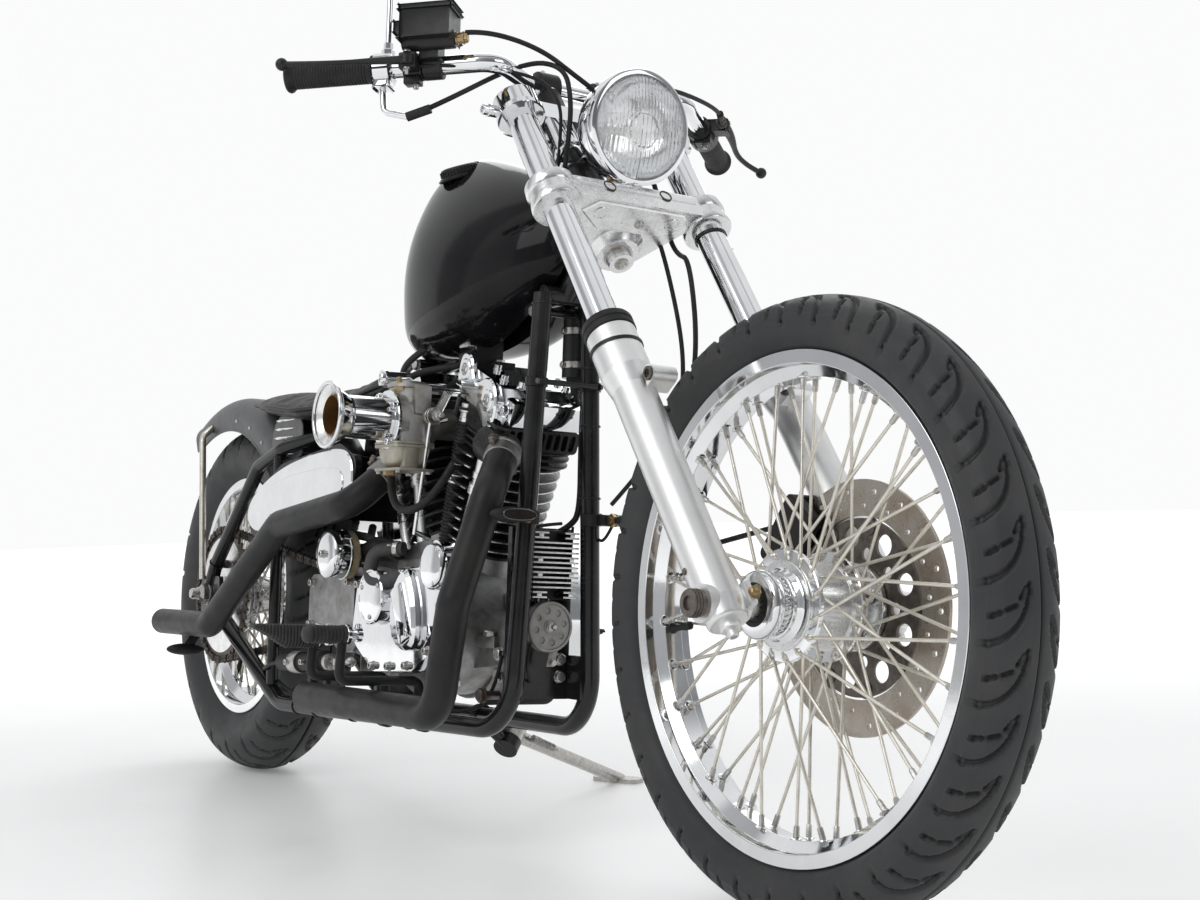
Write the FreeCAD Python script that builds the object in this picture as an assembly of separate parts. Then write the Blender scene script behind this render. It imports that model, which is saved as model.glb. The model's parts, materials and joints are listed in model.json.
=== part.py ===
import FreeCAD, Part
import os
from math import atan2, cos, pi, radians, sin, sqrt, tan

# A rigid-frame V-twin chopper motorcycle, in millimetres.
# It is modelled upright: +X to the front, +Y to the rider's left, +Z up, the rear axle above the
# origin and the road at z = 0. At the end it is leaned onto its side stand and moved so that the
# origin is the middle of the foot of its bounding box.

# Stance
wheelbase = 1560.0
lean_angle = 4.4
rake_angle = 36.7
steering_offset = 55.0
clearance = 0.3
running_clearance = 0.08
overrun = 5.0
half_share = 0.5

# Front wheel
front_tyre_radius = 347.0
front_tyre_width = 92.0
front_tyre_height = 63.5
front_rim_lip_height = 12.5
front_well_depth = 13.0
front_lip_radius = front_tyre_radius - front_tyre_height
front_bead_radius = front_lip_radius - front_rim_lip_height
front_well_radius = front_bead_radius - front_well_depth
front_rim_width = 66.0
front_spoke_count = 60
front_spoke_radius = 2.0
front_spoke_lace_angle = 36.0
front_hub_radius = 26.0
front_flange_radius = 50.0
front_flange_offset = 30.0
front_hub_right = 66.0
front_hub_left = 75.0
front_disc_radius = 146.0
front_disc_thickness = 5.0
front_axle_radius = 10.0

# Rear wheel
rear_tyre_radius = 318.0
rear_tyre_width = 130.0
rear_tyre_height = 102.0
rear_rim_lip_height = 12.0
rear_well_depth = 16.0
rear_lip_radius = rear_tyre_radius - rear_tyre_height
rear_bead_radius = rear_lip_radius - rear_rim_lip_height
rear_well_radius = rear_bead_radius - rear_well_depth
rear_rim_width = 96.0
rear_spoke_count = 60
rear_spoke_radius = 2.2
rear_spoke_lace_angle = 40.0
rear_hub_radius = 34.0
rear_flange_radius = 52.0
rear_flange_offset = 36.0
rear_hub_half = 74.0
rear_sprocket_radius = 106.0
rear_sprocket_thickness = 6.0
rear_disc_radius = 128.0
rear_disc_thickness = 5.0
rear_axle_radius = 10.0

# Wheel sections
tyre_shoulder_width_share = 0.80
tyre_shoulder_drop_share = 0.20
tyre_side_height_share = 0.46
rim_lip_thickness = 4.0
rim_wall = 3.5
rim_slope = 9.0
rim_well_width_share = 0.36
rim_corner = 1.2
flange_thickness = 13.0
spoke_stagger = 3.6
spoke_rim_offset = 9.0
spoke_rim_stagger = 3.2
disc_carrier_radius = 52.0
disc_hole_circle = 92.0
disc_hole_radius = 12.0
disc_hole_count = 9

# Fork
fork_spacing = 237.0
fork_tube_radius = 20.0
slider_radius = 26.0
slider_top_radius = 31.0
slider_top = 388.0
slider_swell = 300.0
slider_swell_end = 325.0
slider_foot = 26.0
slider_foot_radius = 23.0
slider_bore_floor = 240.0
seal_height = 20.0
seal_radius = 32.5
axle_boss_radius = 21.0
axle_boss_half = 28.0
slider_lug_height = 300.0
slider_lug_radius = 11.0
slider_lug_reach = 20.0
slider_lug_length = 34.0
slider_lug_bore = 5.0
lower_clamp_height = 614.0
lower_clamp_thickness = 36.0
lower_web_thickness = 15.0
lower_clamp_boss_radius = 31.0
clamp_front = 26.0
clamp_back = 28.0
stem_radius = 13.0
stem_nut_radius = 17.0
stem_nut_height = 16.0
stem_dome_radius = 29.0
stem_dome_height = 12.0
clamp_spread = 170.0
top_clamp_height = lower_clamp_height + clamp_spread
top_clamp_thickness = 30.0
top_clamp_boss_radius = 31.0
top_clamp_half_depth = 20.0
pinch_bolt_radius = 8.0
pinch_bolt_length = 14.0

# Steering head
neck_radius = 25.0
neck_bore = stem_radius + running_clearance
neck_cup_radius = 29.0
neck_cup_height = 16.0
neck_gap = 6.0

# Headlamp
lamp_radius = 73.0
lamp_rim_radius = 77.0
lamp_rim_depth = 16.0
lamp_depth = 88.0
lamp_back_radius = 24.0
lamp_out = 79.3
lamp_rise = 91.4
lamp_tilt = 6.0
lens_thickness = 5.0
lens_crown = 9.0
lamp_post_radius = 11.0

# Handlebar and controls
bar_radius = 12.7
bar_rise = 62.0
bar_centre_half = 62.0
bar_knee_out = 35.1
bar_knee_y = 152.0
bar_knee_rise = 32.9
bar_end_out = -131.6
bar_end_y = 359.0
bar_end_rise = 137.2
bar_bend = 70.0
riser_offset = 45.0
riser_radius = 17.0
riser_clamp_radius = 22.0
riser_clamp_length = 30.0
grip_radius = 17.0
grip_flange_radius = 21.0
grip_flange_width = 6.0
grip_length = 122.0
throttle_housing_radius = 22.0
throttle_housing_length = 24.0
lever_reach = 54.0
lever_length = 165.0
lever_radius = 6.5
lever_ball_radius = 9.0
lever_perch_length = 46.0
lever_perch_width = 26.0
lever_perch_height = 22.0
reservoir_length = 72.0
reservoir_width = 50.0
reservoir_height = 44.0
reservoir_rise = 34.0
reservoir_corner = 7.0
mirror_stem_radius = 4.5
mirror_rise = 165.0
mirror_out = 75.0
mirror_radius = 46.0
mirror_depth = 12.0
cable_radius = 3.2
cable_bend = 26.0
hose_out = 34.0
hose_side_share = 0.60
hose_fall_x = 1240.0
hose_fall_z = 650.0
hose_belly_x = 1122.0
hose_belly_z = 478.0
hose_foot_x = 1215.0
hose_foot_z = 372.0

# Front brake
caliper_width = 44.0
caliper_length = 92.0
caliper_height = 58.0
caliper_slot = 16.0
caliper_angle = 17.0
caliper_corner = 8.0
disc_room = 6.0

# Frame
frame_tube_radius = 13.5
stay_tube_radius = 12.0
downtube_x = 1030.0
downtube_half_top = 38.0
downtube_half_foot = 63.0
downtube_foot_bend = 78.0
rail_front_z = 162.0
rail_back_x = 330.0
rail_back_z = 146.0
rail_back_half = 100.0
axle_plate_half = 106.0
axle_plate_thickness = 8.0
axle_plate_length = 120.0
axle_plate_height = 66.0
stay_low_x = 20.0
stay_low_rise = 54.0
stay_low_z = rear_tyre_radius + stay_low_rise
stay_knee_x = 205.0
stay_knee_rise = 227.0
stay_knee_z = rear_tyre_radius + stay_knee_rise
stay_turn_x = 305.0
stay_turn_z = 572.0
stay_mid_x = 440.0
stay_mid_z = 598.0
stay_mid_half = 58.0
spine_joint_x = 620.0
spine_joint_z = 674.0
tank_rail_x = 860.0
tank_rail_z = 757.0
backbone_z = 850.0
cross_tube_radius = 10.0
seat_post_x = 292.0
seat_post_half = 105.0
front_plate_thickness = 10.0
front_plate_height = 236.0
front_lug_height = 60.0
front_lug_z = 232.0
engine_plate_reach = 197.0
rear_mount_reach = 228.0

# Engine
crank_x = 788.0
crank_z = 305.0
vee_half_angle = 22.5
case_radius = 112.0
case_half = 76.0
gearbox_back = 268.0
gearbox_rise = 13.0
gearbox_x = crank_x - gearbox_back
gearbox_z = crank_z + gearbox_rise
engine_plate_x = crank_x + engine_plate_reach
rear_mount_x = crank_x - rear_mount_reach
gearbox_radius = 78.0
cam_cover_depth = 26.0
cam_chest_depth = 16.0
barrel_deck = 6.0
barrel_height = 144.0
barrel_base = case_radius + barrel_deck
barrel_top = barrel_base + barrel_height
barrel_radius = 50.0
fin_count = 9
fin_thickness = 4.0
fin_radius_foot = 64.0
fin_radius_top = 80.0
barrel_gap = 1.5
head_height = 60.0
head_top = barrel_top + head_height
head_half = 78.0
head_corner = 16.0
head_width_share = 0.86
head_core_share = 0.82
head_fin_count = 4
head_groove = 6.0
rocker_height = 50.0
rocker_top = head_top + rocker_height
rocker_half_length = 82.0
rocker_half_width = 66.0
rocker_corner = 12.0
rocker_boss_radius = 15.0
rocker_boss_height = 5.0
rocker_boss_spread = 42.0
pushrod_radius = 9.0
pushrod_collar_radius = 12.5
pushrod_collar_height = 14.0
pushrod_side = 62.0
pushrod_room = 3.0
pushrod_foot_spread = 52.0
pushrod_foot_step = 23.0
pushrod_top_step = 40.0
tappet_rise = 75.0
tappet_z = crank_z + tappet_rise
manifold_radius = 23.0
carb_rise = 21.0
carb_z = crank_z + barrel_top + carb_rise
carb_inner = 88.0
carb_outer = 146.0
carb_body_radius = 36.0
bowl_radius = 28.0
bowl_depth = 62.0
stack_length = 98.0
stack_radius = 31.0
stack_mouth_radius = 47.0
stack_wall = 2.5
cover_plate_radius = 39.0
cover_plate_height = 12.0
primary_depth = 62.0
primary_front_radius = 100.0
primary_rear_radius = 118.0

# Exhaust
pipe_radius = 22.5
pipe_wall = 2.0
pipe_bend = 44.0
pipe_side = 160.0
port_radius = 19.0
front_pipe_end_x = 572.0
front_pipe_z = 182.0
rear_pipe_end_x = -62.0
rear_pipe_z = 268.0
rear_pipe_high_z = 454.0

# Tanks, seat and fender
tank_back_x = 614.0
tank_front_x = 1058.0
tank_half_width = 112.0
tank_floor_z = 694.0
tank_height = 302.0
tunnel_gap = 4.0
cap_radius = 31.0
cap_height = 15.0
cap_x = 780.0
cap_y = -38.0
cap_z = 964.0
cap_tilt = 20.0
oil_back_x = 205.0
oil_front_x = 642.0
oil_half = 126.0
oil_cheek = 11.0
oil_low_z = 418.0
oil_high_z = 566.0
seat_back_x = 112.0
seat_front_x = 606.0
seat_half = 122.0
seat_z = 612.0
seat_height = 84.0
seat_square_share = 1.2
fender_gap = 45.0
fender_skirt_depth = 61.0
fender_radius = rear_tyre_radius + fender_gap
fender_skirt_radius = fender_radius - fender_skirt_depth
fender_half = 90.0
fender_wall = 2.5
fender_front_angle = 44.0
fender_tail_angle = 117.0
fender_lip = 14.0
strut_radius = 6.0

# Details carried by the frame
breather_radius = 37.0
breather_length = 44.0
breather_x = 604.0
breather_z = 393.0
regulator_width = 74.0
regulator_height = 96.0
regulator_depth = 38.0
regulator_z = 386.0
regulator_fin_count = 7
horn_radius = 35.0
horn_depth = 40.0
horn_z = 302.0
horn_y = -6.0
coil_radius = 20.0
coil_length = 86.0
coil_x = 988.0
coil_y = 46.0
coil_z = 650.0
peg_x = 690.0
peg_z = 272.0
peg_inner = 200.0
peg_length = 100.0
peg_radius = 17.0
pad_x = 800.0
pad_z = 279.0
pad_inner = 205.0
pad_length = 64.0
pad_radius = 13.0
arm_radius = 7.0
arm_level = 214.0
arm_gap = 2.0
arm_bend = 14.0
signal_length = 70.0
signal_depth = 34.0
signal_height = 21.0
signal_front_z = 450.0
signal_front_x = 1076.0
signal_front_y = 98.0
signal_stalk_radius = 8.0
signal_rear_x = 34.0
signal_rear_z = 219.0
chain_radius = 8.0
chain_width = 12.0
chain_side = 82.0
drive_sprocket_radius = 38.0
chain_outer_large = rear_sprocket_radius + overrun + chain_radius * 2
chain_outer_small = drive_sprocket_radius + chain_radius * 2

# Side stand
stand_x = 735.0
stand_y = 112.0
stand_z = 128.0
foot_x = 602.0
foot_y = 404.0
stand_radius = 10.0
foot_length = 96.0
foot_width = 34.0
foot_thickness = 7.0
foot_settle = 0.22
stand_hub_radius = 19.0
stand_hub_height = 24.0
stand_bolt_radius = 7.0
bracket_radius = 9.0
bracket_gap = 1.0
stand_axis_shares = (-0.406, 0.609, 0.682)


# Vectors and places

def vec(x, y, z):
    return FreeCAD.Vector(x, y, z)


origin = vec(0, 0, 0)
along_x = vec(1, 0, 0)
along_y = vec(0, 1, 0)
along_z = vec(0, 0, 1)
rake = radians(rake_angle)
fork_up = vec(-sin(rake), 0, cos(rake))
fork_out = vec(cos(rake), 0, sin(rake))
front_centre = vec(wheelbase, 0, front_tyre_radius)
rear_centre = vec(0, 0, rear_tyre_radius)
half_fork = fork_spacing / 2
crank = vec(crank_x, 0, crank_z)


def fork_point(out, y, up):
    """A place in the fork's own frame: out from the legs' plane, across, and up from the axle."""
    return front_centre + fork_out * out + fork_up * up + vec(0, y, 0)


def mirrored(point):
    return vec(point.x, -point.y, point.z)


def mirror_y(shape):
    return shape.mirror(origin, along_y)


def both_sides(shape):
    return [shape, mirror_y(shape)]


# Shapes

def rod(start, end, radius):
    axis = end - start
    return Part.makeCylinder(radius, axis.Length, start, axis)


def sleeve(start, end, outer, inner):
    axis = (end - start).normalize()
    bore = rod(start - axis * overrun, end + axis * overrun, inner)
    return rod(start, end, outer).cut(bore)


def rounded_wire(corners, to_space):
    """A closed outline through (a, b, corner radius), each corner rounded by a tangent arc."""
    count = len(corners)
    flat = [FreeCAD.Vector(a, b, 0) for a, b, r in corners]
    spans = []
    for index in range(count):
        point = flat[index]
        radius = corners[index][2]
        if radius <= 0:
            spans.append((point, None, point))
            continue
        back = (flat[index - 1] - point).normalize()
        ahead = (flat[(index + 1) % count] - point).normalize()
        half = back.getAngle(ahead) / 2
        reach = radius / tan(half)
        middle = (back + ahead).normalize()
        centre = point + middle * (radius / sin(half))
        spans.append((point + back * reach, centre - middle * radius, point + ahead * reach))
    edges = []
    for index in range(count):
        start, middle, end = spans[index]
        if middle is not None:
            places = [to_space(p.x, p.y) for p in (start, middle, end)]
            edges.append(Part.Arc(places[0], places[1], places[2]).toShape())
        follow = spans[(index + 1) % count][0]
        if (follow - end).Length > running_clearance / 100:
            edges.append(Part.makeLine(to_space(end.x, end.y), to_space(follow.x, follow.y)))
    return Part.Wire(edges)


def rounded_face(corners, to_space):
    return Part.Face(rounded_wire(corners, to_space))


def side_plane(y):
    return lambda a, b: vec(a, y, b)


def turned(corners, centre, axis, across):
    """A solid of revolution: corners are (along the axis, radius, corner radius)."""
    face = rounded_face(corners, lambda a, b: centre + axis * a + across * b)
    return face.revolve(centre, axis, 360)


def route_wire(points, bend):
    """Straight runs joined by tangent arcs."""
    edges = []
    last = points[0]
    for index in range(1, len(points) - 1):
        point = points[index]
        back = (points[index - 1] - point).normalize()
        ahead = (points[index + 1] - point).normalize()
        half = back.getAngle(ahead) / 2
        reach = bend / tan(half)
        middle = (back + ahead).normalize()
        centre = point + middle * (bend / sin(half))
        start = point + back * reach
        end = point + ahead * reach
        edges.append(Part.makeLine(last, start))
        edges.append(Part.Arc(start, centre - middle * bend, end).toShape())
        last = end
    edges.append(Part.makeLine(last, points[-1]))
    return Part.Wire(edges)


def pipe(points, bend, radius):
    wire = route_wire(points, bend)
    direction = points[1] - points[0]
    ring = Part.Wire([Part.makeCircle(radius, points[0], direction)])
    return wire.makePipeShell([ring], True, True)


def box_at(centre, x_axis, y_axis, z_axis, size):
    """A box about a centre, with its edges along three axes."""
    start = centre - x_axis * (size[0] / 2) - y_axis * (size[1] / 2) - z_axis * (size[2] / 2)
    corners = [start, start + x_axis * size[0]]
    corners = corners + [corners[1] + y_axis * size[1], start + y_axis * size[1]]
    face = Part.Face(Part.makePolygon(corners + [start]))
    return face.extrude(z_axis * size[2])


def fuse(shapes):
    return shapes[0].multiFuse(shapes[1:]).removeSplitter()


def section_loop(centre, half_width, half_height, square_share):
    """A smooth closed section across the machine, from a soft circle to a soft square."""
    points = []
    for step in range(16):
        turn = 2 * pi * step / 16
        reach = 1 + (square_share - 1) * sin(2 * turn) ** 2
        points.append(centre + vec(0, half_width * cos(turn) * reach, half_height * sin(turn) * reach))
    curve = Part.BSplineCurve()
    curve.interpolate(Points=points, PeriodicFlag=True)
    return Part.Wire([curve.toShape()])


# Wheels

def tyre(centre, outer, width, lip, bead, rim_width):
    half = width / 2
    shoulder_y = half * tyre_shoulder_width_share
    shoulder_r = outer - (outer - lip) * tyre_shoulder_drop_share
    side_r = lip + (outer - lip) * tyre_side_height_share
    bead_y = rim_width / 2 - rim_lip_thickness - clearance
    bead_r = bead + clearance
    neck_r = lip + clearance

    def place(y, r):
        return centre + vec(0, y, r)

    crown = Part.Arc(place(-shoulder_y, shoulder_r), place(0, outer), place(shoulder_y, shoulder_r))
    left = Part.Arc(place(shoulder_y, shoulder_r), place(half, side_r), place(bead_y, neck_r))
    right = Part.Arc(place(-bead_y, neck_r), place(-half, side_r), place(-shoulder_y, shoulder_r))
    edges = [crown.toShape(), left.toShape()]
    edges.append(Part.makeLine(place(bead_y, neck_r), place(bead_y, bead_r)))
    edges.append(Part.makeLine(place(bead_y, bead_r), place(-bead_y, bead_r)))
    edges.append(Part.makeLine(place(-bead_y, bead_r), place(-bead_y, neck_r)))
    edges.append(right.toShape())
    return Part.Face(Part.Wire(edges)).revolve(centre, along_y, 360)


def rim(centre, lip, bead, width, well):
    half = width / 2
    well_half = half * rim_well_width_share
    seat_half = well_half + rim_slope
    inner = half - rim_lip_thickness
    outside = [(-half, lip, rim_corner), (-inner, lip, rim_corner), (-inner, bead, 0)]
    outside += [(-seat_half, bead, rim_corner), (-well_half, well, rim_corner)]
    outside += [(-a, b, r) for a, b, r in reversed(outside)]
    under = [(half, bead - rim_wall, rim_corner), (seat_half, bead - rim_wall, rim_corner)]
    under += [(well_half, well - rim_wall, rim_corner)]
    under += [(-a, b, r) for a, b, r in reversed(under)]
    return turned(outside + under, centre, along_y, along_z)


def spokes(centre, count, radius, lace, flange_r, flange_y, inner_r):
    """Laced spokes: on each flange, half lead and half trail, and those that cross keep apart."""
    solids = []
    per_family = count // 4
    for side in (-1, 1):
        for lead in (-1, 1):
            for index in range(per_family):
                share = index + (half_share if side > 0 else 0) + (half_share * lead) / 2
                start_turn = 2 * pi * share / per_family
                end_turn = start_turn + radians(lace) * lead
                hub_y = side * (flange_y + lead * spoke_stagger)
                rim_y = side * (spoke_rim_offset + lead * spoke_rim_stagger)
                start = centre + vec(flange_r * cos(start_turn), hub_y, flange_r * sin(start_turn))
                end = centre + vec(inner_r * cos(end_turn), rim_y, inner_r * sin(end_turn))
                run = end - start
                run.normalize()
                lift = abs(run.dot(vec(cos(start_turn), 0, sin(start_turn))))
                slip = sqrt(1 - lift * lift)
                tip = abs(run.dot(vec(cos(end_turn), 0, sin(end_turn))))
                tip_slip = sqrt(1 - tip * tip)
                start = start + run * ((clearance + radius * slip) / lift)
                end = end - run * ((clearance + radius * tip_slip) / tip)
                solids.append(rod(start, end, radius))
    return Part.makeCompound(solids)


def hub(centre, profile):
    return turned(profile, centre, along_y, along_z)


def front_hub():
    low = front_flange_offset - flange_thickness / 2
    high = front_flange_offset + flange_thickness / 2
    bore = front_axle_radius + running_clearance
    cap = front_hub_radius * 1.25
    outline = [(-front_hub_right, bore, 0), (-front_hub_right, front_hub_radius, rim_corner)]
    outline += [(-high - flange_thickness, cap, rim_corner), (-high, cap, 0)]
    outline += [(-high, front_flange_radius, rim_corner), (-low, front_flange_radius, rim_corner)]
    outline += [(-low, front_hub_radius, 0), (low, front_hub_radius, 0)]
    outline += [(low, front_flange_radius, rim_corner), (high, front_flange_radius, rim_corner)]
    outline += [(high, cap, 0), (front_hub_left - flange_thickness, cap, 0)]
    outline += [(front_hub_left - flange_thickness / 2, front_flange_radius, rim_corner)]
    outline += [(front_hub_left, front_flange_radius, rim_corner), (front_hub_left, bore, 0)]
    return hub(front_centre, outline)


def brake_disc(centre, side_y, thickness, outer, bore):
    """A drilled brake disc that bolts against the hub's face."""
    start = centre + vec(0, side_y, 0)
    end = start + vec(0, thickness, 0)
    disc = rod(start, end, outer).cut(rod(start - along_y * overrun, end + along_y * overrun, bore))
    holes = []
    for index in range(disc_hole_count):
        turn = 2 * pi * index / disc_hole_count
        place = start + vec(disc_hole_circle * cos(turn), 0, disc_hole_circle * sin(turn))
        holes.append(rod(place - along_y * overrun, place + along_y * (thickness + overrun),
                         disc_hole_radius))
    return disc.cut(Part.makeCompound(holes))


def front_disc():
    return brake_disc(front_centre, front_hub_left + clearance, front_disc_thickness,
                      front_disc_radius, front_axle_radius * 2)


def rear_hub():
    """The rear hub with its sprocket on the right and its brake disc on the left."""
    low = rear_flange_offset - flange_thickness / 2
    high = rear_flange_offset + flange_thickness / 2
    bore = rear_axle_radius + running_clearance
    body = [(-rear_hub_half, bore, 0), (-rear_hub_half, rear_flange_radius, rim_corner)]
    body += [(-high - flange_thickness, rear_flange_radius * half_share, 0), (-high, rear_hub_radius, 0)]
    body += [(-high, rear_flange_radius, rim_corner), (-low, rear_flange_radius, rim_corner)]
    body += [(-low, rear_hub_radius, 0)]
    body += [(-a, b, r) for a, b, r in reversed(body)]
    shell = hub(rear_centre, body)
    sprocket_y = -chain_side - rear_sprocket_thickness / 2
    sprocket = rod(rear_centre + vec(0, sprocket_y, 0),
                   rear_centre + vec(0, sprocket_y + rear_sprocket_thickness, 0), rear_sprocket_radius)
    carrier = rod(rear_centre + vec(0, sprocket_y, 0), rear_centre - along_y * (rear_hub_half - overrun),
                  rear_flange_radius)
    disc = brake_disc(rear_centre, rear_hub_half - overrun, rear_disc_thickness + overrun,
                      rear_flange_radius + overrun, bore)
    rotor = brake_disc(rear_centre, rear_hub_half, rear_disc_thickness, rear_disc_radius, bore)
    bore_cut = rod(rear_centre - along_y * axle_plate_half, rear_centre + along_y * axle_plate_half, bore)
    return fuse([shell, sprocket, carrier, rotor, disc]).cut(bore_cut)


# Fork

def fork_sliders():
    centre = fork_point(0, -half_fork, 0)
    bore = fork_tube_radius + clearance
    outline = [(-slider_foot, 0, 0), (-slider_foot, slider_foot_radius, overrun)]
    outline += [(0, slider_radius, overrun), (slider_swell, slider_radius, overrun)]
    outline += [(slider_swell_end, slider_top_radius, overrun), (slider_top, slider_top_radius, rim_corner)]
    outline += [(slider_top, bore, 0), (slider_bore_floor, bore, 0), (slider_bore_floor, 0, 0)]
    leg = turned(outline, centre, fork_up, fork_out)
    boss = rod(centre - along_y * axle_boss_half, centre + along_y * axle_boss_half, axle_boss_radius)
    lug_at = fork_point(slider_radius + slider_lug_reach - slider_lug_radius, -half_fork, slider_lug_height)
    lug = rod(lug_at, lug_at + along_y * slider_lug_length, slider_lug_radius)
    web = box_at(fork_point(slider_radius, -half_fork + slider_lug_length / 2, slider_lug_height),
                 fork_out, along_y, fork_up,
                 (slider_lug_reach, slider_lug_length, slider_lug_radius * 2))
    lug_bore = rod(lug_at - along_y * overrun, lug_at + along_y * (slider_lug_length + overrun),
                   slider_lug_bore)
    tube_bore = rod(fork_point(0, -half_fork, slider_bore_floor),
                    fork_point(0, -half_fork, slider_top + overrun), bore)
    axle_bore = rod(centre - along_y * (axle_boss_half + overrun),
                    centre + along_y * (axle_boss_half + overrun),
                    front_axle_radius + clearance)
    leg = fuse([leg, boss, lug, web]).cut(Part.makeCompound([tube_bore])).cut(lug_bore).cut(axle_bore)
    return Part.makeCompound(both_sides(leg))


def fork_tubes():
    """The two straight stanchions, from inside the sliders to the top of the top clamp."""
    low = fork_point(0, -half_fork, slider_bore_floor + clearance)
    top = fork_point(0, -half_fork, top_clamp_height + top_clamp_thickness + clearance)
    return Part.makeCompound(both_sides(rod(low, top, fork_tube_radius)))


def fork_seals():
    low = fork_point(0, -half_fork, slider_top + clearance)
    high = fork_point(0, -half_fork, slider_top + clearance + seal_height)
    ring = sleeve(low, high, seal_radius, fork_tube_radius + clearance)
    return Part.makeCompound(both_sides(ring))


def clamp_plate(outline, low, thickness):
    """A clamp's plan outline, in (out, across), raised along the fork."""
    face = rounded_face(outline, lambda a, b: fork_point(a, b, low))
    return face.extrude(fork_up * thickness)


def lower_clamp():
    """The lower clamp: a deep front bar, a thinner web to the stem, its dome, nut and stem."""
    low = lower_clamp_height
    top = low + lower_clamp_thickness
    bar = clamp_plate([(clamp_front, -half_fork, 0), (clamp_front, half_fork, 0),
                       (-overrun, half_fork, 0), (-overrun, -half_fork, 0)], low, lower_clamp_thickness)
    web_back = -steering_offset - clamp_back
    web = clamp_plate([(0, -half_fork * 0.78, 0), (web_back, -stem_dome_radius * 1.1, stem_dome_radius / 2),
                       (web_back, stem_dome_radius * 1.1, stem_dome_radius / 2), (0, half_fork * 0.78, 0)],
                      low, lower_web_thickness)
    bosses = [rod(fork_point(0, side * half_fork, low), fork_point(0, side * half_fork, top),
                  lower_clamp_boss_radius) for side in (-1, 1)]
    dome = rod(fork_point(-steering_offset, 0, low - stem_dome_height),
               fork_point(-steering_offset, 0, low + overrun), stem_dome_radius)
    nut = rod(fork_point(-steering_offset, 0, low - stem_dome_height - stem_nut_height),
              fork_point(-steering_offset, 0, low), stem_nut_radius)
    stem = rod(fork_point(-steering_offset, 0, low),
               fork_point(-steering_offset, 0, top_clamp_height - clearance),
               stem_radius)
    solid = fuse([bar, web, dome, nut, stem] + bosses)
    for side in (-1, 1):
        solid = solid.cut(rod(fork_point(0, side * half_fork, low - overrun),
                              fork_point(0, side * half_fork, top + overrun), fork_tube_radius + clearance))
    return solid


def top_clamp():
    low = top_clamp_height
    depth = top_clamp_half_depth
    back = -steering_offset - clamp_back
    plate = clamp_plate([(depth * half_share, -half_fork, 0), (depth * half_share, half_fork, 0),
                         (-depth, half_fork, 0), (back, riser_radius, depth), (back, -riser_radius, depth),
                         (-depth, -half_fork, 0)], low, top_clamp_thickness)
    parts = [plate]
    for side in (-1, 1):
        leg = fork_point(0, side * half_fork, low)
        parts.append(rod(leg, leg + fork_up * top_clamp_thickness, top_clamp_boss_radius))
        bolt = fork_point(-depth * half_share, side * (half_fork + top_clamp_boss_radius - overrun),
                          low + top_clamp_thickness / 2)
        parts.append(rod(bolt - along_y * (side * overrun), bolt + along_y * (side * pinch_bolt_length),
                         pinch_bolt_radius))
        bush = fork_point(-steering_offset / 4, side * riser_offset, low - riser_clamp_length)
        parts.append(rod(bush, bush + fork_up * (riser_clamp_length + overrun), riser_radius))
    solid = fuse(parts)
    for side in (-1, 1):
        leg = fork_point(0, side * half_fork, low)
        solid = solid.cut(rod(leg - fork_up * overrun, leg + fork_up * (top_clamp_thickness + overrun),
                              fork_tube_radius + clearance))
    return solid


def bar_centre():
    rise = top_clamp_height + top_clamp_thickness + bar_rise
    return fork_point(-steering_offset / 4, 0, rise)


def bar_knee():
    """The bend on the right where the bar turns back to the rider."""
    return fork_point(bar_knee_out, -bar_knee_y, top_clamp_height + top_clamp_thickness + bar_knee_rise)


def bar_end():
    """The right end of the bar."""
    return fork_point(bar_end_out, -bar_end_y, top_clamp_height + top_clamp_thickness + bar_end_rise)


def bar_route():
    middle = bar_centre()
    right = [bar_end(), bar_knee()]
    right.append(vec(middle.x, -bar_centre_half, middle.z))
    left = [mirrored(p) for p in reversed(right)]
    return right + left


def handlebar():
    """The bar and its two risers, which stand on the top clamp."""
    bar = pipe(bar_route(), bar_bend * half_share, bar_radius)
    parts = [bar]
    top = top_clamp_height + top_clamp_thickness
    for side in (-1, 1):
        foot = fork_point(-steering_offset / 4, side * riser_offset, top + clearance)
        head = bar_centre() + vec(0, side * riser_offset, 0)
        parts.append(rod(foot, head, riser_radius))
        clamp = head - along_y * (riser_clamp_length / 2)
        parts.append(rod(clamp, clamp + along_y * riser_clamp_length, riser_clamp_radius))
    return fuse(parts)


def grip_axis():
    """The right grip's outer end and its inward direction."""
    end = bar_end()
    knee = bar_knee()
    return end, (knee - end).normalize()


def grips():
    end, inward = grip_axis()
    start = end - inward * overrun
    body = rod(start, start + inward * grip_length, grip_radius)
    flange = rod(start, start + inward * grip_flange_width, grip_flange_radius)
    inner = start + inward * (grip_length - grip_flange_width)
    collar = rod(inner, inner + inward * grip_flange_width, grip_flange_radius)
    bore = rod(end, end + inward * (grip_length + overrun), bar_radius + clearance)
    grip = fuse([body, flange, collar]).cut(bore)
    return Part.makeCompound(both_sides(grip))


def lever():
    """The right lever with its perch, which clamps the bar inboard of the grip."""
    perch, inward, ahead = perch_point()
    pivot = perch + ahead * (lever_reach * 0.66)
    tip = pivot - inward * lever_length + ahead * (lever_reach * 0.40)
    blade = rod(pivot, tip, lever_radius)
    ball = Part.makeSphere(lever_ball_radius, tip)
    clamp = sleeve(perch - inward * (lever_perch_width / 2), perch + inward * (lever_perch_width / 2),
                   bar_radius + overrun, bar_radius + clearance)
    arm = box_at(perch + ahead * (lever_reach * 0.36 + bar_radius / 2), ahead, inward, along_z,
                 (lever_perch_length, lever_perch_width, lever_perch_height * half_share))
    arm = arm.cut(rod(perch - inward * lever_perch_length, perch + inward * lever_perch_length,
                      bar_radius + clearance))
    return fuse([clamp, arm, blade, ball])


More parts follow.
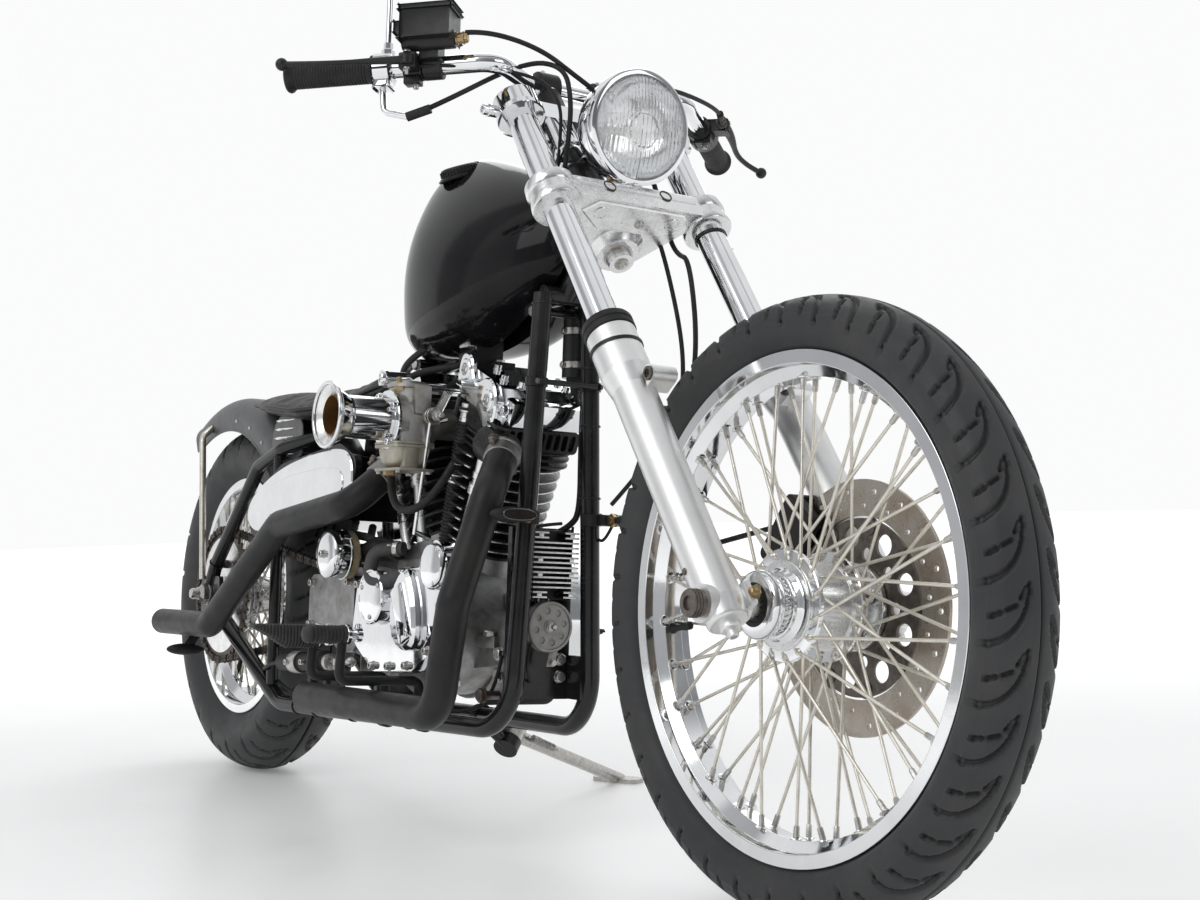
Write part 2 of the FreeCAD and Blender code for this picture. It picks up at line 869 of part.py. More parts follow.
def levers():
    return Part.makeCompound(both_sides(lever()))


def throttle():
    """The twist-grip housing, inboard of the right grip."""
    end, inward = grip_axis()
    start = end + inward * (grip_length - overrun + clearance)
    return sleeve(start, start + inward * throttle_housing_length, throttle_housing_radius,
                  bar_radius + clearance)


def perch_point():
    """The middle of the right perch on the bar, its inward direction and the way ahead."""
    end, inward = grip_axis()
    ahead = along_z.cross(inward).normalize()
    if ahead.x < 0:
        ahead = ahead * -1
    return end + inward * (grip_length + throttle_housing_length + lever_perch_width), inward, ahead


def reservoir_foot():
    """The middle of the master cylinder, under its reservoir, with the inward and forward directions."""
    perch, inward, ahead = perch_point()
    across = ahead * (reservoir_width * half_share) + inward * lever_perch_width
    return perch + across + along_z * reservoir_rise, inward, ahead


def hose_route():
    """The brake hose: over the bar, behind the headlamp, through the lower clamp and down to the caliper."""
    low, inward, _ = reservoir_foot()
    start = low + inward * (reservoir_length / 2 + overrun + clearance)
    side_y = half_fork * hose_side_share
    high = top_clamp_height + top_clamp_thickness
    points = [start, start + inward * cable_bend, fork_point(hose_out * 1.7, -half_fork, high + hose_out)]
    points.append(fork_point(hose_out * 0.7, side_y * 0.2, high - overrun * 3))
    points.append(fork_point(overrun, side_y, lower_clamp_height + lower_clamp_thickness * 2.6))
    points.append(fork_point(-lower_clamp_boss_radius - overrun * 1.6, half_fork * 0.74, lower_clamp_height))
    points.append(fork_point(0, side_y, lower_clamp_height - lower_clamp_thickness * 1.6))
    points.append(vec(hose_fall_x, side_y, hose_fall_z))
    points.append(vec(hose_belly_x, side_y, hose_belly_z))
    points.append(vec(hose_foot_x, side_y, hose_foot_z))
    radial = caliper_radial()
    end = front_centre + radial * (front_disc_radius + overrun * 2)
    points.append(vec(end.x, side_y, end.z))
    return points


def caliper_radial():
    turn = radians(caliper_angle)
    return fork_up * cos(turn) - fork_out * sin(turn)


def cables():
    hose = pipe(hose_route(), cable_bend, cable_radius)
    return hose.cut(caliper_block(clearance))


def master_cylinder():
    """The front brake's reservoir box on its cylinder, above the right perch."""
    low, inward, ahead = reservoir_foot()
    perch = perch_point()[0]
    outline = [(-reservoir_length / 2, -reservoir_width / 2, reservoir_corner),
               (reservoir_length / 2, -reservoir_width / 2, reservoir_corner),
               (reservoir_length / 2, reservoir_width / 2, reservoir_corner),
               (-reservoir_length / 2, reservoir_width / 2, reservoir_corner)]
    face = rounded_face(outline, lambda a, b: low + inward * a + ahead * b)
    box = face.extrude(along_z * reservoir_height)
    body = rod(low - inward * (reservoir_length / 2), low + inward * (reservoir_length / 2 + overrun),
               bar_radius)
    clamp_at = perch + inward * (lever_perch_width / 2 + clearance)
    clamp = sleeve(clamp_at, clamp_at + inward * lever_perch_width, bar_radius + overrun,
                   bar_radius + clearance)
    link_at = clamp_at + inward * (lever_perch_width / 2)
    link_at = link_at + along_z * ((reservoir_rise + bar_radius) * half_share) + ahead * bar_radius
    link = box_at(link_at, inward, ahead, along_z, (lever_perch_width, bar_radius * 2, reservoir_rise))
    link = link.cut(rod(clamp_at - inward * overrun, clamp_at + inward * (lever_perch_width + overrun),
                        bar_radius + clearance))
    return fuse([box, body, clamp, link])


def hand_controls():
    return Part.makeCompound([throttle(), levers(), master_cylinder()])


def mirror():
    """The right mirror: a bent stem from the reservoir's clamp and a round head."""
    end, inward = grip_axis()
    base = end + inward * (grip_length + throttle_housing_length * half_share)
    base = base + along_z * (throttle_housing_radius + clearance)
    knee = base + along_z * (mirror_rise * 0.7)
    head = knee - inward * mirror_out + along_z * (mirror_rise * 0.5)
    stem = pipe([base, knee, head], mirror_out * half_share, mirror_stem_radius)
    face = (along_y * 0.25 - along_x).normalize()
    back = head - face * mirror_depth
    outline = [(0, 0, 0), (0, mirror_radius * 0.55, mirror_stem_radius),
               (mirror_depth * 0.6, mirror_radius, mirror_stem_radius / 2),
               (mirror_depth, mirror_radius, 0), (mirror_depth, 0, 0)]
    side = face.cross(along_z).normalize()
    return fuse([stem, turned(outline, back, face, side)])


def headlamp_axis():
    tilt = radians(lamp_tilt)
    centre = fork_point(lamp_out, 0, lower_clamp_height + lamp_rise)
    return centre, vec(cos(tilt), 0, -sin(tilt)), vec(sin(tilt), 0, cos(tilt))


def headlamp():
    """The bucket, its rim and the post that stands on the lower clamp."""
    centre, ahead, above = headlamp_axis()
    outline = [(-lamp_depth, 0, 0), (-lamp_depth, lamp_back_radius, lamp_back_radius * half_share)]
    outline += [(-lamp_depth * 0.72, lamp_radius * 0.80, lamp_radius * 0.3)]
    outline += [(-lamp_rim_depth, lamp_radius, 0), (-lamp_rim_depth, lamp_rim_radius, rim_corner)]
    outline += [(0, lamp_rim_radius, rim_corner * 2), (0, lamp_radius - overrun, 0)]
    outline += [(-lens_thickness - clearance, lamp_radius - overrun, 0), (-lens_thickness - clearance, 0, 0)]
    bucket = turned(outline, centre, ahead, above)
    foot = fork_point(clamp_front * half_share, 0, lower_clamp_height + lower_clamp_thickness + clearance)
    top = foot + fork_up * (lamp_radius * half_share)
    post = rod(foot, top, lamp_post_radius)
    return fuse([bucket, post])


def headlamp_lens():
    centre, ahead, above = headlamp_axis()
    radius = lamp_radius - overrun - clearance

    def place(a, b):
        return centre + ahead * a + above * b

    edges = [Part.Arc(place(lens_crown, 0), place(lens_crown * 0.75, radius * half_share),
                      place(0, radius)).toShape()]
    edges.append(Part.makeLine(place(0, radius), place(-lens_thickness, radius)))
    edges.append(Part.makeLine(place(-lens_thickness, radius), place(-lens_thickness, 0)))
    edges.append(Part.makeLine(place(-lens_thickness, 0), place(lens_crown, 0)))
    return Part.Face(Part.Wire(edges)).revolve(centre, ahead, 360)


def front_axle():
    reach = half_fork + axle_boss_half + overrun
    shaft = rod(front_centre - along_y * reach, front_centre + along_y * reach, front_axle_radius)
    right = sleeve(front_centre - along_y * (half_fork - axle_boss_half - clearance),
                   front_centre - along_y * (front_hub_right + clearance), front_axle_radius * 1.6,
                   front_axle_radius * half_share)
    left_start = front_hub_left + front_disc_thickness + clearance * 2
    left = sleeve(front_centre + along_y * left_start,
                  front_centre + along_y * (half_fork - axle_boss_half - clearance),
                  front_axle_radius * 1.6, front_axle_radius * half_share)
    head = rod(front_centre - along_y * (reach + overrun), front_centre - along_y * reach,
               front_axle_radius * 1.4)
    return fuse([shaft, right, left, head])


def caliper_block(extra):
    """The caliper's rounded block, grown by extra."""
    radial = caliper_radial()
    tangent = along_y.cross(radial).normalize()
    disc_y = front_hub_left + clearance + front_disc_thickness / 2
    centre = front_centre + radial * (front_disc_radius - caliper_height * 0.22) + vec(0, disc_y, 0)
    length = caliper_length + extra * 2
    height = caliper_height + extra * 2
    width = caliper_width + extra * 2
    outline = [(a * length / 2, b * height / 2, caliper_corner) for a,
               b in ((-1, -1), (1, -1), (1, 1), (-1, 1))]
    face = rounded_face(outline, lambda a, b: centre - along_y * (width / 2) + tangent * a + radial * b)
    return face.extrude(along_y * width)


def front_caliper():
    """The caliper behind the left leg, open where the disc runs through it."""
    radial = caliper_radial()
    tangent = along_y.cross(radial).normalize()
    centre_r = front_disc_radius - caliper_height * 0.22
    disc_y = front_hub_left + clearance + front_disc_thickness / 2
    centre = front_centre + radial * centre_r + vec(0, disc_y, 0)
    slot_r = front_disc_radius + disc_room - caliper_height / 2
    slot = box_at(centre + radial * (slot_r - centre_r), tangent, along_y, radial,
                  (caliper_length + overrun, caliper_slot, caliper_height))
    bracket_y = half_fork - overrun
    start = vec(centre.x, bracket_y - slider_radius * half_share, centre.z)
    end = fork_point(0, bracket_y, front_disc_radius)
    arm = rod(start, end, caliper_corner)
    seat = rod(vec(centre.x, disc_y + caliper_slot * half_share + overrun, centre.z),
               start + along_y * caliper_corner, caliper_corner)
    leg = rod(fork_point(0, half_fork, -slider_foot), fork_point(0, half_fork, slider_top),
              slider_radius + clearance)
    solid = fuse([caliper_block(0).cut(slot), arm, seat]).cut(leg)
    return max(solid.Solids, key=lambda part: part.Volume)


# Frame

def cradle_route():
    """The right downtube and lower rail, up to the axle plate."""
    top = vec(downtube_x, -downtube_half_top, tank_rail_z)
    foot = vec(downtube_x, -downtube_half_foot, rail_front_z)
    back = vec(rail_back_x, -rail_back_half, rail_back_z)
    end = vec(axle_plate_length * 0.42, -axle_plate_half, rear_tyre_radius - axle_plate_height * half_share)
    return [top, foot, back, end]


def stay_route():
    """The right seat stay, from the axle plate to the joint under the tank."""
    start = vec(0, -axle_plate_half, rear_tyre_radius + axle_plate_height * 0.3)
    low = vec(stay_low_x, -axle_plate_half, stay_low_z)
    knee = vec(stay_knee_x, -axle_plate_half, stay_knee_z)
    turn = vec(stay_turn_x, -axle_plate_half, stay_turn_z)
    mid = vec(stay_mid_x, -stay_mid_half, stay_mid_z)
    end = vec(spine_joint_x, -stay_tube_radius * 1.2, spine_joint_z)
    return [start, low, knee, turn, mid, end]


def frame_tubes(extra):
    """The right loop's tubes, fused; extra makes them thicker, to leave room around them."""
    cradle = pipe(cradle_route(), downtube_foot_bend, frame_tube_radius + extra)
    stay = pipe(stay_route(), downtube_foot_bend * half_share, stay_tube_radius + extra)
    post = rod(vec(seat_post_x, -rail_back_half, rail_back_z + frame_tube_radius * half_share),
               vec(seat_post_x, -seat_post_half, stay_turn_z - stay_tube_radius * half_share),
               cross_tube_radius + extra)
    return fuse([cradle, stay, post])


def frame_side():
    """The right loop: downtube, lower rail, axle plate, seat stay and seat post."""
    half_length = axle_plate_length / 2
    half_height = axle_plate_height / 2
    corners = [(-half_length * 0.6, rear_tyre_radius - half_height, overrun),
               (half_length, rear_tyre_radius - half_height, overrun),
               (half_length * 0.8, rear_tyre_radius + half_height, overrun),
               (-half_length * 0.6, rear_tyre_radius + half_height, overrun)]
    plate = rounded_face(corners, side_plane(-axle_plate_half - axle_plate_thickness / 2))
    plate = plate.extrude(along_y * axle_plate_thickness)
    hole = rod(rear_centre - along_y * (axle_plate_half * 2), rear_centre, rear_axle_radius + clearance)
    lug_back = engine_plate_x + front_plate_thickness / 2 + clearance
    lug_at = vec((lug_back + downtube_x) / 2, -downtube_half_foot + frame_tube_radius, front_lug_z)
    lug = box_at(lug_at, along_x, along_y, along_z,
                 (downtube_x - lug_back, front_plate_thickness, front_lug_height))
    return fuse([frame_tubes(0), plate, lug]).cut(hole)


def neck_ends():
    low = fork_point(-steering_offset, 0, lower_clamp_height + lower_clamp_thickness + neck_gap)
    high = fork_point(-steering_offset, 0, top_clamp_height - neck_gap)
    return low, high


def backbone_route():
    low, high = neck_ends()
    knuckle = vec(tank_rail_x - tank_half_width, 0, backbone_z)
    return [(low + high) * half_share, knuckle, vec(spine_joint_x, 0, spine_joint_z)]


def rail_route():
    back_x = spine_joint_x + tank_half_width
    return [vec(downtube_x, 0, tank_rail_z), vec(tank_rail_x, 0, tank_rail_z),
            vec(back_x, 0, spine_joint_z + stay_tube_radius * 2), vec(spine_joint_x, 0, spine_joint_z)]


def frame_spine():
    """The steering head, backbone, tank rail, header tube and gusset."""
    low, high = neck_ends()
    neck = rod(low, high, neck_radius)
    cups = [rod(low, low + fork_up * neck_cup_height, neck_cup_radius),
            rod(high - fork_up * neck_cup_height, high, neck_cup_radius)]
    backbone = pipe(backbone_route(), downtube_foot_bend, frame_tube_radius)
    rail = pipe(rail_route(), downtube_foot_bend, stay_tube_radius)
    gusset = rod(vec(downtube_x, 0, tank_rail_z), low + fork_up * neck_cup_height, frame_tube_radius)
    header = rod(vec(downtube_x, -downtube_half_top, tank_rail_z),
                 vec(downtube_x, downtube_half_top, tank_rail_z),
                 stay_tube_radius)
    bore = rod(low - fork_up * overrun, high + fork_up * overrun, neck_bore)
    spine = fuse([neck, backbone, rail, gusset, header] + cups).cut(bore)
    side = frame_tubes(clearance)
    return spine.cut(side).cut(mirror_y(side))


def engine_mounts():
    """The front plate that also carries the horn and regulator, and the cross tube under the gearbox."""
    half = downtube_half_foot - frame_tube_radius - clearance
    low = rail_front_z + downtube_foot_bend * half_share
    plate = box_at(vec(engine_plate_x, 0, low + front_plate_height / 2), along_x, along_y, along_z,
                   (front_plate_thickness, half * 2, front_plate_height))
    right = rail_point(rear_mount_x)
    tube = rod(right, mirrored(right), cross_tube_radius)
    top = gearbox_z - gearbox_radius * half_share
    web = box_at(vec(rear_mount_x, 0, (top + right.z) / 2), along_x, along_y, along_z,
                 (front_plate_thickness, case_half, top - right.z))
    case = rod(vec(gearbox_x, -case_half, gearbox_z), vec(gearbox_x, case_half, gearbox_z),
               gearbox_radius + clearance)
    chamber = rod(crank - along_y * case_half, crank + along_y * case_half, case_radius + clearance)
    side = frame_tubes(clearance)
    rear = fuse([tube, web]).cut(case).cut(chamber).cut(bridge_block(clearance)).cut(side).cut(mirror_y(side))
    return Part.makeCompound([plate, max(rear.Solids, key=lambda solid: solid.Volume)])


def rear_axle():
    """The rear axle, its end nuts and the spacers between the hub and the plates."""
    reach = axle_plate_half + axle_plate_thickness + overrun
    shaft = rod(rear_centre - along_y * reach, rear_centre + along_y * reach, rear_axle_radius)
    parts = [shaft]
    outside = axle_plate_half + axle_plate_thickness / 2 + clearance
    inside = axle_plate_half - axle_plate_thickness / 2 - clearance
    for side, hub_face in ((-1, chain_side + rear_sprocket_thickness / 2),
                           (1, rear_hub_half + rear_disc_thickness)):
        parts.append(rod(rear_centre + along_y * (side * outside),
                         rear_centre + along_y * (side * (reach + overrun)),
                         rear_axle_radius * 1.7))
        parts.append(rod(rear_centre + along_y * (side * (hub_face + clearance)),
                         rear_centre + along_y * (side * inside),
                         rear_axle_radius * 1.7))
    return fuse(parts)


# Engine

def cylinder_axis(side):
    turn = radians(vee_half_angle) * side
    up = vec(sin(turn), 0, cos(turn))
    across = vec(cos(turn), 0, -sin(turn))
    return up, across


def bridge_block(extra):
    """The block that joins the crank chamber to the gearbox, its floor lowered by extra."""
    floor_share = 0.92
    corners = [(gearbox_x, gearbox_z - gearbox_radius * floor_share - extra, 0),
               (crank_x, crank_z - case_radius * floor_share - extra, 0),
               (crank_x, crank_z + case_radius * half_share, 0),
               (gearbox_x, gearbox_z + gearbox_radius * floor_share, 0)]
    face = rounded_face(corners, side_plane(-case_half + overrun))
    return face.extrude(along_y * (case_half * 2 - overrun))


def crankcase():
    """The unit crankcase: crank chamber, gearbox and the two cylinder mouths."""
    left = crank + along_y * case_half
    right = crank - along_y * case_half
    chamber = rod(right, left, case_radius)
    box = vec(gearbox_x, 0, gearbox_z)
    gearbox = rod(box - along_y * case_half, box + along_y * case_half, gearbox_radius)
    rise = case_radius * half_share
    plate_x = engine_plate_x - front_plate_thickness / 2 - clearance
    nose_corners = [(crank_x, crank_z - case_radius * 0.7, 0),
                    (plate_x, crank_z - case_radius * half_share, 0),
                    (plate_x, crank_z - case_radius * 0.1, 0), (crank_x, crank_z + rise, 0)]
    nose = rounded_face(nose_corners, side_plane(-case_half * half_share)).extrude(along_y * case_half)
    parts = [chamber, gearbox, bridge_block(0), nose]
    for side in (-1, 1):
        up, across = cylinder_axis(side)
        mouth = rod(crank + up * (case_radius * half_share), crank + up * (barrel_base - clearance),
                    fin_radius_foot)
        parts.append(mouth.cut(far_side(side)).cut(pushrod_room_rods()))
    return fuse(parts)


def far_side(side):
    """The room beyond the middle of the vee, where the other barrel stands."""
    reach = barrel_top * 2
    centre = vec(crank_x - side * (reach / 2 - barrel_gap), 0, crank_z + reach / 2)
    return box_at(centre, along_x, along_y, along_z, (reach, reach, reach))


def pushrod_room_rods():
    """Room round each pushrod tube, cut from the fins and heads."""
    rods = []
    for foot, top in pushrod_ends():
        run = (top - foot).normalize()
        rods.append(rod(foot - run * overrun, top + run * overrun, pushrod_collar_radius + pushrod_room))
    return Part.makeCompound(rods)


def cam_cover():
    """The chrome timing cover, with its round lid and the boss above its nose."""
    base = -case_half - clearance
    lift = case_radius
    corners = [(crank_x - lift * 1.36, crank_z - lift * 0.34, lift * 0.3),
               (crank_x - lift * 0.66, crank_z - lift * 0.74, lift * 0.3),
               (crank_x + lift * 0.40, crank_z - lift * 0.70, lift * 0.4),
               (crank_x + lift * 1.05, crank_z - lift * 0.36, lift * 0.3),
               (crank_x + lift * 1.30, crank_z + lift * 0.80, lift * 0.3),
               (crank_x + lift * 0.98, crank_z + lift * 1.04, lift * 0.16),
               (crank_x + lift * 0.58, crank_z + lift * 0.64, lift * 0.2),
               (crank_x - lift * 1.22, crank_z + lift * 0.50, lift * 0.3)]
    chest = rounded_face(corners, side_plane(base)).extrude(along_y * -(cam_chest_depth + cam_cover_depth))
    lid_at = vec(crank_x - lift * 0.60, base - cam_chest_depth - cam_cover_depth, crank_z + lift * 0.24)
    lid = rod(lid_at + along_y * overrun, lid_at - along_y * cover_plate_height, cover_plate_radius)
    boss_at = vec(crank_x + lift * 1.00, lid_at.y, crank_z + lift * 0.66)
    boss = rod(boss_at + along_y * overrun, boss_at - along_y * (cover_plate_height * half_share),
               cover_plate_radius * 0.62)
    return fuse([chest, lid, boss])


def chain_loop(large, little):
    """The outline round both sprockets at the given radii, as a face in the chain's middle plane."""
    front = vec(gearbox_x, -chain_side, gearbox_z)
    rear = vec(0, -chain_side, rear_tyre_radius)
    run = front - rear
    length = run.Length
    along = run.normalize()
    up = (along_z - along * along.z).normalize()
    lean = (large - little) / length
    rise = sqrt(1 - lean * lean)
    top_rear = rear + along * (large * lean) + up * (large * rise)
    top_front = front + along * (little * lean) + up * (little * rise)
    low_rear = rear + along * (large * lean) - up * (large * rise)
    low_front = front + along * (little * lean) - up * (little * rise)
    edges = [Part.makeLine(top_rear, top_front)]
    edges.append(Part.Arc(top_front, front + along * little, low_front).toShape())
    edges.append(Part.makeLine(low_front, low_rear))
    edges.append(Part.Arc(low_rear, rear - along * large, top_rear).toShape())
    return Part.Face(Part.Wire(edges))


def chain_band(large, little, width):
    band = chain_loop(large, little).extrude(along_y * width)
    band.translate(along_y * (-width / 2))
    return band


def sprocket_cover():
    """The cover over the drive sprocket, hollow where the chain runs."""
    base = -case_half - clearance
    corners = [(gearbox_x - gearbox_radius * 0.9, gearbox_z - gearbox_radius * 0.62, overrun * 2),
               (gearbox_x + gearbox_radius * 1.26, gearbox_z - gearbox_radius * 0.62, overrun * 2),
               (gearbox_x + gearbox_radius * 1.26, gearbox_z + gearbox_radius * 0.56, overrun * 2),
               (gearbox_x - gearbox_radius * 0.9, gearbox_z + gearbox_radius * 0.56, overrun * 4)]
    cover = rounded_face(corners, side_plane(base)).extrude(along_y * -(cam_chest_depth * 2))
    room = chain_band(chain_outer_large + overrun, chain_outer_small + overrun, chain_width + overrun)
    cover = cover.cut(room)
    return max(cover.Solids, key=lambda solid: solid.Volume)


def primary_cover():
    """The long primary cover on the left: the ends of two rounds and the belly between them."""
    base = case_half + clearance
    front = vec(crank_x + overrun * 2, base, crank_z)
    rear = vec(gearbox_x + gearbox_radius * half_share, base, gearbox_z)
    parts = [rod(front, front + along_y * primary_depth, primary_front_radius),
             rod(rear, rear + along_y * primary_depth, primary_rear_radius)]
    corners = [(rear.x, rear.z - primary_rear_radius, 0), (front.x, front.z - primary_front_radius, 0),
               (front.x, front.z + primary_front_radius, 0), (rear.x, rear.z + primary_rear_radius, 0)]
    parts.append(rounded_face(corners, side_plane(base)).extrude(along_y * primary_depth))
    lid = rear + along_y * primary_depth
    parts.append(rod(lid - along_y * overrun, lid + along_y * cover_plate_height, primary_rear_radius * 0.72))
    return fuse(parts)


def finned_barrel(side):
    """One barrel: fins that widen upwards, turned in one outline."""
    up, across = cylinder_axis(side)
    outline = [(barrel_base, 0, 0), (barrel_base, fin_radius_foot, 0)]
    pitch = (barrel_top - barrel_base) / fin_count
    for index in range(fin_count):
        low = barrel_base + pitch * index + (pitch - fin_thickness)
        share = (index + 1) / fin_count
        reach = fin_radius_foot + (fin_radius_top - fin_radius_foot) * share ** half_share
        if index == 0:
            outline.append((barrel_base + fin_thickness, fin_radius_foot, 0))
            outline.append((barrel_base + fin_thickness, barrel_radius, 0))
        outline.append((low, barrel_radius, 0))
        outline.append((low, reach, 0))
        outline.append((low + fin_thickness, reach, 0))
        if index < fin_count - 1:
            outline.append((low + fin_thickness, barrel_radius, 0))
    outline.append((barrel_top, 0, 0))
    return turned(outline, crank, up, across)


def cylinders():
    room = pushrod_room_rods()
    return Part.makeCompound([finned_barrel(side).cut(far_side(side)).cut(room) for side in (-1, 1)])


def head_outline(share):
    return [(a * head_half * share, b * head_half * head_width_share * share, head_corner)
            for a, b in ((-1, -1), (1, -1), (1, 1), (-1, 1))]


def head_block(side, low, share, height):
    """A slice of a head's rounded block, from a height along the cylinder's axis."""
    up, across = cylinder_axis(side)
    base = crank + up * low
    face = rounded_face(head_outline(share), lambda a, b: base + across * a + along_y * b)
    return face.extrude(up * height)


def head(side):
    """One head: a rounded block with deep cooling grooves."""
    low = barrel_top + clearance
    block = head_block(side, low, 1, head_top - low)
    pitch = (head_top - low) / (head_fin_count + 1)
    for index in range(head_fin_count):
        level = low + pitch * (index + 1) - head_groove / 2
        ring = head_block(side, level, 1.1,
                          head_groove).cut(head_block(side, level, head_core_share, head_groove))
        block = block.cut(ring)
    return block


def head_envelope():
    """Both heads without their grooves, a little large, to seat the pipes on."""
    gap = clearance / head_half
    return Part.makeCompound([head_block(side, barrel_top, 1 + gap, head_top - barrel_top)
                              for side in (-1, 1)])


def heads():
    room = pushrod_room_rods()
    return Part.makeCompound([head(side).cut(room) for side in (-1, 1)])


def rocker_box(side):
    """One rocker box, with the shaft ends as raised bosses on its right side."""
    up, across = cylinder_axis(side)
    base = crank + up * (head_top + clearance)
    height = rocker_top - head_top
    corners = [(-rocker_half_length * 0.72, 0, 0), (-rocker_half_length, height * 0.5, rocker_corner),
               (-rocker_half_length * 0.86, height, rocker_corner),
               (rocker_half_length * 0.55, height, rocker_corner),
               (rocker_half_length, height * 0.35, rocker_corner), (rocker_half_length * 0.9, 0, 0)]
    start = base - along_y * rocker_half_width
    block = rounded_face(corners, lambda a, b: start + across * (a * side) + up * b)
    block = block.extrude(along_y * (rocker_half_width * 2))
    parts = [block]
    for place in (-1, 1):
        at = start + across * (place * rocker_boss_spread * side) + up * (height * 0.5)
        parts.append(rod(at + along_y * overrun, at - along_y * rocker_boss_height, rocker_boss_radius))
    return fuse(parts)


def rocker_boxes():
    return Part.makeCompound([rocker_box(side) for side in (-1, 1)])


def pushrod_ends():
    """Foot and head of each of the four pushrod tubes."""
    ends = []
    for side in (-1, 1):
        up, across = cylinder_axis(side)
        for step in (-1, 1):
            foot = vec(crank_x + side * pushrod_foot_spread + step * pushrod_foot_step, -pushrod_side,
                       tappet_z)
            top = crank + up * head_top + across * (step * pushrod_top_step) - along_y * pushrod_side
            ends.append((foot, top))
    return ends


def pushrod_tubes():
    solids = []
    chamber = rod(crank - along_y * (case_half + overrun), crank + along_y * case_half,
                  case_radius + clearance)
    for foot, top in pushrod_ends():
        run = (top - foot).normalize()
        tube = rod(foot, top - run * (pushrod_radius * half_share), pushrod_radius)
        collar = rod(foot, foot + run * (pushrod_collar_height * 2), pushrod_collar_radius)
        mid = foot + (top - foot) * half_share
        ring = rod(mid, mid + run * pushrod_collar_height, pushrod_collar_radius)
        solid = fuse([tube, collar, ring]).cut(chamber)
        solids.append(max(solid.Solids, key=lambda part: part.Volume))
    return Part.makeCompound(solids)


def carburettor():
    """Manifold, throat body, float bowl and top cap, on the right of the vee."""
    centre = vec(crank_x + overrun, 0, carb_z)
    throat_in = centre - along_y * carb_inner
    throat_out = centre - along_y * carb_outer
    manifold = rod(centre, throat_in, manifold_radius)
    body = rod(throat_in, throat_out, carb_body_radius)
    flange = rod(throat_out + along_y * overrun, throat_out, carb_body_radius + overrun)
    middle = (throat_in + throat_out) * half_share
    bowl = rod(middle - along_z * bowl_depth, middle, bowl_radius)
    cap = rod(middle, middle + along_z * (bowl_depth * 0.85), bowl_radius * 0.7)
    return fuse([manifold, body, flange, bowl, cap])


def velocity_stack():
    """The intake trumpet: a straight tube with a rolled, flared mouth."""
    base = vec(crank_x + overrun, -carb_outer - clearance, carb_z)
    length = stack_length
    flare = stack_length * 0.72
    outline = [(0, stack_radius + overrun, 0), (overrun, stack_radius + overrun, 0),
               (overrun, stack_radius, 0)]
    outline += [(flare, stack_radius, overrun * 2), (length, stack_mouth_radius, 0)]
    outline += [(length, stack_mouth_radius - stack_wall, 0), (flare, stack_radius - stack_wall, overrun * 2)]
    outline += [(0, stack_radius - stack_wall, 0)]
    return turned(outline, base, along_y * -1, along_z)


# Exhaust

def exhaust_pipe(points):
    outer = pipe(points, pipe_bend, pipe_radius).cut(head_envelope())
    last = (points[-1] - points[-2]).normalize()
    tip = rod(points[-1] - last * (pipe_radius * 3), points[-1] + last * overrun, pipe_radius - pipe_wall)
    solid = outer.cut(tip)
    return max(solid.Solids, key=lambda part: part.Volume)


def exhaust_front():
    """The front pipe: forward out of the head, down outside the downtube and back along the rail."""
    up, across = cylinder_axis(1)
    middle = (barrel_top + head_top) / 2
    port = crank + up * (middle - overrun) + across * (head_half + clearance) - along_y * (head_half * 0.72)
    elbow = vec(downtube_x + pipe_radius * 0.2, -pipe_side * 0.70, port.z - pipe_radius * 2.6)
    side = vec(downtube_x - pipe_radius * 0.1, -pipe_side * 0.98, crank_z + overrun * 5)
    low = vec(downtube_x - pipe_radius * 1.33, -pipe_side, front_pipe_z)
    end = vec(front_pipe_end_x, -pipe_side, front_pipe_z - pipe_radius * 0.3)
    return exhaust_pipe([port, elbow, side, low, end])


def exhaust_rear():
    """The rear pipe: out of the head between the pushrod tubes, then down and back past the wheel."""
    up, across = cylinder_axis(-1)
    middle = (barrel_top + head_top) / 2
    port = crank + up * middle - along_y * (head_half * head_width_share + clearance)
    out = vec(port.x, -pipe_side * 0.80, port.z - pipe_radius * 0.2)
    shoulder = vec(port.x - pipe_radius * 1.6, -pipe_side * 0.96, rear_pipe_high_z + pipe_radius * 0.3)
    knee = vec(oil_back_x + pipe_radius * 12, -pipe_side * 1.01, rear_pipe_high_z)
    heel = vec(oil_back_x - pipe_radius * 1.8, -pipe_side * 1.04, rear_pipe_z)
    end = vec(rear_pipe_end_x, -pipe_side * 1.07, rear_pipe_z - pipe_radius * 0.1)
    return exhaust_pipe([port, out, shoulder, knee, heel, end])


# Tanks, seat and fender

tank_station_shares = ((0.00, 0.10, 0.09, 0.66), (0.06, 0.38, 0.03, 0.84), (0.17, 0.72, 0.01, 0.96),
                       (0.33, 0.94, 0.00, 1.00), (0.51, 1.00, 0.02, 0.95), (0.69, 0.92, 0.09, 0.86),
                       (0.85, 0.70, 0.20, 0.76), (0.96, 0.40, 0.30, 0.66), (1.00, 0.14, 0.38, 0.58))
tank_section_shares = ((0.55, 0.01), (0.86, 0.08), (0.98, 0.22), (1.00, 0.38), (0.91, 0.58), (0.67, 0.78),
                       (0.36, 0.93))


def tank_section(x, half, bottom, top):
    """One closed section of the tank: widest low down, narrowing to a rounded top."""
    height = top - bottom
    right = [vec(x, -half * a, bottom + height * b) for a, b in tank_section_shares]
    left = [mirrored(p) for p in reversed(right)]
    curve = Part.BSplineCurve()
    curve.interpolate(Points=[vec(x, 0, bottom)] + right + [vec(x, 0, top)] + left, PeriodicFlag=True)
    return Part.Wire([curve.toShape()])


def cap_axis():
    tilt = radians(cap_tilt)
    return vec(cap_x, cap_y, cap_z), vec(-sin(tilt) * 0.25, -sin(tilt), cos(tilt)).normalize()


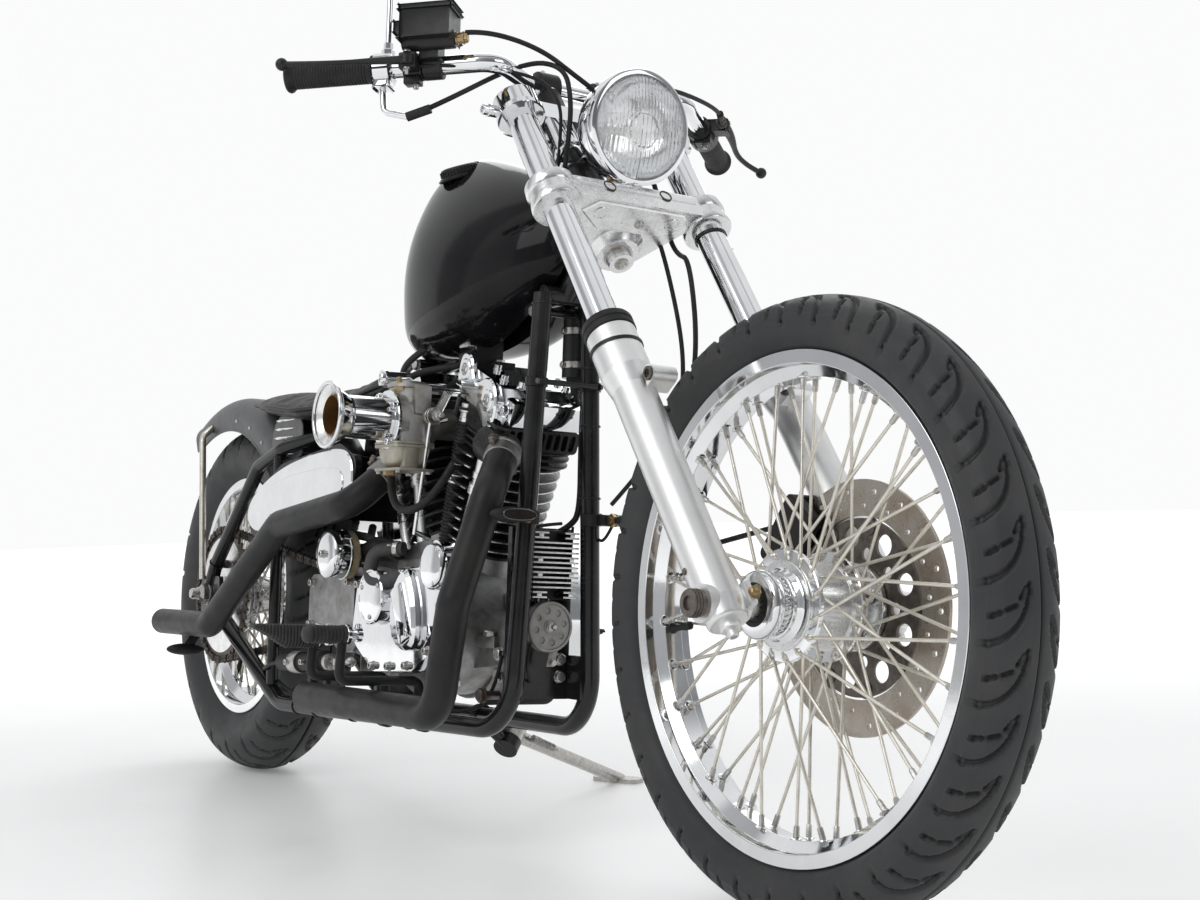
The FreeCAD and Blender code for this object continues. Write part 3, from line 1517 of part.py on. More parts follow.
def fuel_tank():
    """A tall narrow tank lofted through sections, with a tunnel for the backbone."""
    wires = []
    for along, wide, low, high in tank_station_shares:
        x = tank_back_x + (tank_front_x - tank_back_x) * along
        bottom = tank_floor_z + tank_height * low
        top = tank_floor_z + tank_height * high
        wires.append(tank_section(x, tank_half_width * wide, bottom, top))
    body = Part.makeLoft(wires, True, False)
    half = frame_tube_radius + tunnel_gap
    spine = pipe(backbone_route(), downtube_foot_bend, half)
    route = backbone_route()
    floor = tank_floor_z - overrun
    corners = [(route[2].x - tank_half_width, floor, 0), (tank_front_x + tank_half_width, floor, 0),
               (route[0].x, route[0].z, 0), (route[1].x, route[1].z, 0), (route[2].x, route[2].z, 0)]
    slot = rounded_face(corners, side_plane(-half)).extrude(along_y * (half * 2))
    neck_low = fork_point(-steering_offset, 0, lower_clamp_height)
    neck_room = rod(neck_low, fork_point(-steering_offset, 0, top_clamp_height + top_clamp_thickness),
                    neck_cup_radius + overrun)
    clamp_room = rod(fork_point(-steering_offset, 0, top_clamp_height - neck_gap),
                     fork_point(-steering_offset, 0, top_clamp_height + top_clamp_thickness * 2),
                     clamp_back * 2 + overrun)
    at, tilt = cap_axis()
    cap_room = rod(at - tilt * clearance, at + tilt * (cap_height * 4), cap_radius + clearance)
    for room in (spine, slot, neck_room, clamp_room, cap_room, grown_stays()):
        body = body.cut(room)
    return max(body.Solids, key=lambda solid: solid.Volume)


def grown_stays():
    side = pipe(stay_route(), downtube_foot_bend * half_share, stay_tube_radius + clearance)
    return Part.makeCompound(both_sides(side))


def tank_cap():
    at, tilt = cap_axis()
    return rod(at, at + tilt * cap_height, cap_radius)


oil_outline_shares = ((0.00, 0.42, 0.10), (0.06, 0.02, 0.20), (0.42, 0.10, 0.10), (0.98, 0.30, 0.10),
                      (1.00, 0.84, 0.14), (0.86, 1.00, 0.20), (0.34, 0.84, 0.60))


def oil_tank():
    """The oil tank: two polished cheeks beside the wheel and a body behind the engine."""
    length = oil_front_x - oil_back_x
    height = oil_high_z - oil_low_z
    corners = [(oil_back_x + length * a, oil_low_z + height * b, height * r)
               for a, b, r in oil_outline_shares]
    cheek = rounded_face(corners, side_plane(-oil_half)).extrude(along_y * oil_cheek)
    start = rear_tyre_radius + overrun * 3
    end = start + length * half_share
    body_corners = [(start, oil_low_z + overrun * 4, overrun), (end, oil_low_z + overrun * 6, overrun),
                    (end, oil_high_z - overrun * 3, overrun), (start, oil_high_z - overrun * 6, overrun)]
    body_half = oil_half - oil_cheek
    body = rounded_face(body_corners, side_plane(-body_half)).extrude(along_y * (body_half * 2))
    return fuse([cheek, body, mirror_y(cheek)])


seat_station_shares = ((0.00, 0.42, 0.48, 0.60), (0.10, 0.84, 0.36, 0.76), (0.30, 1.00, 0.18, 0.70),
                       (0.50, 0.96, 0.04, 0.60), (0.70, 0.68, 0.08, 0.66), (0.88, 0.46, 0.42, 0.90),
                       (1.00, 0.30, 0.66, 1.00))


def seat():
    """The thin saddle: it lies on the fender at the back and rises to the tank at the front."""
    length = seat_front_x - seat_back_x
    wires = []
    for along, wide, low, high in seat_station_shares:
        height = seat_height * (high - low)
        centre = vec(seat_back_x + length * along, 0, seat_z + seat_height * (low + high) / 2)
        wires.append(section_loop(centre, seat_half * wide, height / 2, seat_square_share))
    pad = Part.makeLoft(wires, True, False)
    drum = rod(rear_centre - along_y * (fender_half + overrun),
               rear_centre + along_y * (fender_half + overrun),
               fender_radius + clearance)
    pad = pad.cut(drum).cut(grown_stays())
    return max(pad.Solids, key=lambda solid: solid.Volume)


def rear_fender():
    """A rounded fender swept about the rear axle, ending in a flicked lip."""
    wall = fender_wall
    outline = [(-fender_half, fender_skirt_radius, 0), (-fender_half, fender_radius, fender_half * 0.42),
               (fender_half, fender_radius, fender_half * 0.42), (fender_half, fender_skirt_radius, 0),
               (fender_half - wall, fender_skirt_radius, 0),
               (fender_half - wall, fender_radius - wall, fender_half * 0.4),
               (-fender_half + wall, fender_radius - wall, fender_half * 0.4),
               (-fender_half + wall, fender_skirt_radius, 0)]
    front = radians(fender_front_angle)
    direction = vec(cos(front), 0, sin(front))
    face = rounded_face(outline, lambda a, b: rear_centre + along_y * a + direction * b)
    shell = face.revolve(rear_centre, along_y * -1, fender_tail_angle - fender_front_angle)
    tail = radians(fender_tail_angle)
    out = vec(cos(tail), 0, sin(tail))
    lip_face = rounded_face(outline, lambda a, b: rear_centre + along_y * a + out * b)
    back = vec(-sin(tail), 0, cos(tail))
    lift = (back + out * 0.35).normalize()
    lip = lip_face.extrude(lift * fender_lip)
    return fuse([shell, lip])


def fender_strut():
    side = -axle_plate_half - axle_plate_thickness - overrun
    foot = vec(-axle_plate_length * 0.1, side, rear_tyre_radius + axle_plate_height * 0.4)
    knee = vec(-axle_plate_length * 0.40, side, rear_tyre_radius + fender_radius * 0.80)
    end = vec(-axle_plate_length * 0.75, -fender_half + fender_wall * 4, knee.z + overrun * 5)
    inside = rod(rear_centre - along_y * (fender_half + clearance), rear_centre, fender_radius + clearance)
    strut = pipe([foot, knee, end], strut_radius * 3, strut_radius).cut(inside)
    return Part.makeCompound(both_sides(max(strut.Solids, key=lambda solid: solid.Volume)))


# Details carried by the frame and engine

def breather():
    centre = vec(breather_x, -case_half - cam_chest_depth * 2 - clearance * 2, breather_z)
    can = turned([(0, 0, 0), (0, breather_radius * 0.9, 0),
                  (breather_length * 0.35, breather_radius * 0.9, 0),
                  (breather_length * 0.35, breather_radius, rim_corner),
                  (breather_length, breather_radius, overrun),
                  (breather_length, 0, 0)], centre, along_y * -1, along_z)
    stem = rod(centre + along_y * (cam_chest_depth * 2), centre, breather_radius * half_share)
    return fuse([can, stem])


def regulator():
    """The finned voltage regulator between the downtubes."""
    back_x = engine_plate_x + front_plate_thickness / 2 + clearance
    body = box_at(vec(back_x + regulator_depth / 2, 0, regulator_z), along_x, along_y, along_z,
                  (regulator_depth, regulator_width, regulator_height))
    pitch = regulator_width / regulator_fin_count
    for index in range(regulator_fin_count - 1):
        y = -regulator_width / 2 + pitch * (index + 1)
        groove = box_at(vec(back_x + regulator_depth, y, regulator_z), along_x, along_y, along_z,
                        (regulator_depth, pitch * 0.5, regulator_height + overrun))
        body = body.cut(groove)
    return body


def horn():
    at = vec(engine_plate_x + front_plate_thickness / 2 + clearance, horn_y, horn_z)
    return turned([(0, 0, 0), (0, horn_radius * 0.6, 0), (horn_depth * half_share, horn_radius, overrun),
                   (horn_depth, horn_radius, rim_corner), (horn_depth, horn_radius * 0.8, 0),
                   (horn_depth - overrun, horn_radius * 0.8, 0), (horn_depth - overrun, 0, 0)],
                  at, along_x, along_z)


def ignition_coil():
    """The upright coil canister and the strap that hangs it from the tank rail."""
    at = vec(coil_x, coil_y, coil_z)
    top = at + along_z * coil_length
    can = rod(at, top, coil_radius)
    rail = vec(coil_x, 0, tank_rail_z)
    hang = top - along_z * (coil_radius * half_share)
    run = (rail - hang).normalize()
    strap = rod(hang, rail - run * (stay_tube_radius + clearance), coil_radius * 0.3)
    return fuse([can, strap])


def rail_point(x):
    """The middle of the right lower rail at x."""
    share = (x - downtube_x) / (rail_back_x - downtube_x)
    return vec(x, -downtube_half_foot + (downtube_half_foot - rail_back_half) * share,
               rail_front_z + (rail_back_z - rail_front_z) * share)


def peg_arm(start, level):
    """An arm from a peg down to a level over the rail, then in and down onto it."""
    rail = rail_point(start.x)
    inner_y = min(rail.y, -case_half - arm_radius - arm_gap)
    outer = vec(start.x, start.y - arm_radius, level)
    points = [start - along_y * arm_radius, outer, vec(start.x, inner_y, level),
              vec(start.x, inner_y, rail.z)]
    arm = pipe(points, arm_bend, arm_radius).cut(frame_tubes(clearance))
    return max(arm.Solids, key=lambda solid: solid.Volume)


def foot_pegs():
    """Both foot pegs: the right one's arm passes over the pipe, the left one's under the primary."""
    start = vec(peg_x, -peg_inner, peg_z)
    rubber = turned([(0, 0, 0), (0, peg_radius * 0.8, rim_corner), (overrun, peg_radius, rim_corner),
                     (peg_length - overrun * 4, peg_radius, overrun),
                     (peg_length, peg_radius * 0.6, rim_corner),
                     (peg_length, 0, 0)], start, along_y * -1, along_z)
    right = fuse([rubber, peg_arm(start, arm_level)])
    rail = rail_point(peg_x)
    level = rail.z + frame_tube_radius + arm_radius + clearance
    route = [start - along_y * arm_radius, vec(peg_x, -peg_inner - arm_radius, level),
             vec(peg_x, rail.y, level)]
    left = fuse([rubber, pipe(route, arm_bend, arm_radius)])
    return Part.makeCompound([right, mirror_y(left)])


def brake_pedal():
    """The brake pad on its arm, which comes up from the right rail over the pipe."""
    pad = vec(pad_x, -pad_inner, pad_z)
    rubber = rod(pad, pad - along_y * pad_length, pad_radius)
    return fuse([rubber, peg_arm(pad, arm_level)])


def signal(centre, base):
    """One slim turn signal: an almond body on the stalk that starts at its base."""
    body = Part.makeSphere(signal_length / 2)
    squash = FreeCAD.Matrix()
    squash.A11 = signal_depth / signal_length
    squash.A33 = signal_height / signal_length
    body = body.transformGeometry(squash)
    body.translate(centre)
    return fuse([rod(base, centre, signal_stalk_radius), body])


def downtube_point(z):
    share = (z - rail_front_z) / (tank_rail_z - rail_front_z)
    half = downtube_half_foot + (downtube_half_top - downtube_half_foot) * share
    return vec(downtube_x, -half, z)


def signals_front():
    """The front signals, ahead of the downtubes on stalks that reach outwards."""
    lamp = signal(vec(signal_front_x, -signal_front_y, signal_front_z), downtube_point(signal_front_z))
    lamp = lamp.cut(frame_tubes(clearance))
    return Part.makeCompound(both_sides(max(lamp.Solids, key=lambda solid: solid.Volume)))


def rear_lamps():
    """The rear signals, each on a stalk from the outside of its axle plate."""
    out = axle_plate_half + axle_plate_thickness / 2 + clearance
    base = vec(signal_rear_x, -axle_plate_half, rear_tyre_radius - axle_plate_height * 0.3)
    lamp = signal(vec(signal_rear_x, -out - signal_length * 0.72, signal_rear_z), base)
    room = axle_plate_height * 2
    inside = box_at(vec(signal_rear_x, -out + room / 2, rear_tyre_radius), along_x, along_y, along_z,
                    (room, room, room))
    lamp = lamp.cut(inside)
    return Part.makeCompound(both_sides(max(lamp.Solids, key=lambda solid: solid.Volume)))


def rear_brake():
    """The caliper over the rear disc, on a bracket bolted to the left axle plate."""
    disc_y = rear_hub_half + rear_disc_thickness / 2
    out = rear_disc_radius - caliper_height * 0.25
    centre = rear_centre + along_x * out + along_y * disc_y
    width = (axle_plate_half - axle_plate_thickness / 2 - disc_y) * 2 - overrun * 2
    block = box_at(centre, along_z, along_y, along_x, (caliper_length * 0.8, width, caliper_height))
    slot_x = rear_disc_radius + disc_room - caliper_height / 2
    slot = box_at(centre + along_x * (slot_x - out), along_z, along_y, along_x,
                  (caliper_length, caliper_slot + overrun, caliper_height))
    plate_y = axle_plate_half - axle_plate_thickness / 2 - clearance
    inner_y = disc_y + width / 2 - overrun
    start_x = rear_axle_radius * 3
    middle = vec((start_x + out) / 2, (plate_y + inner_y) / 2, rear_tyre_radius)
    bracket = box_at(middle, along_x, along_y, along_z,
                     (out - start_x, plate_y - inner_y, caliper_height * half_share))
    return fuse([block.cut(slot), bracket])


def drive_chain():
    """The chain as one fixed loop round both sprockets, with the drive sprocket inside it."""
    outer = chain_band(chain_outer_large, chain_outer_small, chain_width)
    inner = chain_band(chain_outer_large - chain_radius * 2, chain_outer_small - chain_radius * 2,
                       chain_width + overrun)
    centre = vec(gearbox_x, -chain_side, gearbox_z)
    sprocket = rod(centre + along_y * (chain_width / 2), centre - along_y * (chain_width / 2),
                   drive_sprocket_radius - clearance)
    return Part.makeCompound([outer.cut(inner), sprocket])


# Side stand

def stand_axis():
    return vec(stand_axis_shares[0], stand_axis_shares[1], stand_axis_shares[2]).normalize()


def side_stand():
    """The stand: its hub on the bracket's bolt, the leg and the flat foot on the road."""
    axis = stand_axis()
    pivot = vec(stand_x, stand_y, stand_z)
    lean_rise = foot_y * tan(radians(lean_angle)) - foot_settle
    foot = vec(foot_x, foot_y, lean_rise + foot_thickness * half_share)
    hub_part = rod(pivot - axis * (stand_hub_height / 2), pivot + axis * (stand_hub_height / 2),
                   stand_hub_radius)
    hole = rod(pivot - axis * stand_hub_height, pivot + axis * stand_hub_height,
               stand_bolt_radius + running_clearance)
    leg = rod(pivot, foot, stand_radius)
    level = vec(0, cos(radians(lean_angle)), sin(radians(lean_angle)))
    upright = vec(0, -sin(radians(lean_angle)), cos(radians(lean_angle)))
    ahead = (along_x * 0.95 + level * 0.3).normalize()
    across = upright.cross(ahead).normalize()
    corners = [(-foot_length * 0.55, -foot_width / 2, foot_width * 0.4),
               (foot_length * 0.45, -foot_width / 2, foot_width * 0.4),
               (foot_length * 0.45, foot_width / 2, foot_width * 0.4),
               (-foot_length * 0.55, foot_width / 2, foot_width * 0.4)]
    sole = vec(foot.x, foot.y, lean_rise)
    plate = rounded_face(corners, lambda a, b: sole + ahead * a + across * b)
    plate = plate.extrude(upright * foot_thickness)
    below = box_at(sole - upright * foot_thickness, ahead, across, upright,
                   (foot_length * 2, foot_width * 3, foot_thickness * 2))
    return fuse([hub_part, leg.cut(below), plate]).cut(hole)


def stand_bracket():
    """The lug from the left rail that reaches under the stand's hub, and the hub's bolt."""
    axis = stand_axis()
    pivot = vec(stand_x, stand_y, stand_z)
    rail = mirrored(rail_point(stand_x))
    drop = stand_hub_height / 2 + bracket_gap + bracket_radius
    under = pivot - axis * drop
    arm = pipe([rail, rail - axis * drop, under], bracket_radius, bracket_radius)
    cap = rod(pivot - axis * (stand_hub_height / 2 + bracket_gap), under - axis * bracket_radius,
              stand_hub_radius)
    top = pivot + axis * (stand_hub_height / 2 + bracket_gap)
    bolt = rod(under, top, stand_bolt_radius)
    return fuse([arm, cap, bolt])


# The whole machine

def bodies():
    right = frame_side()
    left = fuse([mirror_y(frame_side()), stand_bracket()])
    nodes = {
        "frame_right": right,
        "frame_left": left,
        "frame_spine": frame_spine(),
        "engine_mounts": engine_mounts(),
        "rear_axle": rear_axle(),
        "crankcase": crankcase(),
        "cam_cover": cam_cover(),
        "sprocket_cover": sprocket_cover(),
        "primary_cover": primary_cover(),
        "cylinders": cylinders(),
        "heads": heads(),
        "rocker_boxes": rocker_boxes(),
        "pushrod_tubes": pushrod_tubes(),
        "carburettor": carburettor(),
        "velocity_stack": velocity_stack(),
        "exhaust_front": exhaust_front(),
        "exhaust_rear": exhaust_rear(),
        "oil_tank": oil_tank(),
        "fuel_tank": fuel_tank(),
        "tank_cap": tank_cap(),
        "seat": seat(),
        "rear_fender": rear_fender(),
        "fender_strut": fender_strut(),
        "breather": breather(),
        "regulator": regulator(),
        "horn": horn(),
        "ignition_coil": ignition_coil(),
        "foot_pegs": foot_pegs(),
        "brake_pedal": brake_pedal(),
        "signals": Part.makeCompound([signals_front(), rear_lamps()]),
        "rear_brake": rear_brake(),
        "drive_chain": drive_chain(),
        "lower_clamp": lower_clamp(),
        "top_clamp": top_clamp(),
        "fork_tubes": fork_tubes(),
        "fork_sliders": fork_sliders(),
        "fork_seals": fork_seals(),
        "headlamp": headlamp(),
        "headlamp_lens": headlamp_lens(),
        "handlebar": handlebar(),
        "grips": grips(),
        "hand_controls": hand_controls(),
        "mirror": mirror(),
        "front_axle": front_axle(),
        "front_caliper": front_caliper(),
        "cables": cables(),
        "front_tyre": tyre(front_centre, front_tyre_radius, front_tyre_width, front_lip_radius,
                           front_bead_radius, front_rim_width),
        "front_rim": rim(front_centre, front_lip_radius, front_bead_radius, front_rim_width,
                         front_well_radius),
        "front_spokes": spokes(front_centre, front_spoke_count, front_spoke_radius, front_spoke_lace_angle,
                               front_flange_radius, front_flange_offset, front_well_radius - rim_wall),
        "front_hub": front_hub(),
        "front_disc": front_disc(),
        "rear_tyre": tyre(rear_centre, rear_tyre_radius, rear_tyre_width, rear_lip_radius,
                          rear_bead_radius, rear_rim_width),
        "rear_rim": rim(rear_centre, rear_lip_radius, rear_bead_radius, rear_rim_width, rear_well_radius),
        "rear_spokes": spokes(rear_centre, rear_spoke_count, rear_spoke_radius, rear_spoke_lace_angle,
                              rear_flange_radius, rear_flange_offset, rear_well_radius - rim_wall),
        "rear_hub": rear_hub(),
        "side_stand": side_stand(),
    }
    return nodes


def leaned(shape):
    copy = shape.copy()
    copy.rotate(origin, along_x, -lean_angle)
    return copy


def main():
    os.makedirs("parts", exist_ok=True)
    nodes = {name: leaned(shape) for name, shape in bodies().items()}
    box = FreeCAD.BoundBox()
    for shape in nodes.values():
        box.add(shape.optimalBoundingBox(True, False))
    shift = vec(-(box.XMin + box.XMax) / 2, -(box.YMin + box.YMax) / 2, -box.ZMin)
    for name, shape in nodes.items():
        shape.translate(shift)
        shape.exportStep("parts/" + name + ".step")
        if not shape.isValid():
            print("not valid:", name)
    print("box", box, "shift", shift)


main()
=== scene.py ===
"""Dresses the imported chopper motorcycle: finishes for the solids and detailed pieces around them."""
import json
import logging
import math
from dataclasses import dataclass
from enum import Enum
from typing import List, Optional, Sequence, Tuple

import bmesh
import bpy
from mathutils import Matrix, Vector

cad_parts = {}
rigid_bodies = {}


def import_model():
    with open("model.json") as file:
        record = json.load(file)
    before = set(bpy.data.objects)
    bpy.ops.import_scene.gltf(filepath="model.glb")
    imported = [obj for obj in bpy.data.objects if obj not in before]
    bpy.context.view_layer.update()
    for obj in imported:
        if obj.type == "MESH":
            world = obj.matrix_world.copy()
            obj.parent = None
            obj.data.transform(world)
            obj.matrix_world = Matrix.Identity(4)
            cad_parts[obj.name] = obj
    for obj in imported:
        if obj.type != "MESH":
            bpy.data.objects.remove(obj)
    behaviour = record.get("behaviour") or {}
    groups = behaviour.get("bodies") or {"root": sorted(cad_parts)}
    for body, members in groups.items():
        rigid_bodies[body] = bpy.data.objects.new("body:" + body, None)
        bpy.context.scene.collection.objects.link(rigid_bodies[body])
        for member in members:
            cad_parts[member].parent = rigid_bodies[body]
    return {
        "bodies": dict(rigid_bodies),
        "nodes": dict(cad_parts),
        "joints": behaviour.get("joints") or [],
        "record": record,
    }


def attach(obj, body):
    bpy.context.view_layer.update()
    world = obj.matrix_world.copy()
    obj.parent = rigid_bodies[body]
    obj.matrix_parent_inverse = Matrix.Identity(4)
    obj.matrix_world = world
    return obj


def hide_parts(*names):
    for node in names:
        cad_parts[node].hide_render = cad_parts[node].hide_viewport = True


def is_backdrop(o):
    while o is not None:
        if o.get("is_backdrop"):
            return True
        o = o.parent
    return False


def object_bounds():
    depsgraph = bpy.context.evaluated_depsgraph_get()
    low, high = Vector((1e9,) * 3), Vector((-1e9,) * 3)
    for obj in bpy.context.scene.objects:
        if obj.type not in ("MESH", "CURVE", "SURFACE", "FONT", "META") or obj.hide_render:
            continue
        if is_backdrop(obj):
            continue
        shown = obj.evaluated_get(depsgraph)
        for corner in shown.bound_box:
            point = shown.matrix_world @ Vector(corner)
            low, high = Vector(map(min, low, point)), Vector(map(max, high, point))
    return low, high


log = logging.getLogger("chopper")

Point = Tuple[float, float, float]
Colour = Tuple[float, float, float]
Flat = Tuple[float, float]
Node = bpy.types.Node
Socket = bpy.types.NodeSocket

MM = 0.001
LEAN = math.radians(4.4)
RAKE = math.radians(36.7)
WHEELBASE = 1560.0
FRONT_RADIUS = 347.0
REAR_RADIUS = 318.0
STEERING_OFFSET = 55.0
HALF_FORK = 118.5
SMOOTH_ANGLE = math.radians(38.0)
BACKDROP = (0.965, 0.967, 0.972)
WHITE = (1.0, 1.0, 1.0)
CRISP_PIECE = math.radians(40.0)
CRISP_NODE = math.radians(35.0)
COAT_ROUGHNESS = 0.04
RELIEF_HEIGHT = 0.0006
LEAST_RADIUS = 0.05
SENSOR_WIDTH = 36.0
CLIP_END = 200.0
LAMP_AIM = (0.0, 0.0, 0.5)

X_AXIS = Vector((1.0, 0.0, 0.0))
Y_AXIS = Vector((0.0, 1.0, 0.0))
Z_AXIS = Vector((0.0, 0.0, 1.0))
FORK_UP = Vector((-math.sin(RAKE), 0.0, math.cos(RAKE)))
FORK_OUT = Vector((math.cos(RAKE), 0.0, math.sin(RAKE)))
FRONT_CENTRE = Vector((WHEELBASE, 0.0, FRONT_RADIUS))
REAR_CENTRE = Vector((0.0, 0.0, REAR_RADIUS))


def vec(x: float, y: float, z: float) -> Vector:
    """Gives the vector of three numbers."""
    return Vector((x, y, z))


def flipped(place: Vector) -> Vector:
    """Gives the same place or direction on the machine's other side."""
    return Vector((place.x, -place.y, place.z))


def wheeled(radius: float, turn: float, y: float = 0.0) -> Vector:
    """Gives the step to a place on a circle that turns as the wheels do."""
    return vec(radius * math.cos(turn), y, radius * math.sin(turn))


def fork_point(out: float, y: float, up: float) -> Vector:
    """Gives a place on the fork in upright millimetres.

    Args:
        out: distance ahead of the plane of the legs.
        y: distance to the rider's left.
        up: distance up the legs from the axle.

    Returns:
        The place in the upright machine's millimetres.
    """
    return FRONT_CENTRE + FORK_OUT * out + FORK_UP * up + Y_AXIS * y


class Stance:
    """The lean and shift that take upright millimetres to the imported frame's metres."""

    def __init__(self, joints: Sequence[dict]) -> None:
        """Reads the rear axle's packed place.

        Args:
            joints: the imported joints.
        """
        rear = next(joint for joint in joints if joint["name"] == "rear_wheel_spin")
        turn = Matrix.Rotation(-LEAN, 4, "X")
        shift = Vector(rear["pos_m"]) - (turn @ REAR_CENTRE) * MM
        self.matrix = Matrix.Translation(shift) @ turn @ Matrix.Scale(MM, 4)

    def place(self, point: Vector) -> Vector:
        """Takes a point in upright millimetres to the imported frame."""
        return self.matrix @ Vector(point)


class Grain(Enum):
    """The small relief of a surface."""

    PEEL = "orange peel of sprayed paint"
    CAST = "pitted casting"
    BRUSHED = "brushed or turned metal"
    POLISH = "polished plate with faint smears"
    RUBBER = "moulded rubber"
    LEATHER = "creased hide"
    PLAIN = "fine powder"


@dataclass(frozen=True)
class Finish:
    """One surface finish, made into node material when it is first used.

    Attributes:
        name: the finish in a maker's words.
        slot: the record's material slot it stands for; not used.
        colour: the main colour.
        stain: the second colour that clouds the first.
        stain_share: how much of the surface the second colour takes.
        stain_scale: clouds per metre.
        roughness: the smoothest value.
        rough_span: how far the roughness rises in patches.
        metallic: 1 for bare metal.
        coat: the clear coat's weight.
        ior: how strongly a bare dielectric mirrors.
        hollow_shade: painted shade, how much darker the base colour is made where the surface is hollow.
        grain: the kind of relief.
        grain_scale: relief cells per metre.
        grain_depth: strength of the relief.
    """

    name: str
    slot: str
    colour: Colour
    stain: Colour
    stain_share: float = 0.4
    stain_scale: float = 14.0
    roughness: float = 0.3
    rough_span: float = 0.15
    metallic: float = 0.0
    coat: float = 0.0
    ior: float = 1.5
    hollow_shade: float = 0.0
    grain: Grain = Grain.PLAIN
    grain_scale: float = 900.0
    grain_depth: float = 0.1

    def material(self) -> bpy.types.Material:
        """Returns the finish's material, building it once."""
        found = bpy.data.materials.get(self.name)
        if found is not None:
            return found
        material, tree, shader = new_material(self.name)
        material.diffuse_color = (*self.colour, 1.0)
        shader.inputs["Metallic"].default_value = self.metallic
        shader.inputs["Coat Weight"].default_value = self.coat
        shader.inputs["IOR"].default_value = self.ior
        shader.inputs["Coat Roughness"].default_value = COAT_ROUGHNESS
        place = tree.place()
        clouds = tree.noise(place, self.stain_scale, 6.0, 0.62)
        low = 0.5 + (0.5 - self.stain_share) * 0.5
        colour = tree.ramp(clouds, ((low - 0.14, self.colour), (low + 0.2, self.stain)))
        # Painted shade: where Pointiness finds a hollow, such as a tread groove, the base colour is darkened in place
        # of the shade that falls there.
        if self.hollow_shade:
            point = tree.add("ShaderNodeNewGeometry").outputs["Pointiness"]
            dark = (1.0 - self.hollow_shade,) * 3
            colour = tree.multiply(colour, tree.ramp(point, ((0.46, dark), (0.495, WHITE))))
        tree.link(colour, shader.inputs["Base Color"])
        patches = tree.noise(place, self.stain_scale * 3.1, 5.0, 0.7)
        span = tree.span(patches, 0.35, 0.7, self.roughness, self.roughness + self.rough_span)
        tree.link(span, shader.inputs["Roughness"])
        self.relief(tree, place, shader)
        return material

    def relief(self, tree: "Graph", place: Socket, shader: Node) -> None:
        """Adds the grain's bump.

        Args:
            tree: the material's nodes.
            place: the object coordinates.
            shader: the surface shader.
        """
        scale = self.grain_scale
        if self.grain is Grain.CAST:
            height = tree.noise(place, scale, 4.0, 0.6)
            height = tree.mix(height, tree.cells(place, scale * 0.6), 0.5)
        elif self.grain is Grain.BRUSHED:
            height = tree.noise(tree.stretch(place, (1.0, 0.06, 1.0)), scale, 3.0, 0.6)
        elif self.grain is Grain.LEATHER:
            height = tree.mix(tree.cells(place, scale), tree.noise(place, scale * 0.2, 5.0, 0.6), 0.4)
        elif self.grain is Grain.RUBBER:
            height = tree.mix(tree.noise(place, scale, 2.0, 0.5), tree.noise(place, scale * 0.12, 4.0, 0.6), 0.5)
        else:
            height = tree.noise(place, scale, 3.0, 0.5)
        bump = tree.add("ShaderNodeBump")
        bump.inputs["Strength"].default_value = self.grain_depth
        bump.inputs["Distance"].default_value = RELIEF_HEIGHT
        tree.link(height, bump.inputs["Height"])
        tree.link(bump.outputs["Normal"], shader.inputs["Normal"])


@dataclass(frozen=True)
class LensGlass:
    """Clear moulded glass.

    Attributes:
        name: the glass in a maker's words.
        slot: the record's material slot it stands for; not used.
    """

    name: str = "clear lens glass"
    slot: str = "lens"

    def material(self) -> bpy.types.Material:
        """Returns the glass, building it once."""
        found = bpy.data.materials.get(self.name)
        if found is not None:
            return found
        material, tree, shader = new_material(self.name)
        shader.inputs["Transmission Weight"].default_value = 0.92
        shader.inputs["IOR"].default_value = 1.45
        place = tree.place()
        dust = tree.noise(place, 60.0, 4.0, 0.6)
        tree.link(tree.ramp(dust, ((0.4, (0.97, 0.98, 0.98)), (0.75, (0.9, 0.91, 0.9)))), shader.inputs["Base Color"])
        tree.link(tree.span(dust, 0.45, 0.8, 0.02, 0.14), shader.inputs["Roughness"])
        return material


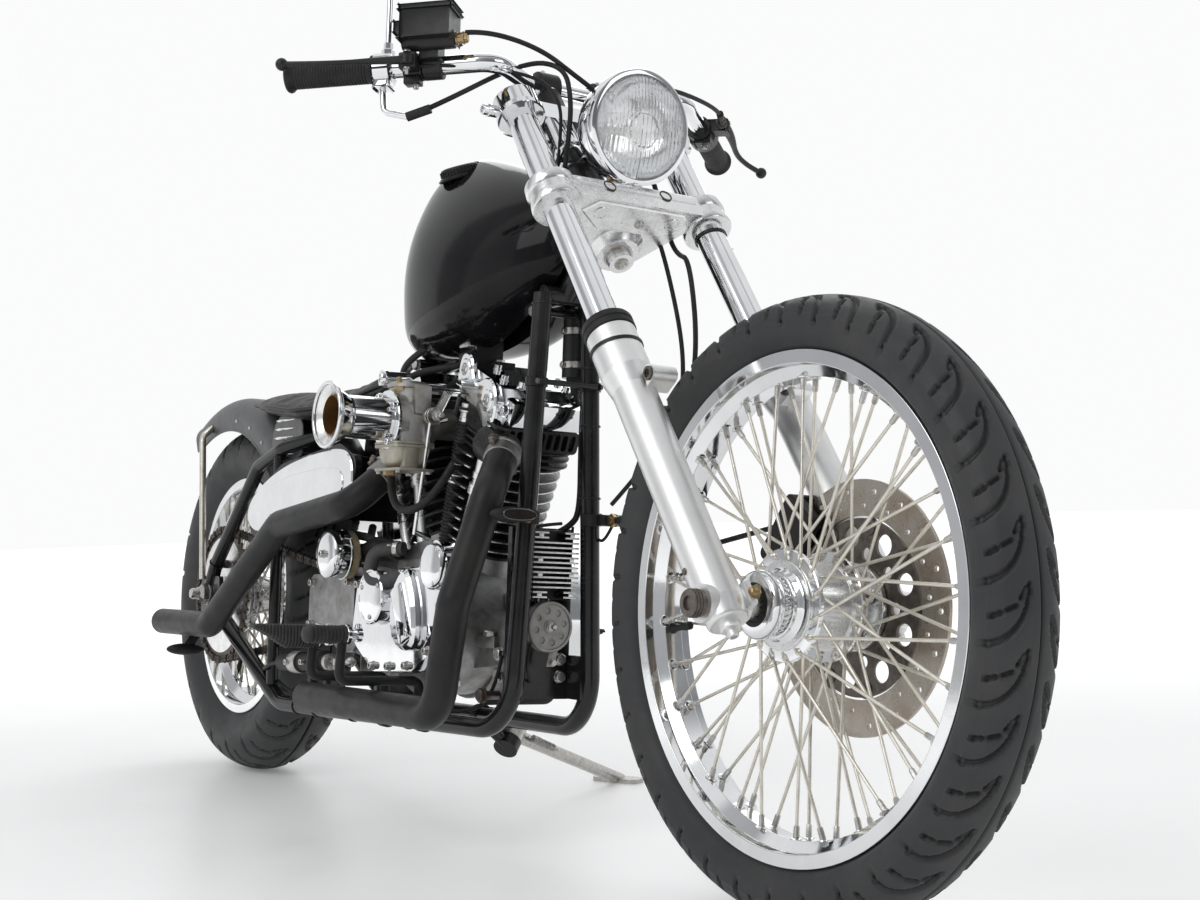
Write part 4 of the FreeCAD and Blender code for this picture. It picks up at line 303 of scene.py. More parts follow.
class Graph:
    """Short calls for a node tree."""

    def __init__(self, nodes: bpy.types.NodeTree) -> None:
        """Keeps the tree and empties it."""
        self.tree = nodes
        self.tree.nodes.clear()

    def add(self, kind: str) -> Node:
        """Adds a node of a kind."""
        return self.tree.nodes.new(kind)

    def link(self, start: Socket, end: Socket) -> None:
        """Joins two sockets."""
        self.tree.links.new(start, end)

    def shader(self) -> Node:
        """Adds the surface shader and the output, and returns the shader."""
        shader = self.add("ShaderNodeBsdfPrincipled")
        output = self.add("ShaderNodeOutputMaterial")
        self.link(shader.outputs["BSDF"], output.inputs["Surface"])
        return shader

    def place(self, kind: str = "Object") -> Socket:
        """Adds the coordinates of a kind."""
        return self.add("ShaderNodeTexCoord").outputs[kind]

    def noise(self, place: Socket, scale: float, detail: float, rough: float) -> Socket:
        """Adds a noise texture.

        Args:
            place: the coordinates.
            scale: cells per metre.
            detail: octaves.
            rough: how strong the fine octaves are.

        Returns:
            The noise's factor.
        """
        node = self.add("ShaderNodeTexNoise")
        node.inputs["Scale"].default_value = scale
        node.inputs["Detail"].default_value = detail
        node.inputs["Roughness"].default_value = rough
        self.link(place, node.inputs["Vector"])
        return node.outputs["Fac"]

    def multiply(self, first: Socket, second: Socket) -> Socket:
        """Multiplies two colours."""
        node = self.add("ShaderNodeMix")
        node.data_type = "RGBA"
        node.blend_type = "MULTIPLY"
        node.inputs["Factor"].default_value = 1.0
        self.link(first, node.inputs["A"])
        self.link(second, node.inputs["B"])
        return node.outputs["Result"]

    def cells(self, place: Socket, scale: float) -> Socket:
        """Adds a cell texture and returns its distance."""
        node = self.add("ShaderNodeTexVoronoi")
        node.inputs["Scale"].default_value = scale
        self.link(place, node.inputs["Vector"])
        return node.outputs["Distance"]

    def stretch(self, place: Socket, scale: Point) -> Socket:
        """Scales coordinates differently along each axis."""
        node = self.add("ShaderNodeMapping")
        node.inputs["Scale"].default_value = scale
        self.link(place, node.inputs["Vector"])
        return node.outputs["Vector"]

    def ramp(self, value: Socket, stops: Sequence[Tuple[float, Colour]]) -> Socket:
        """Adds a colour ramp.

        Args:
            value: the factor.
            stops: each stop's place and colour.

        Returns:
            The ramp's colour.
        """
        node = self.add("ShaderNodeValToRGB")
        elements = node.color_ramp.elements
        while len(elements) < len(stops):
            elements.new(1.0)
        for element, (where, colour) in zip(elements, stops):
            element.position = min(max(where, 0.0), 1.0)
            element.color = (*colour, 1.0)
        self.link(value, node.inputs["Fac"])
        return node.outputs["Color"]

    def span(self, value: Socket, low: float, high: float, start: float, end: float) -> Socket:
        """Maps a value from one span to another, held at the ends."""
        node = self.add("ShaderNodeMapRange")
        for socket, number in zip(node.inputs[1:5], (low, high, start, end)):
            socket.default_value = number
        self.link(value, node.inputs["Value"])
        return node.outputs["Result"]

    def mix(self, first: Socket, second: Socket, share: float) -> Socket:
        """Mixes two values by a share of the second."""
        node = self.add("ShaderNodeMix")
        node.inputs["Factor"].default_value = share
        self.link(first, node.inputs["A"])
        self.link(second, node.inputs["B"])
        return node.outputs["Result"]


def new_material(name: str) -> Tuple[bpy.types.Material, Graph, Node]:
    """Makes a material with an empty tree and a surface shader.

    Args:
        name: the material's name.

    Returns:
        The material, its nodes and its shader.
    """
    material = bpy.data.materials.new(name)
    material.use_nodes = True
    tree = Graph(material.node_tree)
    return material, tree, tree.shader()


GLOSS_BLACK = Finish("gloss black paint", "gloss_black", (0.006, 0.006, 0.007), (0.012, 0.012, 0.013), roughness=0.06,
                     rough_span=0.06, ior=1.27, grain=Grain.PEEL, grain_scale=420.0, grain_depth=0.02)
FRAME_BLACK = Finish("frame black paint", "gloss_black", (0.008, 0.008, 0.009), (0.02, 0.02, 0.021), roughness=0.12,
                     rough_span=0.14, ior=1.42, grain=Grain.PEEL, grain_scale=500.0, grain_depth=0.05)
SATIN_BLACK = Finish("satin black coating", "satin_black", (0.014, 0.014, 0.015), (0.026, 0.025, 0.024),
                     roughness=0.4, rough_span=0.14, ior=1.33, grain=Grain.PLAIN, grain_scale=1600.0, grain_depth=0.12)
PIPE_BLACK = Finish("pipe black coating", "satin_black", (0.014, 0.014, 0.015), (0.028, 0.027, 0.025), roughness=0.34,
                    rough_span=0.14, ior=1.33, grain=Grain.PLAIN, grain_scale=1300.0, grain_depth=0.14)
FENDER_GREY = Finish("fender grey paint", "fender_grey", (0.082, 0.083, 0.086), (0.105, 0.106, 0.108), roughness=0.4,
                     rough_span=0.12, coat=0.1, grain=Grain.PEEL, grain_scale=700.0, grain_depth=0.1)
ENGINE_BLACK = Finish("engine black coating", "engine_black", (0.011, 0.011, 0.012), (0.026, 0.025, 0.024),
                      stain_scale=40.0, roughness=0.24, rough_span=0.18, ior=1.38, grain=Grain.CAST,
                      grain_scale=900.0, grain_depth=0.25)
CHROME = Finish("chrome plate", "chrome", (0.82, 0.83, 0.84), (0.72, 0.73, 0.74), roughness=0.035, rough_span=0.07,
                metallic=1.0, grain=Grain.POLISH, grain_scale=90.0, grain_depth=0.02)
WORN_CHROME = Finish("worn chrome plate", "chrome", (0.76, 0.76, 0.75), (0.5, 0.48, 0.45), stain_share=0.25,
                     stain_scale=60.0, roughness=0.08, rough_span=0.2, metallic=1.0, grain=Grain.POLISH,
                     grain_scale=300.0, grain_depth=0.08)
SLIDER_ALLOY = Finish("satin slider alloy", "polished_alloy", (0.84, 0.84, 0.835), (0.76, 0.76, 0.755),
                      roughness=0.38, rough_span=0.08, metallic=1.0, grain=Grain.BRUSHED, grain_scale=1800.0,
                      grain_depth=0.1)
POLISHED_ALLOY = Finish("polished alloy", "polished_alloy", (0.78, 0.78, 0.78), (0.64, 0.635, 0.625),
                        stain_share=0.25, stain_scale=34.0, roughness=0.16, rough_span=0.2, metallic=1.0,
                        grain=Grain.CAST, grain_scale=350.0, grain_depth=0.12)
CAST_ALLOY = Finish("cast alloy", "cast_alloy", (0.36, 0.36, 0.36), (0.2, 0.19, 0.18), stain_share=0.45,
                    stain_scale=38.0, roughness=0.34, rough_span=0.22, metallic=1.0, grain=Grain.CAST,
                    grain_scale=900.0, grain_depth=0.5)
ZINC_ALLOY = Finish("stained zinc", "zinc_alloy", (0.52, 0.515, 0.5), (0.34, 0.31, 0.26), stain_share=0.35,
                    stain_scale=45.0, roughness=0.34, rough_span=0.24, metallic=1.0, grain=Grain.CAST,
                    grain_scale=1200.0, grain_depth=0.4)
STEEL = Finish("plated steel", "steel", (0.55, 0.54, 0.52), (0.36, 0.32, 0.27), stain_share=0.3, stain_scale=80.0,
               roughness=0.22, rough_span=0.22, metallic=1.0, grain=Grain.CAST, grain_scale=1500.0, grain_depth=0.1)
DARK_STEEL = Finish("dark steel", "steel", (0.2, 0.18, 0.16), (0.1, 0.08, 0.07), stain_scale=90.0, roughness=0.35,
                    rough_span=0.25, metallic=1.0, grain=Grain.CAST, grain_scale=1300.0, grain_depth=0.3)
SPOKE_STEEL = Finish("aged spoke zinc", "spoke_steel", (0.76, 0.73, 0.66), (0.6, 0.56, 0.48), stain_share=0.4,
                     stain_scale=60.0, roughness=0.26, rough_span=0.2, metallic=1.0, grain=Grain.BRUSHED,
                     grain_scale=2400.0, grain_depth=0.1)
BRASS = Finish("tarnished brass", "steel", (0.44, 0.33, 0.17), (0.26, 0.19, 0.11), stain_scale=90.0, roughness=0.34,
               rough_span=0.2, metallic=1.0, grain=Grain.CAST, grain_scale=1400.0, grain_depth=0.15)
DISC_STEEL = Finish("worn disc steel", "disc_steel", (0.47, 0.435, 0.39), (0.34, 0.28, 0.22), stain_share=0.45,
                    stain_scale=26.0, roughness=0.24, rough_span=0.14, metallic=1.0, grain=Grain.BRUSHED,
                    grain_scale=2600.0, grain_depth=0.12)
CHAIN_STEEL = Finish("rusty chain steel", "chain_steel", (0.085, 0.078, 0.072), (0.11, 0.085, 0.066),
                     stain_scale=120.0, roughness=0.44, rough_span=0.3, metallic=0.9, grain=Grain.CAST,
                     grain_scale=1600.0, grain_depth=0.4)
# The tyre's grooves are darkened by painted shade in the hollows.
TYRE_RUBBER = Finish("tyre rubber", "tyre", (0.036, 0.037, 0.039), (0.052, 0.052, 0.053), stain_scale=9.0,
                     roughness=0.46, rough_span=0.16, ior=1.36, hollow_shade=0.75, grain=Grain.RUBBER, grain_scale=1400.0,
                     grain_depth=0.2)
BLACK_RUBBER = Finish("black rubber", "rubber", (0.012, 0.012, 0.012), (0.024, 0.023, 0.022), stain_scale=30.0,
                      roughness=0.46, rough_span=0.2, ior=1.36, grain=Grain.RUBBER, grain_scale=1500.0, grain_depth=0.2)
BLACK_MOULDING = Finish("black moulding", "black_plastic", (0.011, 0.011, 0.012), (0.02, 0.02, 0.021), roughness=0.3,
                        rough_span=0.14, ior=1.4, grain=Grain.CAST, grain_scale=1500.0, grain_depth=0.12)
SEAT_HIDE = Finish("seat hide", "leather", (0.016, 0.0155, 0.0155), (0.03, 0.028, 0.027), stain_scale=18.0,
                   roughness=0.4, rough_span=0.2, grain=Grain.LEATHER, grain_scale=420.0, grain_depth=0.5)
HORN_GREY = Finish("horn grey", "zinc_alloy", (0.3, 0.3, 0.29), (0.22, 0.2, 0.18), stain_scale=60.0, roughness=0.36,
                   rough_span=0.2, metallic=0.8, grain=Grain.CAST, grain_scale=1300.0, grain_depth=0.25)
# A bright metal band: on the cylinders' fins it is a painted highlight on the black rims; it also edges the regulator's
# fins.
FIN_EDGE = Finish("bright fin edge", "polished_alloy", (0.78, 0.78, 0.77), (0.5, 0.5, 0.49), stain_scale=120.0,
                  roughness=0.24, rough_span=0.2, metallic=1.0, grain=Grain.BRUSHED, grain_scale=2600.0,
                  grain_depth=0.12)
BOWL_ZINC = Finish("stained bowl zinc", "zinc_alloy", (0.5, 0.48, 0.42), (0.38, 0.34, 0.27), stain_share=0.5,
                   stain_scale=30.0, roughness=0.4, rough_span=0.2, metallic=0.85, grain=Grain.CAST,
                   grain_scale=1500.0, grain_depth=0.3)
FLARE_WHITE = Finish("bright flare", "chrome", (0.9, 0.9, 0.9), (0.8, 0.8, 0.79), stain_scale=30.0, roughness=0.22,
                     rough_span=0.08, metallic=0.9, coat=0.4, grain=Grain.BRUSHED, grain_scale=2200.0, grain_depth=0.05)
THROAT_BROWN = Finish("stained throat", "zinc_alloy", (0.3, 0.16, 0.05), (0.16, 0.08, 0.03), stain_share=0.5,
                      stain_scale=24.0, roughness=0.36, rough_span=0.2, metallic=0.7, grain=Grain.CAST,
                      grain_scale=1200.0, grain_depth=0.2)
FILTER_YELLOW = Finish("aged filter band", "zinc_alloy", (0.36, 0.3, 0.18), (0.22, 0.17, 0.1), stain_share=0.5,
                       stain_scale=60.0, roughness=0.6, rough_span=0.2, metallic=0.2, grain=Grain.CAST,
                       grain_scale=1300.0, grain_depth=0.4)
HOSE_GREY = Finish("aged hose", "rubber", (0.045, 0.045, 0.046), (0.075, 0.073, 0.07), stain_scale=40.0,
                   roughness=0.62, rough_span=0.16, grain=Grain.CAST, grain_scale=1500.0, grain_depth=0.25)
RIBBED_RUBBER = Finish("peg rubber", "rubber", (0.024, 0.024, 0.025), (0.05, 0.048, 0.046), stain_scale=50.0,
                       roughness=0.55, rough_span=0.16, grain=Grain.CAST, grain_scale=1300.0, grain_depth=0.2)
# Near-black: real soot in the exhaust's ends, and painted shade there and behind the horn's holes.
SOOT_AND_SHADE = Finish("soot and painted shade", "satin_black", (0.008, 0.008, 0.008), (0.02, 0.018, 0.016), stain_scale=40.0, roughness=0.85,
              rough_span=0.1, grain=Grain.CAST, grain_scale=900.0, grain_depth=0.3)
SMOKED = Finish("smoked lens", "black_plastic", (0.02, 0.016, 0.015), (0.03, 0.024, 0.022), stain_scale=20.0,
                roughness=0.12, rough_span=0.06, coat=0.8, grain=Grain.PEEL, grain_scale=500.0, grain_depth=0.04)
WELT_HIDE = Finish("welt leather", "leather", (0.016, 0.016, 0.017), (0.028, 0.027, 0.027), stain_scale=80.0,
                   roughness=0.42, rough_span=0.12, grain=Grain.LEATHER, grain_scale=900.0, grain_depth=0.2)
SPROCKET_STEEL = Finish("oiled sprocket steel", "chain_steel", (0.2, 0.17, 0.14), (0.1, 0.075, 0.06), stain_share=0.5,
                        stain_scale=40.0, roughness=0.42, rough_span=0.2, metallic=0.95, grain=Grain.BRUSHED,
                        grain_scale=2000.0, grain_depth=0.2)


class Shape:
    """A mesh in the making, in the upright machine's millimetres."""

    def __init__(self) -> None:
        """Starts an empty mesh."""
        self.bm = bmesh.new()

    def ring(self, centre: Vector, u: Vector, v: Vector, radius: float, sides: int, squash: float = 1.0) -> List:
        """Adds a ring of points.

        Args:
            centre: the ring's middle.
            u: the first direction across.
            v: the second direction across.
            radius: the ring's radius.
            sides: the number of points.
            squash: the second direction's share of the radius.

        Returns:
            The new points in order.
        """
        made = []
        for index in range(sides):
            turn = math.tau * index / sides
            made.append(self.bm.verts.new(centre + u * (radius * math.cos(turn)) +
                                          v * (radius * squash * math.sin(turn))))
        return made

    def bridge(self, first: Sequence, second: Sequence) -> None:
        """Joins two rings of as many points with faces."""
        count = len(first)
        for index in range(count):
            after = (index + 1) % count
            self.bm.faces.new((first[index], first[after], second[after], second[index]))

    def cap(self, ring: Sequence) -> None:
        """Closes a ring with one face."""
        self.bm.faces.new(ring)

    def skin(self, rings: Sequence[Sequence], closed: bool = False) -> None:
        """Joins each ring to the next, and the last to the first if closed; otherwise caps both ends."""
        for first, second in zip(rings, rings[1:]):
            self.bridge(first, second)
        if closed:
            self.bridge(rings[-1], rings[0])
        else:
            self.cap(rings[0])
            self.cap(rings[-1])

    def lathe(self, profile: Sequence[Flat], centre: Vector, axis: Vector, sides: int = 48,
              closed: bool = False) -> "Shape":
        """Turns a profile about an axis.

        Args:
            profile: pairs of distance along the axis and radius.
            centre: the axis's origin.
            axis: the axis's direction.
            sides: steps round.
            closed: whether the last ring joins the first; otherwise the ends are capped.

        Returns:
            This shape.
        """
        along = Vector(axis).normalized()
        u, v = across_of(along)
        rings = [self.ring(Vector(centre) + along * a, u, v, max(r, LEAST_RADIUS), sides) for a, r in profile]
        self.skin(rings, closed)
        return self

    def rod(self, start: Vector, end: Vector, radius: float, sides: int = 20, edge: float = 0.0) -> "Shape":
        """Adds a round bar, with its edges broken by edge millimetres."""
        start = Vector(start)
        axis = Vector(end) - start
        length = axis.length
        if edge > 0.0:
            profile = [(0.0, radius - edge), (edge, radius), (length - edge, radius), (length, radius - edge)]
        else:
            profile = [(0.0, radius), (length, radius)]
        return self.lathe(profile, start, axis, sides)

    def tube(self, points: Sequence[Vector], radius: float, bend: float = 0.0, sides: int = 14,
             squash: float = 1.0) -> "Shape":
        """Sweeps a round section along runs that bends join.

        Args:
            points: the corners of the route.
            radius: the section's radius.
            bend: the bend's radius at each corner.
            sides: points round the section.
            squash: the section's height as a share of its width.

        Returns:
            This shape.
        """
        path = eased([Vector(p) for p in points], bend)
        tangents = []
        for index, point in enumerate(path):
            before = path[max(index - 1, 0)]
            after = path[min(index + 1, len(path) - 1)]
            tangents.append((after - before).normalized())
        u, _ = across_of(tangents[0])
        rings = []
        for point, tangent in zip(path, tangents):
            u = (u - tangent * u.dot(tangent)).normalized()
            rings.append(self.ring(point, u, tangent.cross(u), radius, sides, squash))
        self.skin(rings)
        return self

    def block(self, centre: Vector, u: Vector, v: Vector, w: Vector, size: Point, edge: float = 0.0) -> "Shape":
        """Adds a box with its edges broken.

        Args:
            centre: the box's middle.
            u: its first direction.
            v: its second direction.
            w: its third direction.
            size: its sides along the three.
            edge: the width of the broken edges.

        Returns:
            This shape.
        """
        made = bmesh.ops.create_cube(self.bm, size=1.0)["verts"]
        columns = [Vector(a).normalized() * s for a, s in zip((u, v, w), size)]
        for vert in made:
            vert.co = Vector(centre) + sum((c * k for c, k in zip(columns, vert.co.copy())), Vector())
        if edge > 0.0:
            edges = list({e for vert in made for e in vert.link_edges})
            bmesh.ops.bevel(self.bm, geom=edges, offset=edge, segments=2, affect="EDGES", profile=0.6)
        return self

    def box(self, centre: Vector, size: Point, edge: float = 0.0) -> "Shape":
        """Adds a block that lies along the machine's own axes."""
        return self.block(centre, X_AXIS, Y_AXIS, Z_AXIS, size, edge)

    def ball(self, centre: Vector, radii: Point, sides: int = 24) -> "Shape":
        """Adds an ellipsoid with its radii along the machine's own axes."""
        made = bmesh.ops.create_uvsphere(self.bm, u_segments=sides, v_segments=sides // 2, radius=1.0)["verts"]
        columns = [Vector(a) * r for a, r in zip((X_AXIS, Y_AXIS, Z_AXIS), radii)]
        for vert in made:
            vert.co = Vector(centre) + sum((c * k for c, k in zip(columns, vert.co.copy())), Vector())
        return self

    def plate(self, outlines: Sequence[Sequence[Flat]], thickness: float, centre: Vector, u: Vector, v: Vector,
              edge: float = 0.3) -> "Shape":
        """Adds a flat plate whose later outlines are holes.

        Args:
            outlines: the outline and then its holes, as flat places.
            thickness: the plate's thickness.
            centre: the place of the flat origin at mid thickness.
            u: the first flat direction.
            v: the second flat direction.
            edge: the width of the broken edges.

        Returns:
            This shape.
        """
        curve = bpy.data.curves.new("outline", "CURVE")
        curve.dimensions = "2D"
        curve.fill_mode = "BOTH"
        curve.extrude = max(thickness / 2 - edge, 0.01)
        curve.bevel_depth = edge
        curve.bevel_resolution = 0
        curve.offset = -edge
        for outline in outlines:
            spline = curve.splines.new("POLY")
            spline.points.add(len(outline) - 1)
            for point, (a, b) in zip(spline.points, outline):
                point.co = (a, b, 0.0, 1.0)
            spline.use_cyclic_u = True
        u = Vector(u).normalized()
        v = Vector(v).normalized()
        turn = Matrix((u, v, u.cross(v))).transposed().to_4x4()
        return self.take(curve, Matrix.Translation(Vector(centre)) @ turn)

    def take(self, curve: bpy.types.Curve, place: Optional[Matrix] = None) -> "Shape":
        """Adds a curve's solid form and removes the curve.

        Args:
            curve: the curve with its bevel.
            place: where it goes; none leaves it where it is.

        Returns:
            This shape.
        """
        holder = bpy.data.objects.new("line", curve)
        mesh = bpy.data.meshes.new_from_object(holder)
        if place is not None:
            mesh.transform(place)
        self.bm.from_mesh(mesh)
        bpy.data.objects.remove(holder)
        bpy.data.curves.remove(curve)
        bpy.data.meshes.remove(mesh)
        return self

    def cable(self, points: Sequence[Vector], radius: float) -> "Shape":
        """Runs a smooth cable held along the given places.

        Args:
            points: the places that draw its line.
            radius: the cable's radius.

        Returns:
            This shape.
        """
        curve = bpy.data.curves.new("line", "CURVE")
        curve.dimensions = "3D"
        curve.bevel_depth = radius
        curve.bevel_resolution = 3
        curve.use_fill_caps = True
        curve.resolution_u = 10
        spline = curve.splines.new("NURBS")
        spline.points.add(len(points) - 1)
        for point, place in zip(spline.points, points):
            point.co = (*place, 1.0)
        spline.order_u = 3
        spline.use_endpoint_u = True
        return self.take(curve)

    def bolt(self, seat: Vector, axis: Vector, size: float, kind: "Head", washer: bool = True) -> "Shape":
        """Adds a fastener's head on a seat.

        Args:
            seat: where it rests.
            axis: the way its head points.
            size: the thread's diameter.
            kind: the kind of head.
            washer: whether a washer lies under it.

        Returns:
            This shape.
        """
        seat = Vector(seat)
        axis = Vector(axis).normalized()
        low = 0.0
        if washer:
            low = size * 0.18
            self.lathe([(-0.2, size * 0.98), (low * 0.8, size * 0.98), (low, size * 0.9)], seat, axis, 24)
        if kind is Head.HEX:
            high = low + size * 0.62
            self.lathe([(low, size * 0.92), (high - size * 0.1, size * 0.92), (high, size * 0.78)], seat, axis, 6)
        elif kind is Head.ALLEN:
            high = low + size * 0.9
            self.lathe([(low, size * 0.78), (high - size * 0.1, size * 0.78), (high, size * 0.7), (high, size * 0.44),
                        (high - size * 0.45, size * 0.42)], seat, axis, 18)
        elif kind is Head.DOME:
            steps = [(low + size * 0.55 * math.sin(a), size * 0.85 * math.cos(a)) for a in (0.0, 0.4, 0.8, 1.2, 1.5)]
            self.lathe(steps, seat, axis, 20)
        else:
            self.lathe([(low, size * 0.92), (low + size * 0.5, size * 0.92), (low + size * 0.75, size * 0.6)], seat,
                       axis, 6)
            self.lathe([(low, size * 0.5), (low + size * 1.35, size * 0.5), (low + size * 1.5, size * 0.4)], seat,
                       axis, 14)
        return self

    def mirror(self) -> "Shape":
        """Adds the same on the other side."""
        copy = bmesh.ops.duplicate(self.bm, geom=self.bm.verts[:] + self.bm.edges[:] + self.bm.faces[:])["geom"]
        for vert in (g for g in copy if isinstance(g, bmesh.types.BMVert)):
            vert.co.y = -vert.co.y
        bmesh.ops.reverse_faces(self.bm, faces=[g for g in copy if isinstance(g, bmesh.types.BMFace)])
        return self

    def mesh(self, name: str) -> bpy.types.Mesh:
        """Closes the work and returns it as a mesh."""
        bmesh.ops.recalc_face_normals(self.bm, faces=self.bm.faces[:])
        mesh = bpy.data.meshes.new(name)
        self.bm.to_mesh(mesh)
        self.bm.free()
        return mesh


class Head(Enum):
    """Kinds of fastener."""

    HEX = "hexagon head"
    ALLEN = "socket head"
    DOME = "domed head"
    NUT = "nut with its stud's end"


def across_of(axis: Vector) -> Tuple[Vector, Vector]:
    """Gives two directions square to an axis and to each other."""
    axis = Vector(axis).normalized()
    helper = Z_AXIS if abs(axis.z) < 0.9 else X_AXIS
    u = (helper - axis * helper.dot(axis)).normalized()
    return u, axis.cross(u)


def eased(points: Sequence[Vector], bend: float, steps: int = 7) -> List[Vector]:
    """Rounds the corners of a route.

    Args:
        points: the corners.
        bend: the radius of each bend.
        steps: points along each bend.

    Returns:
        The route with its bends.
    """
    if bend <= 0.0 or len(points) < 3:
        return list(points)
    path = [points[0]]
    for before, corner, after in zip(points, points[1:], points[2:]):
        back = before - corner
        ahead = after - corner
        turn = math.pi - back.angle(ahead)
        if turn < 0.02:
            path.append(corner)
            continue
        reach = min(bend * math.tan(turn / 2), back.length * 0.49, ahead.length * 0.49)
        start = corner + back.normalized() * reach
        end = corner + ahead.normalized() * reach
        for index in range(steps + 1):
            share = index / steps
            path.append(start.lerp(corner, share).lerp(corner.lerp(end, share), share))
    path.append(points[-1])
    return path


def circle(a: float, b: float, radius: float, sides: int = 24) -> List[Flat]:
    """Gives the outline of a circle."""
    return [(a + radius * math.cos(math.tau * k / sides), b + radius * math.sin(math.tau * k / sides))
            for k in range(sides)]


def round_hole(a: float, b: float, radius: float, sides: int) -> List[Flat]:
    """Gives the outline of a round hole."""
    return circle(a, b, radius, sides)[::-1]


def rounded(half_a: float, half_b: float, radius: float) -> List[Flat]:
    """Gives a rectangle with round corners as a flat outline."""
    points = []
    for sign_a, sign_b, first in ((1, 1, 0.0), (-1, 1, 0.25), (-1, -1, 0.5), (1, -1, 0.75)):
        for k in range(7):
            turn = math.tau * (first + 0.25 * k / 6)
            points.append((sign_a * (half_a - radius) + radius * math.cos(turn),
                           sign_b * (half_b - radius) + radius * math.sin(turn)))
    return points


def smoothed(points: Sequence[Flat], turns: int = 2) -> List[Flat]:
    """Cuts a closed outline's corners until it runs smooth."""
    path = list(points)
    for _ in range(turns):
        path = [pair for p, q in zip(path, path[1:] + path[:1])
                for pair in ((p[0] * 0.75 + q[0] * 0.25, p[1] * 0.75 + q[1] * 0.25),
                             (p[0] * 0.25 + q[0] * 0.75, p[1] * 0.25 + q[1] * 0.75))]
    return path


def arc_through(start: Flat, middle: Flat, end: Flat, steps: int) -> List[Flat]:
    """Samples the arc through three flat places.

    Args:
        start: the first place.
        middle: a place on the way.
        end: the last place.
        steps: the number of steps.

    Returns:
        steps + 1 places.
    """
    (ax, ay), (bx, by), (cx, cy) = start, middle, end
    double = 2 * (ax * (by - cy) + bx * (cy - ay) + cx * (ay - by))
    sa, sb, sc = ax * ax + ay * ay, bx * bx + by * by, cx * cx + cy * cy
    ox = (sa * (by - cy) + sb * (cy - ay) + sc * (ay - by)) / double
    oy = (sa * (cx - bx) + sb * (ax - cx) + sc * (bx - ax)) / double
    radius = math.hypot(ax - ox, ay - oy)
    first = math.atan2(ay - oy, ax - ox)
    last = math.atan2(cy - oy, cx - ox)
    through = math.atan2(by - oy, bx - ox)
    swing = (last - first) % math.tau
    if (through - first) % math.tau > swing:
        swing -= math.tau
    return [(ox + radius * math.cos(first + swing * k / steps), oy + radius * math.sin(first + swing * k / steps))
            for k in range(steps + 1)]


class Workshop:
    """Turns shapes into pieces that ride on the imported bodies."""

    def __init__(self) -> None:
        """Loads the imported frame."""
        self.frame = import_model()
        self.start_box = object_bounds()
        self.stance = Stance(self.frame["joints"])

    def make(self, name: str, shape: Shape, finish: Finish, body: str = "chassis", bevel: float = 0.0,
             replaces: Sequence[str] = ()) -> bpy.types.Object:
        """Makes a piece.

        Args:
            name: the piece's name.
            shape: its form in upright millimetres.
            finish: its surface finish.
            body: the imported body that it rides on.
            bevel: millimetres taken off its sharp edges.
            replaces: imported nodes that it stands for.

        Returns:
            The piece.
        """
        return self.place(name, shape.mesh(name), finish, body, bevel, replaces)

    def place(self, name: str, mesh: bpy.types.Mesh, finish: Finish, body: str, bevel: float = 0.0,
              replaces: Sequence[str] = (), angle: float = SMOOTH_ANGLE) -> bpy.types.Object:
        """Makes a piece of a mesh.

        Args:
            name: the piece's name.
            mesh: its mesh in upright millimetres.
            finish: its surface finish.
            body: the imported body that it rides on.
            bevel: millimetres taken off its sharp edges.
            replaces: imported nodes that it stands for.
            angle: corners sharper than this stay crisp.

        Returns:
            The piece.
        """
        mesh.transform(self.stance.matrix)
        mesh.shade_smooth()
        mesh.set_sharp_from_angle(angle=angle)
        mesh.materials.append(finish.material())
        piece = bpy.data.objects.new(name, mesh)
        bpy.context.scene.collection.objects.link(piece)
        if bevel > 0.0:
            self.soften(piece, bevel, CRISP_PIECE)
        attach(piece, body)
        if replaces:
            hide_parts(*replaces)
        log.info("%s: %d faces on %s", name, len(mesh.polygons), body)
        return piece

    def dress(self, finish: Finish, *nodes: str, bevel: float = 0.0) -> None:
        """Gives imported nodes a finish, and crisp edges a small radius.

        Args:
            finish: the finish.
            nodes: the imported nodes.
            bevel: millimetres taken off their sharp edges.
        """
        for name in nodes:
            node = self.frame["nodes"][name]
            for mesh_object in [node, *node.children_recursive]:
                if mesh_object.type != "MESH":
                    continue
                if not mesh_object.material_slots:
                    mesh_object.data.materials.append(None)
                for holder in mesh_object.material_slots:
                    holder.material = finish.material()
                if bevel > 0.0:
                    self.soften(mesh_object, bevel, CRISP_NODE)

    @staticmethod
    def soften(target: bpy.types.Object, width: float, angle: float) -> None:
        """Takes a small radius off an object's crisp edges.

        Args:
            target: the object.
            width: the radius in millimetres.
            angle: edges sharper than this are softened.
        """
        modifier = target.modifiers.new("edges", "BEVEL")
        modifier.width = width * MM
        modifier.segments = 2
        modifier.limit_method = "ANGLE"
        modifier.angle_limit = angle


